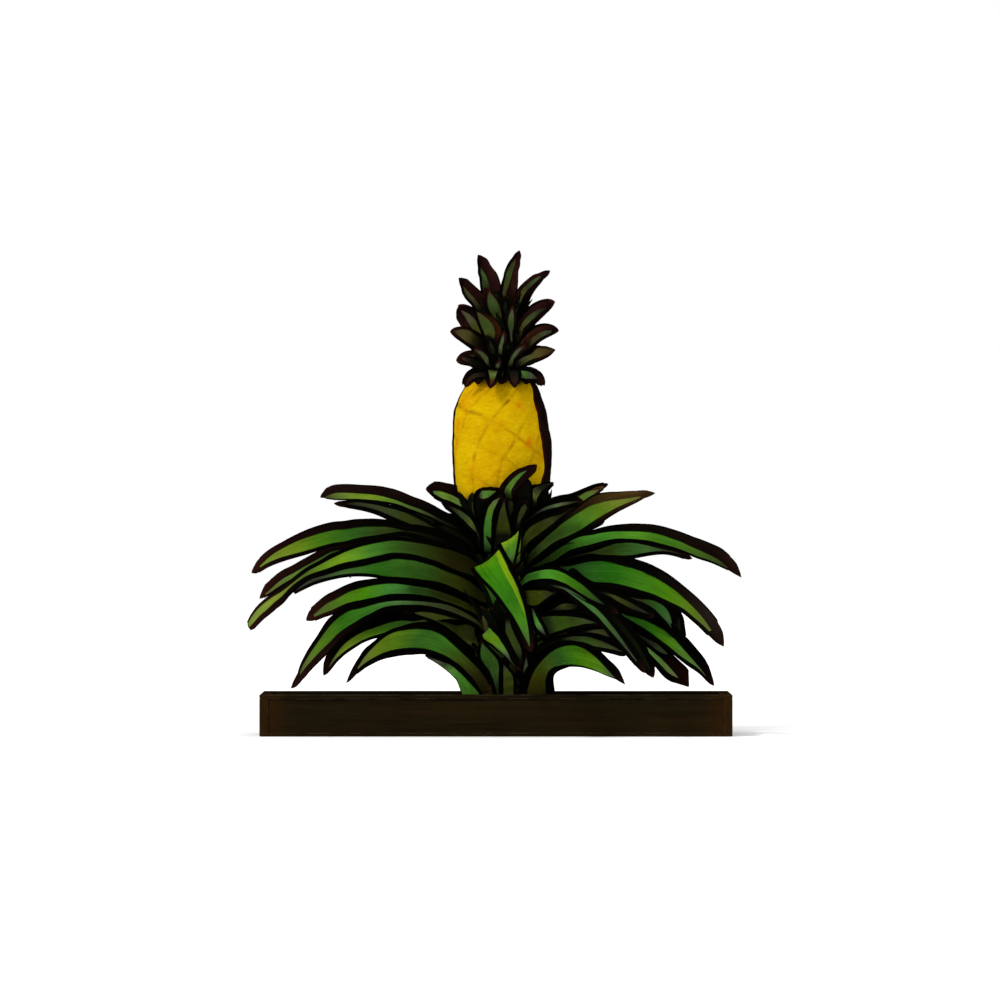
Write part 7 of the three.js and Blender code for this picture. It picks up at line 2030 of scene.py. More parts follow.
def sample_rows(rows, n):
    """Smooth the rows along the blade: n pairs of edge points, evenly spaced."""
    r = np.array(rows, float)
    c = (r[:, :3] + r[:, 3:]) / 2
    d = np.concatenate([[0], np.cumsum(np.linalg.norm(np.diff(c, axis=0), axis=1))])
    m = np.gradient(r, d, axis=0)
    t = np.linspace(0, d[-1], n)
    i = np.clip(np.searchsorted(d, t, side="right") - 1, 0, len(d) - 2)
    hh = (d[i + 1] - d[i])[:, None]
    q = ((t - d[i])[:, None]) / hh
    p0, p1, m0, m1 = r[i], r[i + 1], m[i], m[i + 1]
    out = ((2 * q ** 3 - 3 * q ** 2 + 1) * p0 + (q ** 3 - 2 * q ** 2 + q) * hh * m0
           + (-2 * q ** 3 + 3 * q ** 2) * p1 + (q ** 3 - q ** 2) * hh * m1)
    return out, t


def profile(v, S):
    """Even list of values along the blade."""
    return np.interp(S, np.linspace(0, 1, len(v)), v)


def fitted_leaf(p, n=54, cols=17, axis_x=None, reach=24.0, mat=None, thick_mm=3.0, gentle=1.0):
    """A leaf given by the two edges of its coloured face, with a dark margin outside each edge
    (mu above, ml below), a dark point ext long beyond, and a foot running in to the stem."""
    R, t = sample_rows(p["rows"], n)
    L, Q = R[:, :3], R[:, 3:]
    C = (L + Q) / 2
    ext = float(p["ext"])
    total = t[-1]
    tip_dir = unit((C[-1] - C[-4])[None])[0]
    ne = 9
    e = np.linspace(0, 1, ne + 1)[1:]
    tail = C[-1] + np.outer(e * ext, tip_dir)
    # the foot
    ax = np.array([PLANT_X if axis_x is None else axis_x, 0.0])
    d0 = C[0, :2] - ax
    far = np.linalg.norm(d0)
    nf = 0
    C = np.concatenate([C, tail])
    t = np.concatenate([t, total + e * ext])
    half = np.linalg.norm(Q - L, axis=1) / 2
    Dir = Q - L
    hs = np.concatenate([half, np.zeros(ne)])
    U = unit(np.concatenate([Dir, np.repeat(Dir[-6:-5], ne, 0)]))
    k = len(L) - 5
    U[k:] = U[k - 1]
    if far > reach + 3:
        nf = 6
        q = np.linspace(1, 0, nf + 1)[:-1]
        gap = far - (reach - 3)
        drop = np.array([-d0[0] / far * gap, -d0[1] / far * gap, -0.45 * gap])
        foot = C[0] + q[:, None] * drop
        C = np.concatenate([foot, C])
        t = np.concatenate([-q * np.linalg.norm(drop), t])
        hs = np.concatenate([half[0] * (1 - 0.35 * q), hs])
        U = np.concatenate([np.repeat(U[:1], nf, 0), U])
    Sc = np.clip(t / t[-1], 0, 1)               # for colour and margins
    S = (t - t[0]) / (t[-1] - t[0])             # for shape
    T = unit(np.gradient(C, t, axis=0))
    Up = U - (U * T).sum(1)[:, None] * T
    sq = np.maximum(np.linalg.norm(Up, axis=1), 0.35)
    Q_ = np.clip(t / total, 0, 1)
    mu, ml = profile(p["mu"], Q_), profile(p["ml"], Q_)
    endm = np.ones(len(t))
    endm[-ne:] = np.sqrt(np.clip(1 - e ** 1.6, 0, 1))
    lim = np.clip(p.get("blunt", 0.6) + (t[-1] - t) / (2.4 * (mu[-1] + ml[-1]) / 2), 0, 1)
    rootm = 0.6 + 0.4 * smooth(0, 0.12, S)
    mu, ml = mu * endm * lim * rootm / sq, ml * endm * lim * rootm / sq
    h = np.maximum(hs + (mu + ml) / 2, 0.2)
    C = C + U * ((ml - mu) / 2)[:, None]
    Nn = unit(np.cross(T, U))
    a, b = len(L) // 3 + nf, len(L) - 6 + nf
    flip = (Nn[a:b] @ np.array([0, -1.0, 0.25])).mean() < 0
    if flip:
        U, Nn = -U, -Nn
    a0 = mu / (2 * h)
    a1 = 1 - ml / (2 * h)
    thin = hs < 0.25
    a0 = np.where(thin, 0.56, a0)
    a1 = np.where(thin, 0.44, a1)
    # painted light and shade: each leaf's colours are scaled along its length, raised where it stands in shade and
    # lowered where it stands in full light
    l0, l1 = p.get("shade_lift", (1.0, 1.0))
    shade_lift = (l0 + (l1 - l0) * smooth(0.25, 0.75, Q_))[:, None]
    A = (a0, a1, shade_lift * grad(Q_, p["stops"]))
    B = no_strip(S)
    if "right" in p:
        frac, colours, s0, s1 = p["right"]
        w = frac * (a1 - a0) * smooth(s0, s0 + 0.1, Q_) * smooth(s1, s1 - 0.08, Q_)
        B = (np.where(thin, 2.0, a1 - w - 0.01), np.where(thin, -2.0, a1), shade_lift * grad(Q_, colours))
        A = (a0, a1 - w, A[2])
    edge = p["edge"]
    up, lo = edge if isinstance(edge, tuple) else (edge, edge)
    lk = dict(a=lambda q: A, b=lambda q: B, edge=lambda q: (grad(Sc, up), grad(Sc, lo)))
    kk = np.radians(np.full(len(S), 13.0)) * gentle
    sc = np.clip(h.max() / 24, 0.4, 1)
    thick = thick_mm * sc * (1 - 0.6 * S) * smooth(1.02, 0.9, S) + 0.25
    te = np.full(len(S), 0.9 * sc) * (0.35 + 0.65 * smooth(1.0, 0.85, S))
    return blade_mesh("blade_" + p["name"], C, U, Nn, S, h, kk, thick, te, lk, upper_is_minus=not flip,
                      cols=cols, wave=0.35, mat=mat, seed=_rs.uniform(0.05, 0.95), curl=1.9)


SPLIT = {q["name"] for q in LEFT_LEAVES + RIGHT_LEAVES if q.get("split")}
for _p in PANELS:
    _o = fitted_leaf(_p)
    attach(_o, "root")
    _nodes = [_p["name"] + "_base", _p["name"] + "_tip"] if _p["name"] in SPLIT else [_p["name"]]
    if all(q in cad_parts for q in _nodes):
        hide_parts(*_nodes)

for _leaf in LEFT_LEAVES + RIGHT_LEAVES + FRONT_LEAVES + BACK_LEAVES + YOUNG_LEAVES:
    if _leaf["name"] not in FITTED:
        add_leaf(_leaf, PLANT_X, LOOK.get(_leaf["name"], std()))


# ------------------------------------------------------------------ inner leaves
def spread(i, n, lo, hi):
    return lo + (hi - lo) * i / max(1, n - 1)


_in = np.random.RandomState(21)
N_INNER = 46
for _i in range(N_INNER):
    _z = spread(_i, N_INNER, 16, 250)
    _az = (_i * 137.508 + 20) % 360
    _facing = math.sin(math.radians(_az)) < 0.1
    if _facing:
        _len, _rise, _fall = (44 if _z < 78 else 62) + 14 * _in.rand(), 82, 56
    elif _z < 78:
        _len, _rise, _fall = 62 + 10 * _in.rand(), 80, 48
    elif _z < 200:
        _len, _rise, _fall = 128 + 30 * _in.rand(), 58, -8
    else:
        _len, _rise, _fall = 78 + 22 * _in.rand(), 62, 24
    # dark olive with black margins: painted shade for the inside of the rosette
    _shade_look = look(strip(0.05, 0.8, 0.5, 0.16, [(0.0, OLIVE_DK), (0.5, OLIVE_DK), (0.8, OLIVE)]), None, BLACK_EDGE)
    add_leaf(dict(name="inner_%02d" % _i, az=_az, rise=_rise + 6 * _in.randn(), fall=_fall + 8 * _in.randn(), ease=0.9,
                  len=_len, r0=23.5, z0=_z, w=50 + 10 * _in.rand(), roll=24 * (1 if math.cos(math.radians(_az)) >= 0 else 1)),
             PLANT_X, _shade_look, n_st=30, cols=13, tc=3.0)

# broad leaves behind the stem, filling the middle of the plant; their dark olive colours are painted shade
for _i, (_az, _z, _len, _rise, _fall) in enumerate((
        (152, 214, 128, 44, 4), (140, 186, 128, 42, 0), (160, 160, 124, 40, -6), (136, 132, 122, 42, -10), (156, 104, 118, 44, -16),
        (30, 214, 124, 44, 6), (42, 188, 130, 42, 0), (22, 160, 124, 40, -4), (44, 130, 124, 42, -10), (26, 100, 116, 44, -18),
        (120, 226, 110, 52, 16), (62, 222, 110, 52, 16), (128, 70, 100, 50, -6), (52, 70, 100, 50, -6))):
    add_leaf(dict(name="backing_%02d" % _i, az=_az, rise=_rise, fall=_fall, ease=0.9, len=_len, r0=23.5, z0=_z, w=62,
                  roll=46 if abs(90 - _az) > 35 else 20), PLANT_X,
             look(strip(0.1, 0.85, 0.5, 0.12, [(0.0, OLIVE_DK), (0.8, leafy(36, 40, 18))]), None, BLACK_EDGE), n_st=30, cols=13, tc=3.0)

# young leaves cupping the foot of the fruit; their near-black olive colours are painted shade under the fruit
for _i, _az in enumerate((-156, -128, -104, -80, -54, -28, 0, 30, 58, 86, 114, 144, 172)):
    _lk = look(strip(0.35, 0.85, 0.5, 0.12, [(0.3, leafy(20, 22, 9)), (0.7, leafy(34, 38, 14)), (0.95, leafy(30, 40, 16))]), None, BLACK_EDGE)
    add_leaf(dict(name="collar_%02d" % _i, az=_az + 3 * _in.randn(), rise=16, fall=84 + 5 * _in.randn(), ease=0.9, len=74 + 8 * _in.rand(),
                  r0=28, z0=256 + 4 * _in.randn(), w=32, roll=0), PLANT_X, _lk, n_st=30, cols=13, tc=2.4)

# ------------------------------------------------------------------ the crown
CROWN_BASE = [(0.0, leafy(20, 20, 9)), (0.3, leafy(44, 42, 16)), (0.5, leafy(66, 70, 26)), (0.8, leafy(62, 74, 32)), (1.0, leafy(60, 34, 20))]
CROWN_GREEN = [(0.0, leafy(24, 26, 10)), (0.25, leafy(52, 66, 26)), (0.5, leafy(68, 104, 44)), (0.85, leafy(66, 100, 46)), (1.0, leafy(50, 50, 24))]
CROWN_BROWN = [(0.0, leafy(24, 20, 9)), (0.4, leafy(70, 58, 20)), (0.8, leafy(84, 72, 32)), (1.0, leafy(60, 34, 20))]
CROWN_LOOK = {
    "crown_leaf_1": look(strip(0.25, 0.84, 0.66, 0.15, CROWN_BASE), None, CROWN_EDGE),
    "crown_leaf_2": look(strip(0.3, 0.9, 0.34, 0.15, CROWN_BASE), None, CROWN_EDGE),
    "crown_leaf_3": look(strip(0.3, 0.93, 0.5, 0.17, CROWN_BASE), None, CROWN_EDGE),
    "crown_leaf_4": look(strip(0.2, 0.92, 0.5, 0.18, CROWN_GREEN), None, CROWN_EDGE),
    "crown_leaf_5": look(strip(0.3, 0.92, 0.56, 0.22, CROWN_BASE), None, CROWN_EDGE),
    "crown_leaf_6": look(strip(0.2, 0.94, 0.55, 0.28, CROWN_BROWN), None, CROWN_EDGE),
    "crown_leaf_9": look(strip(0.2, 0.95, 0.5, 0.27, CROWN_BROWN), None, CROWN_EDGE),
}
FITTED_CROWN = {_p["name"]: _p for _p in CROWN_PANELS if _p["name"].startswith("crown_leaf")}
# near black: painted shade for crown leaves in the middle of the crown's front
PLAIN_DARK = [(0.0, BLACK), (1.0, lin(12, 10, 6))]
CROWN_LOOK["crown_leaf_front"] = look(strip(0.2, 0.9, 0.5, 0.16, PLAIN_DARK), None, BLACK_EDGE)
for _leaf in CROWN_LEAVES:
    if _leaf["name"] in FITTED_CROWN:
        _o = fitted_leaf(FITTED_CROWN[_leaf["name"]], n=36, cols=15, axis_x=CROWN_X, reach=12.0, mat=CROWN_LEAF, thick_mm=2.4)
        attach(_o, "root")
        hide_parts(_leaf["name"])
        continue
    add_leaf(_leaf, CROWN_X, CROWN_LOOK.get(_leaf["name"], look(strip(0.2, 0.9, 0.5, 0.22, CROWN_BASE), None, CROWN_EDGE)),
             slot="crown_leaves", mat=CROWN_LEAF, n_st=34, tc=2.4, cols=13, wave=0.5)

for _p in CROWN_PANELS:
    if _p["name"].startswith("crown_front"):
        _o = fitted_leaf(_p, n=34, cols=13, axis_x=CROWN_X, reach=10.0, mat=CROWN_LEAF, thick_mm=2.4)
        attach(_o, "root")

_PROF = [(500, 66), (520, 70), (552, 74), (575, 66), (600, 56), (620, 36)]
_cr = np.random.RandomState(11)
N_CROWN = 54
for _i in range(N_CROWN):
    _f = _i / (N_CROWN - 1)
    _z = 506 + 112 * _f ** 0.95
    _r = np.interp(_z, [p for p, _ in _PROF], [q for _, q in _PROF]) * (0.62 + 0.26 * _cr.rand())
    _az = (_i * 137.508 + 70) % 360
    _fr = -90 % 360
    _leaf = dict(name="crown_inner_%02d" % _i, az=_az, tip_r=max(25.0, _r), tip_z=_z, rise=62 + 26 * _f, fall=-4 + 74 * _f + 6 * _cr.randn(),
                 ease=1.2, w=30 - 8 * _f, roll=(10 if math.cos(math.radians(_az)) >= 0 else 10), r0=12.0)
    _st, _ed = (CROWN_BASE if _i % 3 else CROWN_GREEN), CROWN_EDGE
    if math.cos(math.radians(_az + 90)) > 0.3:      # the shaded middle of the front
        _st, _ed = PLAIN_DARK, BLACK_EDGE
    add_leaf(crown_lengths(_leaf), CROWN_X, look(strip(0.3, 0.9, 0.5, 0.15, _st), None, _ed), slot="crown_leaves",
             mat=CROWN_LEAF, n_st=24, tc=2.2, cols=11, wave=0.4)

# small curled leaves over the fruit's shoulder
SKIRT = [(-128, 54, 30), (-92, 54, 30), (-56, 54, 30), (-20, 56, 32), (14, 56, 32), (50, 60, 34), (86, 60, 34), (122, 60, 34), (156, 56, 32), (188, 54, 30), (-158, 54, 30)]
for _i, (_az, _len, _w) in enumerate(SKIRT):
    _o = add_leaf(dict(name="crown_skirt_b%02d" % _i, az=_az, rise=14, fall=-80, ease=1.15, len=_len, r0=20, z0=494, w=_w, roll=0),
                  CROWN_X, look(strip(0.3, 0.8, 0.5, 0.10, [(0.3, leafy(30, 34, 14)), (0.8, leafy(40, 52, 24))]), None,
                                [(0.0, BLACK), (0.7, BLACK), (1.0, lin(30, 12, 10))]),
                  slot="crown_leaves", mat=CROWN_LEAF, n_st=30, tc=2.2, cols=13, wave=0.3)
    if _i == 0:
        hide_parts("crown_skirt", "crown_heart")
for _p in CROWN_PANELS:
    if _p["name"].startswith("crown_skirt"):
        _o = fitted_leaf(_p, n=30, cols=13, axis_x=CROWN_X, reach=22.0, mat=CROWN_LEAF, thick_mm=2.2)
        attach(_o, "root")

# ------------------------------------------------------------------ the fruit
FRUIT_X = 7.5
FRUIT_BOTTOM = 295.0
FRUIT_HEIGHT = 187.0
FRUIT_RADIUS = 76.0


def fruit_radius(t):
    return FRUIT_RADIUS * (1 - 0.04 * t) * np.sin(math.pi * np.clip(t, 1e-6, 1 - 1e-6)) ** np.where(t < 0.5, 0.08, 0.185)


EYE_M, EYE_N = 6, 10            # the two families of spirals


def table(x, *pairs):
    return np.interp(x, [p[0] for p in pairs], [p[1] for p in pairs])


def near(a, b, a0, b0, ra, rb):
    return np.exp(-((a - a0) / ra) ** 2 - ((b - b0) / rb) ** 2)


def make_fruit():
    nt, na = 250, 336
    q = np.linspace(0, 1, nt)
    t = 0.5 - 0.5 * np.cos(math.pi * (0.06 + 0.88 * q))
    t = (t - t[0]) / (t[-1] - t[0])
    t = 0.004 + 0.99 * t
    a = np.linspace(0, 2 * math.pi, na, endpoint=False)
    T, A = np.meshgrid(t, a, indexing="ij")
    R = fruit_radius(T)
    z = FRUIT_BOTTOM + FRUIT_HEIGHT * T
    # the real outline is a little uneven, and its middle line sways
    R = R + table(z, (295, 0), (312, 1.8), (328, 1.0), (343, 0.3), (385, 0.2), (403, -1.2), (418, -1.0), (433, -0.6),
                  (448, -1.9), (463, -1.9), (472, -0.4), (482, 0))
    sway = table(z, (295, 1.4), (372, 1.6), (388, 1.3), (397, 0.6), (404, -0.2), (418, -0.9), (433, -1.4), (448, -1.3), (455, -0.9), (463, 0), (482, 0.8))
    # distance along the meridian, so the eyes keep their shape on the shoulders
    dr = np.diff(fruit_radius(t))
    arc = np.concatenate([[0], np.cumsum(np.hypot(dr, np.diff(t) * FRUIT_HEIGHT))])
    L = np.interp(T, t, arc)
    turn = (np.degrees(A) + 90 + 180) % 360 - 180          # degrees from the front
    # steep spirals lean less towards the foot; gentle ones lie flatter on the left
    height = z - FRUIT_BOTTOM
    steep = table(height, (-10, -37), (37, -37), (58, -35.6), (67, -34.5), (80, -30.5), (93, -26.2), (102, -21.5), (111, -17.6), (122, -12.6),
                  (133, -3.7), (145, 5.2), (150, 10.6), (166, 23), (185, 38))
    after = table(height, (-10, 28), (40, 32), (63, 36), (84, 41), (121, 43.5), (150, 42), (190, 38))
    fa = (turn - steep) / 36 - (after / 36 - 1) * np.exp(-((turn - steep - after) / 20) ** 2) \
        + 0.2 * np.exp(-((turn - steep + 44) / 20) ** 2) * smooth(120, 140, height)
    gentle = table(turn, (-180, 242), (-90, 152), (-54.8, 140.7), (-35, 135.5), (-24, 131), (-13.5, 122), (0, 116), (13, 104.7),
                   (22.7, 94.2), (33.5, 85.2), (60, 62), (90, 38), (180, -53.2))
    fd = (height - gentle) / 49.2 + 0.03 * np.sin(height * 0.07 + np.radians(turn) * 2)
    ud, ua = fd - np.floor(fd), fa - np.floor(fa)
    gd = np.minimum(ud, 1 - ud) * 2
    ga = np.minimum(ua, 1 - ua) * 2
    g = np.minimum(gd, ga)
    # a little rounding where grooves meet
    g = np.minimum(g, 0.5 * (gd + ga) - 0.06)
    g = np.clip(g, 0, 1)
    # some grooves are deep and others hardly show, and each one comes and goes
    near_d, near_a = np.round(fd), np.round(fa)
    sd = np.where(near_d == 0, 0.62 + 0.38 * np.maximum(near(turn, height, -32, 133, 16, 22), near(turn, height, 20, 97, 9, 16)), 0.22 + 0.12 * np.sin(near_d * 5.0))
    sa = np.where(near_a == 0, 0.60 + 0.40 * near(turn, height, 6, 146, 12, 14), 0.45 + 0.2 * np.sin(near_a * 3.0))
    sa = np.where(near_a == 1, 0.55 * smooth(125, 100, height) + 0.15, sa)
    depth = np.where(gd < ga, sd, sa) * (0.75 + 0.25 * np.sin(height * 0.21 + np.radians(turn) * 9))
    # riper patches
    patch = np.clip(near(turn, height, 27, 143, 6, 8) + 1.1 * near(turn, height, 33, 87, 7, 8) + 0.9 * near(turn, height, -63, 114, 6, 10)
                    + 0.9 * near(turn, height, -54, 153, 9, 9) + 0.7 * near(turn, height, 150, 90, 16, 20) + 0.7 * near(turn, height, -150, 60, 14, 16), 0, 1)
    # a spiral that runs round to the back joins the next one there
    ida = np.mod(np.floor(fa), EYE_N)
    rnd = np.modf(np.sin(np.mod(np.floor(fd), EYE_M) * 12.9898 + ida * 78.233 + 3.1) * 43758.5453)[0]
    rnd = np.abs(rnd)
    dome = 1 - (1 - np.clip(g * 1.25, 0, 1)) ** 2.2
    relief = depth * (-1.5 + 1.5 * dome) + 0.5 * (rnd - 0.5) * dome
    relief = relief + 0.25 * np.sin(A * 41 + L * 0.5) * np.sin(L * 0.9 + A * 13)
    ends = smooth(0.0, 0.03, T) * smooth(1.0, 0.97, T)
    Rr = R + relief * ends
    X = FRUIT_X + sway + Rr * np.cos(A)
    Y = Rr * np.sin(A)
    Z = SOIL_TOP + z
    verts = np.stack([X, Y, Z], -1).reshape(-1, 3)
    lo, hi = len(verts), len(verts) + 1
    verts = np.concatenate([verts, [[FRUIT_X, 0, SOIL_TOP + FRUIT_BOTTOM + 1.2]], [[FRUIT_X, 0, SOIL_TOP + FRUIT_BOTTOM + FRUIT_HEIGHT - 1.2]]]) * MM
    ii, jj = np.meshgrid(np.arange(nt - 1), np.arange(na), indexing="ij")
    a0 = (ii * na + jj).ravel()
    b0 = (ii * na + (jj + 1) % na).ravel()
    faces = np.stack([a0, b0, b0 + na, a0 + na], 1).tolist()
    for j in range(na):
        k = (j + 1) % na
        faces.append((lo, k, j))
        faces.append((hi, (nt - 1) * na + j, (nt - 1) * na + k))
    # painted shade: a dark flank on the side away from the light, fading out towards the back, and a thin painted dark
    # line at the edge on the other side
    dang = np.degrees(np.angle(np.exp(1j * A)))
    line = table(z, (295, -37), (322, -37), (328, -36), (340, -31.5), (350, -31), (358, -32.4), (373, -36.3), (388, -37.7),
                 (427, -38), (436, -39.4), (448, -39), (463, -34.5), (482, -34))
    shade_flank = smooth(line - 1.0, line + 1.2, dang) * smooth(75, 70, dang)
    turned = np.degrees(A) % 360
    shade_flank = np.maximum(shade_flank, smooth(197.5, 194.5, turned) * smooth(168, 180, turned))
    shade_fade = np.where((dang > -60) & (dang < 90), 1 - smooth(-4, 52, dang), smooth(176, 187, turned))
    # a maroon rim along the edge of the painted shade
    rim = smooth(line - 1.0, line + 0.5, dang) * smooth(line + 5.0, line + 2.5, dang)
    at = {}
    for key, val in (("groove", g), ("depth", depth), ("eye", rnd), ("patch", patch), ("rim", rim), ("shade_flank", shade_flank), ("shade_fade", shade_fade)):
        at[key] = np.concatenate([val.reshape(-1), [val[0].mean(), val[-1].mean()]])
    o = make_mesh("fruit_rind", verts, faces, None, at, mats=[FRUIT])
    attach(o, "root")
    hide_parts("fruit")
    return o


make_fruit()


# ------------------------------------------------------------------ stem and stalk
def revolve(name, zs, rad_fn, x0, sides, relief, mat, nodes):
    nz = len(zs)
    a = np.linspace(0, 2 * math.pi, sides, endpoint=False)
    Z, A = np.meshgrid(zs, a, indexing="ij")
    rel, hollow_shade = relief(Z, A)
    R = rad_fn(Z) + rel
    verts = np.stack([x0 + R * np.cos(A), R * np.sin(A), SOIL_TOP + Z], -1).reshape(-1, 3)
    lo, hi = len(verts), len(verts) + 1
    verts = np.concatenate([verts, [[x0, 0, SOIL_TOP + zs[0]]], [[x0, 0, SOIL_TOP + zs[-1]]]]) * MM
    ii, jj = np.meshgrid(np.arange(nz - 1), np.arange(sides), indexing="ij")
    a0 = (ii * sides + jj).ravel()
    b0 = (ii * sides + (jj + 1) % sides).ravel()
    faces = np.stack([a0, b0, b0 + sides, a0 + sides], 1).tolist()
    for j in range(sides):
        k = (j + 1) % sides
        faces.append((lo, k, j))
        faces.append((hi, (nz - 1) * sides + j, (nz - 1) * sides + k))
    o = make_mesh(name, verts, faces, None, {"hollow_shade": np.concatenate([hollow_shade.reshape(-1), [0, 0]])}, mats=[mat])
    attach(o, "root")
    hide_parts(*nodes)
    return o


def stem_radius(h):
    return 25 + 22 * np.exp(-h / 14) - 6 * smooth(120, 245, h)


def stem_relief(Z, A):
    # rows of old leaf bases, staggered from one row to the next
    row = Z / 17.0 + 0.35 * np.sin(A * 2 + 0.7)
    k = np.floor(row)
    f = row - k
    lobe = 0.5 + 0.5 * np.cos(A * 5 + k * 2.4)
    step = (1 - f) ** 1.6
    rel = -1.6 + 2.6 * step * (0.4 + 0.6 * lobe) + 0.35 * np.sin(A * 60 + 3 * np.sin(Z * 0.1))
    # the second value is painted shade, strongest in the recess under each row
    return rel, np.clip(1.2 * (1 - step * (0.5 + 0.5 * lobe)) - 0.25, 0, 1)


revolve("stem_bark", np.linspace(3.2, 244.8, 190), stem_radius, PLANT_X, 144, stem_relief, STEM, ["stem"])


def stalk_radius(h):
    return 15 + 2 * smooth(262, 245, h) + 6 * smooth(280, 295, h)


def stalk_relief(Z, A):
    r = 0.5 * np.cos(A * 7 + Z * 0.08)
    # an even, light share of painted shade over the whole stalk
    return r - 0.5, 0.3 + 0 * r


revolve("stalk_bark", np.linspace(245.4, 294.6, 40), stalk_radius, PLANT_X, 72, stalk_relief, STEM, ["fruit_stalk"])


# ------------------------------------------------------------------ trough and soil
def board(name, x0, x1, y0, y1, z0, z1, mat, bevel=2.0, seg=(40, 6, 6), warp=0.25, seed=0, end_axis=0, end_len=55.0,
          worn_edges=True, soft_end=True):
    """One sawn board: a finely divided box with rounded arrises and a slightly uneven face."""
    import bmesh
    bm = bmesh.new()
    bmesh.ops.create_cube(bm, size=1.0)
    bmesh.ops.scale(bm, vec=((x1 - x0) * MM, (y1 - y0) * MM, (z1 - z0) * MM), verts=bm.verts)
    bmesh.ops.translate(bm, vec=((x0 + x1) / 2 * MM, (y0 + y1) / 2 * MM, (z0 + z1) / 2 * MM), verts=bm.verts)
    bmesh.ops.bevel(bm, geom=list(bm.edges), offset=bevel * MM, segments=3, profile=0.6, affect="EDGES")
    # cuts across the long axis give the faces room to be uneven
    axis = max(range(3), key=lambda i: (x1 - x0, y1 - y0, z1 - z0)[i])
    lo, hi = (x0, y0, z0)[axis], (x1, y1, z1)[axis]
    for c in np.linspace(lo + 6, hi - 6, seg[0]):
        co = [0, 0, 0]
        no = [0, 0, 0]
        co[axis] = c * MM
        no[axis] = 1
        bmesh.ops.bisect_plane(bm, geom=list(bm.verts) + list(bm.edges) + list(bm.faces), plane_co=co, plane_no=no)
    me = bpy.data.meshes.new(name)
    bm.to_mesh(me)
    bm.free()
    co = np.zeros(len(me.vertices) * 3)
    me.vertices.foreach_get("co", co)
    co = co.reshape(-1, 3) / MM
    rs = np.random.RandomState(seed)
    ph = rs.uniform(0, 6.28, 6)
    q = co[:, axis]
    other = [i for i in range(3) if i != axis]
    for n_, i in enumerate(other):
        co[:, i] += warp * (np.sin(q * 0.013 + ph[n_]) + 0.5 * np.sin(q * 0.047 + ph[n_ + 2])) * 0.5 - warp * 0.75 * np.sign(co[:, i] - (x0 + x1, y0 + y1, z0 + z1)[i] / 2)
    me.vertices.foreach_set("co", (co * MM).ravel())
    b = np.array([[x0, x1], [y0, y1], [z0, z1]], float)
    de = np.minimum(np.abs(co[:, end_axis] - b[end_axis, 0]), np.abs(co[:, end_axis] - b[end_axis, 1]))
    ends = 1 - smooth(0, end_len, de) if soft_end else np.zeros(len(co))
    near = np.stack([np.minimum(np.abs(co[:, i] - b[i, 0]), np.abs(co[:, i] - b[i, 1])) for i in range(3)], 1)
    near.sort(axis=1)
    worn = (1 - smooth(0.4, bevel * 1.1, near[:, 1])) if worn_edges else np.zeros(len(co))
    for key, val in (("ends", ends), ("worn", worn)):
        a = me.attributes.new(key, "FLOAT", "POINT")
        a.data.foreach_set("value", val.astype(np.float32))
    me.polygons.foreach_set("use_smooth", np.ones(len(me.polygons), bool))
    me.materials.append(mat)
    o = bpy.data.objects.new(name, me)
    scene.collection.objects.link(o)
    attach(o, "root")
    mod = o.modifiers.new("wn", "WEIGHTED_NORMAL")
    mod.keep_sharp = True
    return o


HL, HD, H = 351.5, 120.0, 62.0
boards = [
    board("trough_front", -HL + 2, HL - 2, -HD + 2.2, -HD + 16, 3.0, 55.0, BOARD_X, 1.2, seed=1),
    board("trough_back", -HL + 2, HL - 2, HD - 16, HD - 2.2, 3.0, 55.0, BOARD_X, 1.2, seed=2),
    board("trough_end_left", -HL + 1.2, -HL + 16, -HD + 16.2, HD - 16.2, 3.0, 55.0, BOARD_Y, 1.2, seed=3, end_axis=1),
    board("trough_end_right", HL - 16, HL - 1.2, -HD + 16.2, HD - 16.2, 3.0, 55.0, BOARD_Y, 1.2, seed=4, end_axis=1),
    board("trough_floor", -HL + 4, HL - 4, -HD + 4, HD - 4, 0.4, 12.0, BOARD_X, 1.0, seed=5),
    board("trough_foot_front", -HL, HL, -HD, -HD + 17, 0.0, 5.2, BOARD_X, 1.1, seed=6, warp=0.1),
    board("trough_foot_back", -HL, HL, HD - 17, HD, 0.0, 5.2, BOARD_X, 1.1, seed=7, warp=0.1),
    board("trough_rim_front", -HL, HL, -HD, -HD + 17, 55.3, H, BOARD_X, 1.4, seed=8, warp=0.15),
    board("trough_rim_back", -HL, HL, HD - 17, HD, 55.3, H, BOARD_X, 1.4, seed=9, warp=0.15),
    board("trough_rim_left", -HL, -HL + 17, -HD + 17.2, HD - 17.2, 55.3, H, BOARD_Y, 1.4, seed=10, warp=0.15, end_axis=1),
    board("trough_rim_right", HL - 17, HL, -HD + 17.2, HD - 17.2, 55.3, H, BOARD_Y, 1.4, seed=11, warp=0.15, end_axis=1),
]
for _i, (_sx, _sy) in enumerate(((-1, -1), (1, -1), (-1, 1), (1, 1))):
    _cx, _cy = _sx * (HL - 6.5), _sy * (HD - 6.5)
    boards.append(board("trough_corner_%d" % _i, _cx - 6.5, _cx + 6.5, _cy - 6.5, _cy + 6.5, 5.3, 55.2, BOARD_Z, 1.0,
                        seg=(8, 1, 1), seed=20 + _i, warp=0.1, end_axis=2, soft_end=True))
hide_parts("planter_trough")


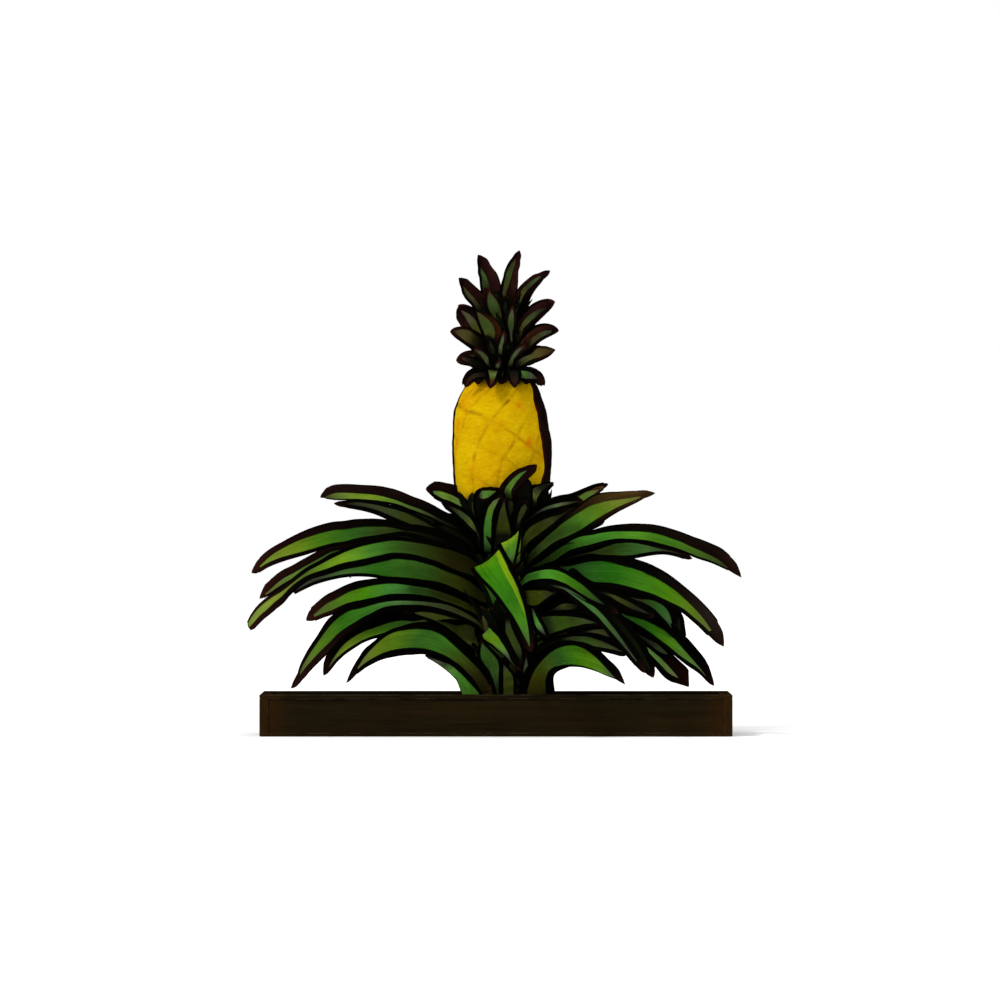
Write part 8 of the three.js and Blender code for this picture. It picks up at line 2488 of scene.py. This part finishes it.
def make_soil():
    x1, y1 = HL - 16.3, HD - 16.3
    nx, ny = 300, 92
    xs, ys = np.linspace(-x1, x1, nx), np.linspace(-y1, y1, ny)
    X, Y = np.meshgrid(xs, ys, indexing="ij")
    rs = np.random.RandomState(5)
    Z = SOIL_TOP + 3 * np.exp(-((X - PLANT_X) ** 2 + Y ** 2) / 130 ** 2) - 1.2
    for _ in range(420):
        cx, cy = rs.uniform(-x1, x1), rs.uniform(-y1, y1)
        r = rs.uniform(3, 10)
        hgt = rs.uniform(0.6, 2.6) * (1 if rs.rand() < 0.7 else -1)
        d2 = (X - cx) ** 2 + (Y - cy) ** 2
        Z += hgt * np.exp(-d2 / (r * r)) * (1 + 0.3 * np.sin(X * 0.9 + cy) * np.sin(Y * 0.8 + cx))
    Z = np.minimum(Z, SOIL_TOP + 4.5)
    Z += rs.normal(0, 0.28, Z.shape)
    top = np.stack([X, Y, Z], -1).reshape(-1, 3)
    bot = np.stack([X, Y, np.full_like(X, 12.4)], -1).reshape(-1, 3)
    o = nx * ny
    ii, jj = np.meshgrid(np.arange(nx - 1), np.arange(ny - 1), indexing="ij")
    a = (ii * ny + jj).ravel()
    faces = [np.stack([a, a + ny, a + ny + 1, a + 1], 1), np.stack([a + o, a + 1 + o, a + ny + 1 + o, a + ny + o], 1)]
    i = np.arange(nx - 1) * ny
    j = np.arange(ny - 1)
    faces.append(np.stack([i, i + o, i + ny + o, i + ny], 1))
    faces.append(np.stack([i + ny - 1, i + 2 * ny - 1, i + 2 * ny - 1 + o, i + ny - 1 + o], 1))
    faces.append(np.stack([j, j + 1, j + 1 + o, j + o], 1))
    e = (nx - 1) * ny
    faces.append(np.stack([e + j, e + j + o, e + j + 1 + o, e + j + 1], 1))
    ob = make_mesh("soil_bed", np.concatenate([top, bot]) * MM, np.concatenate(faces), None, {}, mats=[SOIL])
    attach(ob, "root")
    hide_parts("soil")


make_soil()

# ------------------------------------------------------------------ floor
_f = Nodes("floor_pale")
_f.finish(_f.mix(_f.noise(_f.coords(), 3.0), tuple(lin(254, 254, 254)), tuple(lin(255, 255, 255))), 0.9, None, 0.0)
floor = make_mesh("floor", [(-14, -14, -0.0004), (14, -14, -0.0004), (14, 14, -0.0004), (-14, 14, -0.0004)], [(0, 1, 2, 3)],
                  mats=[_f.mat], smooth_shade=False)
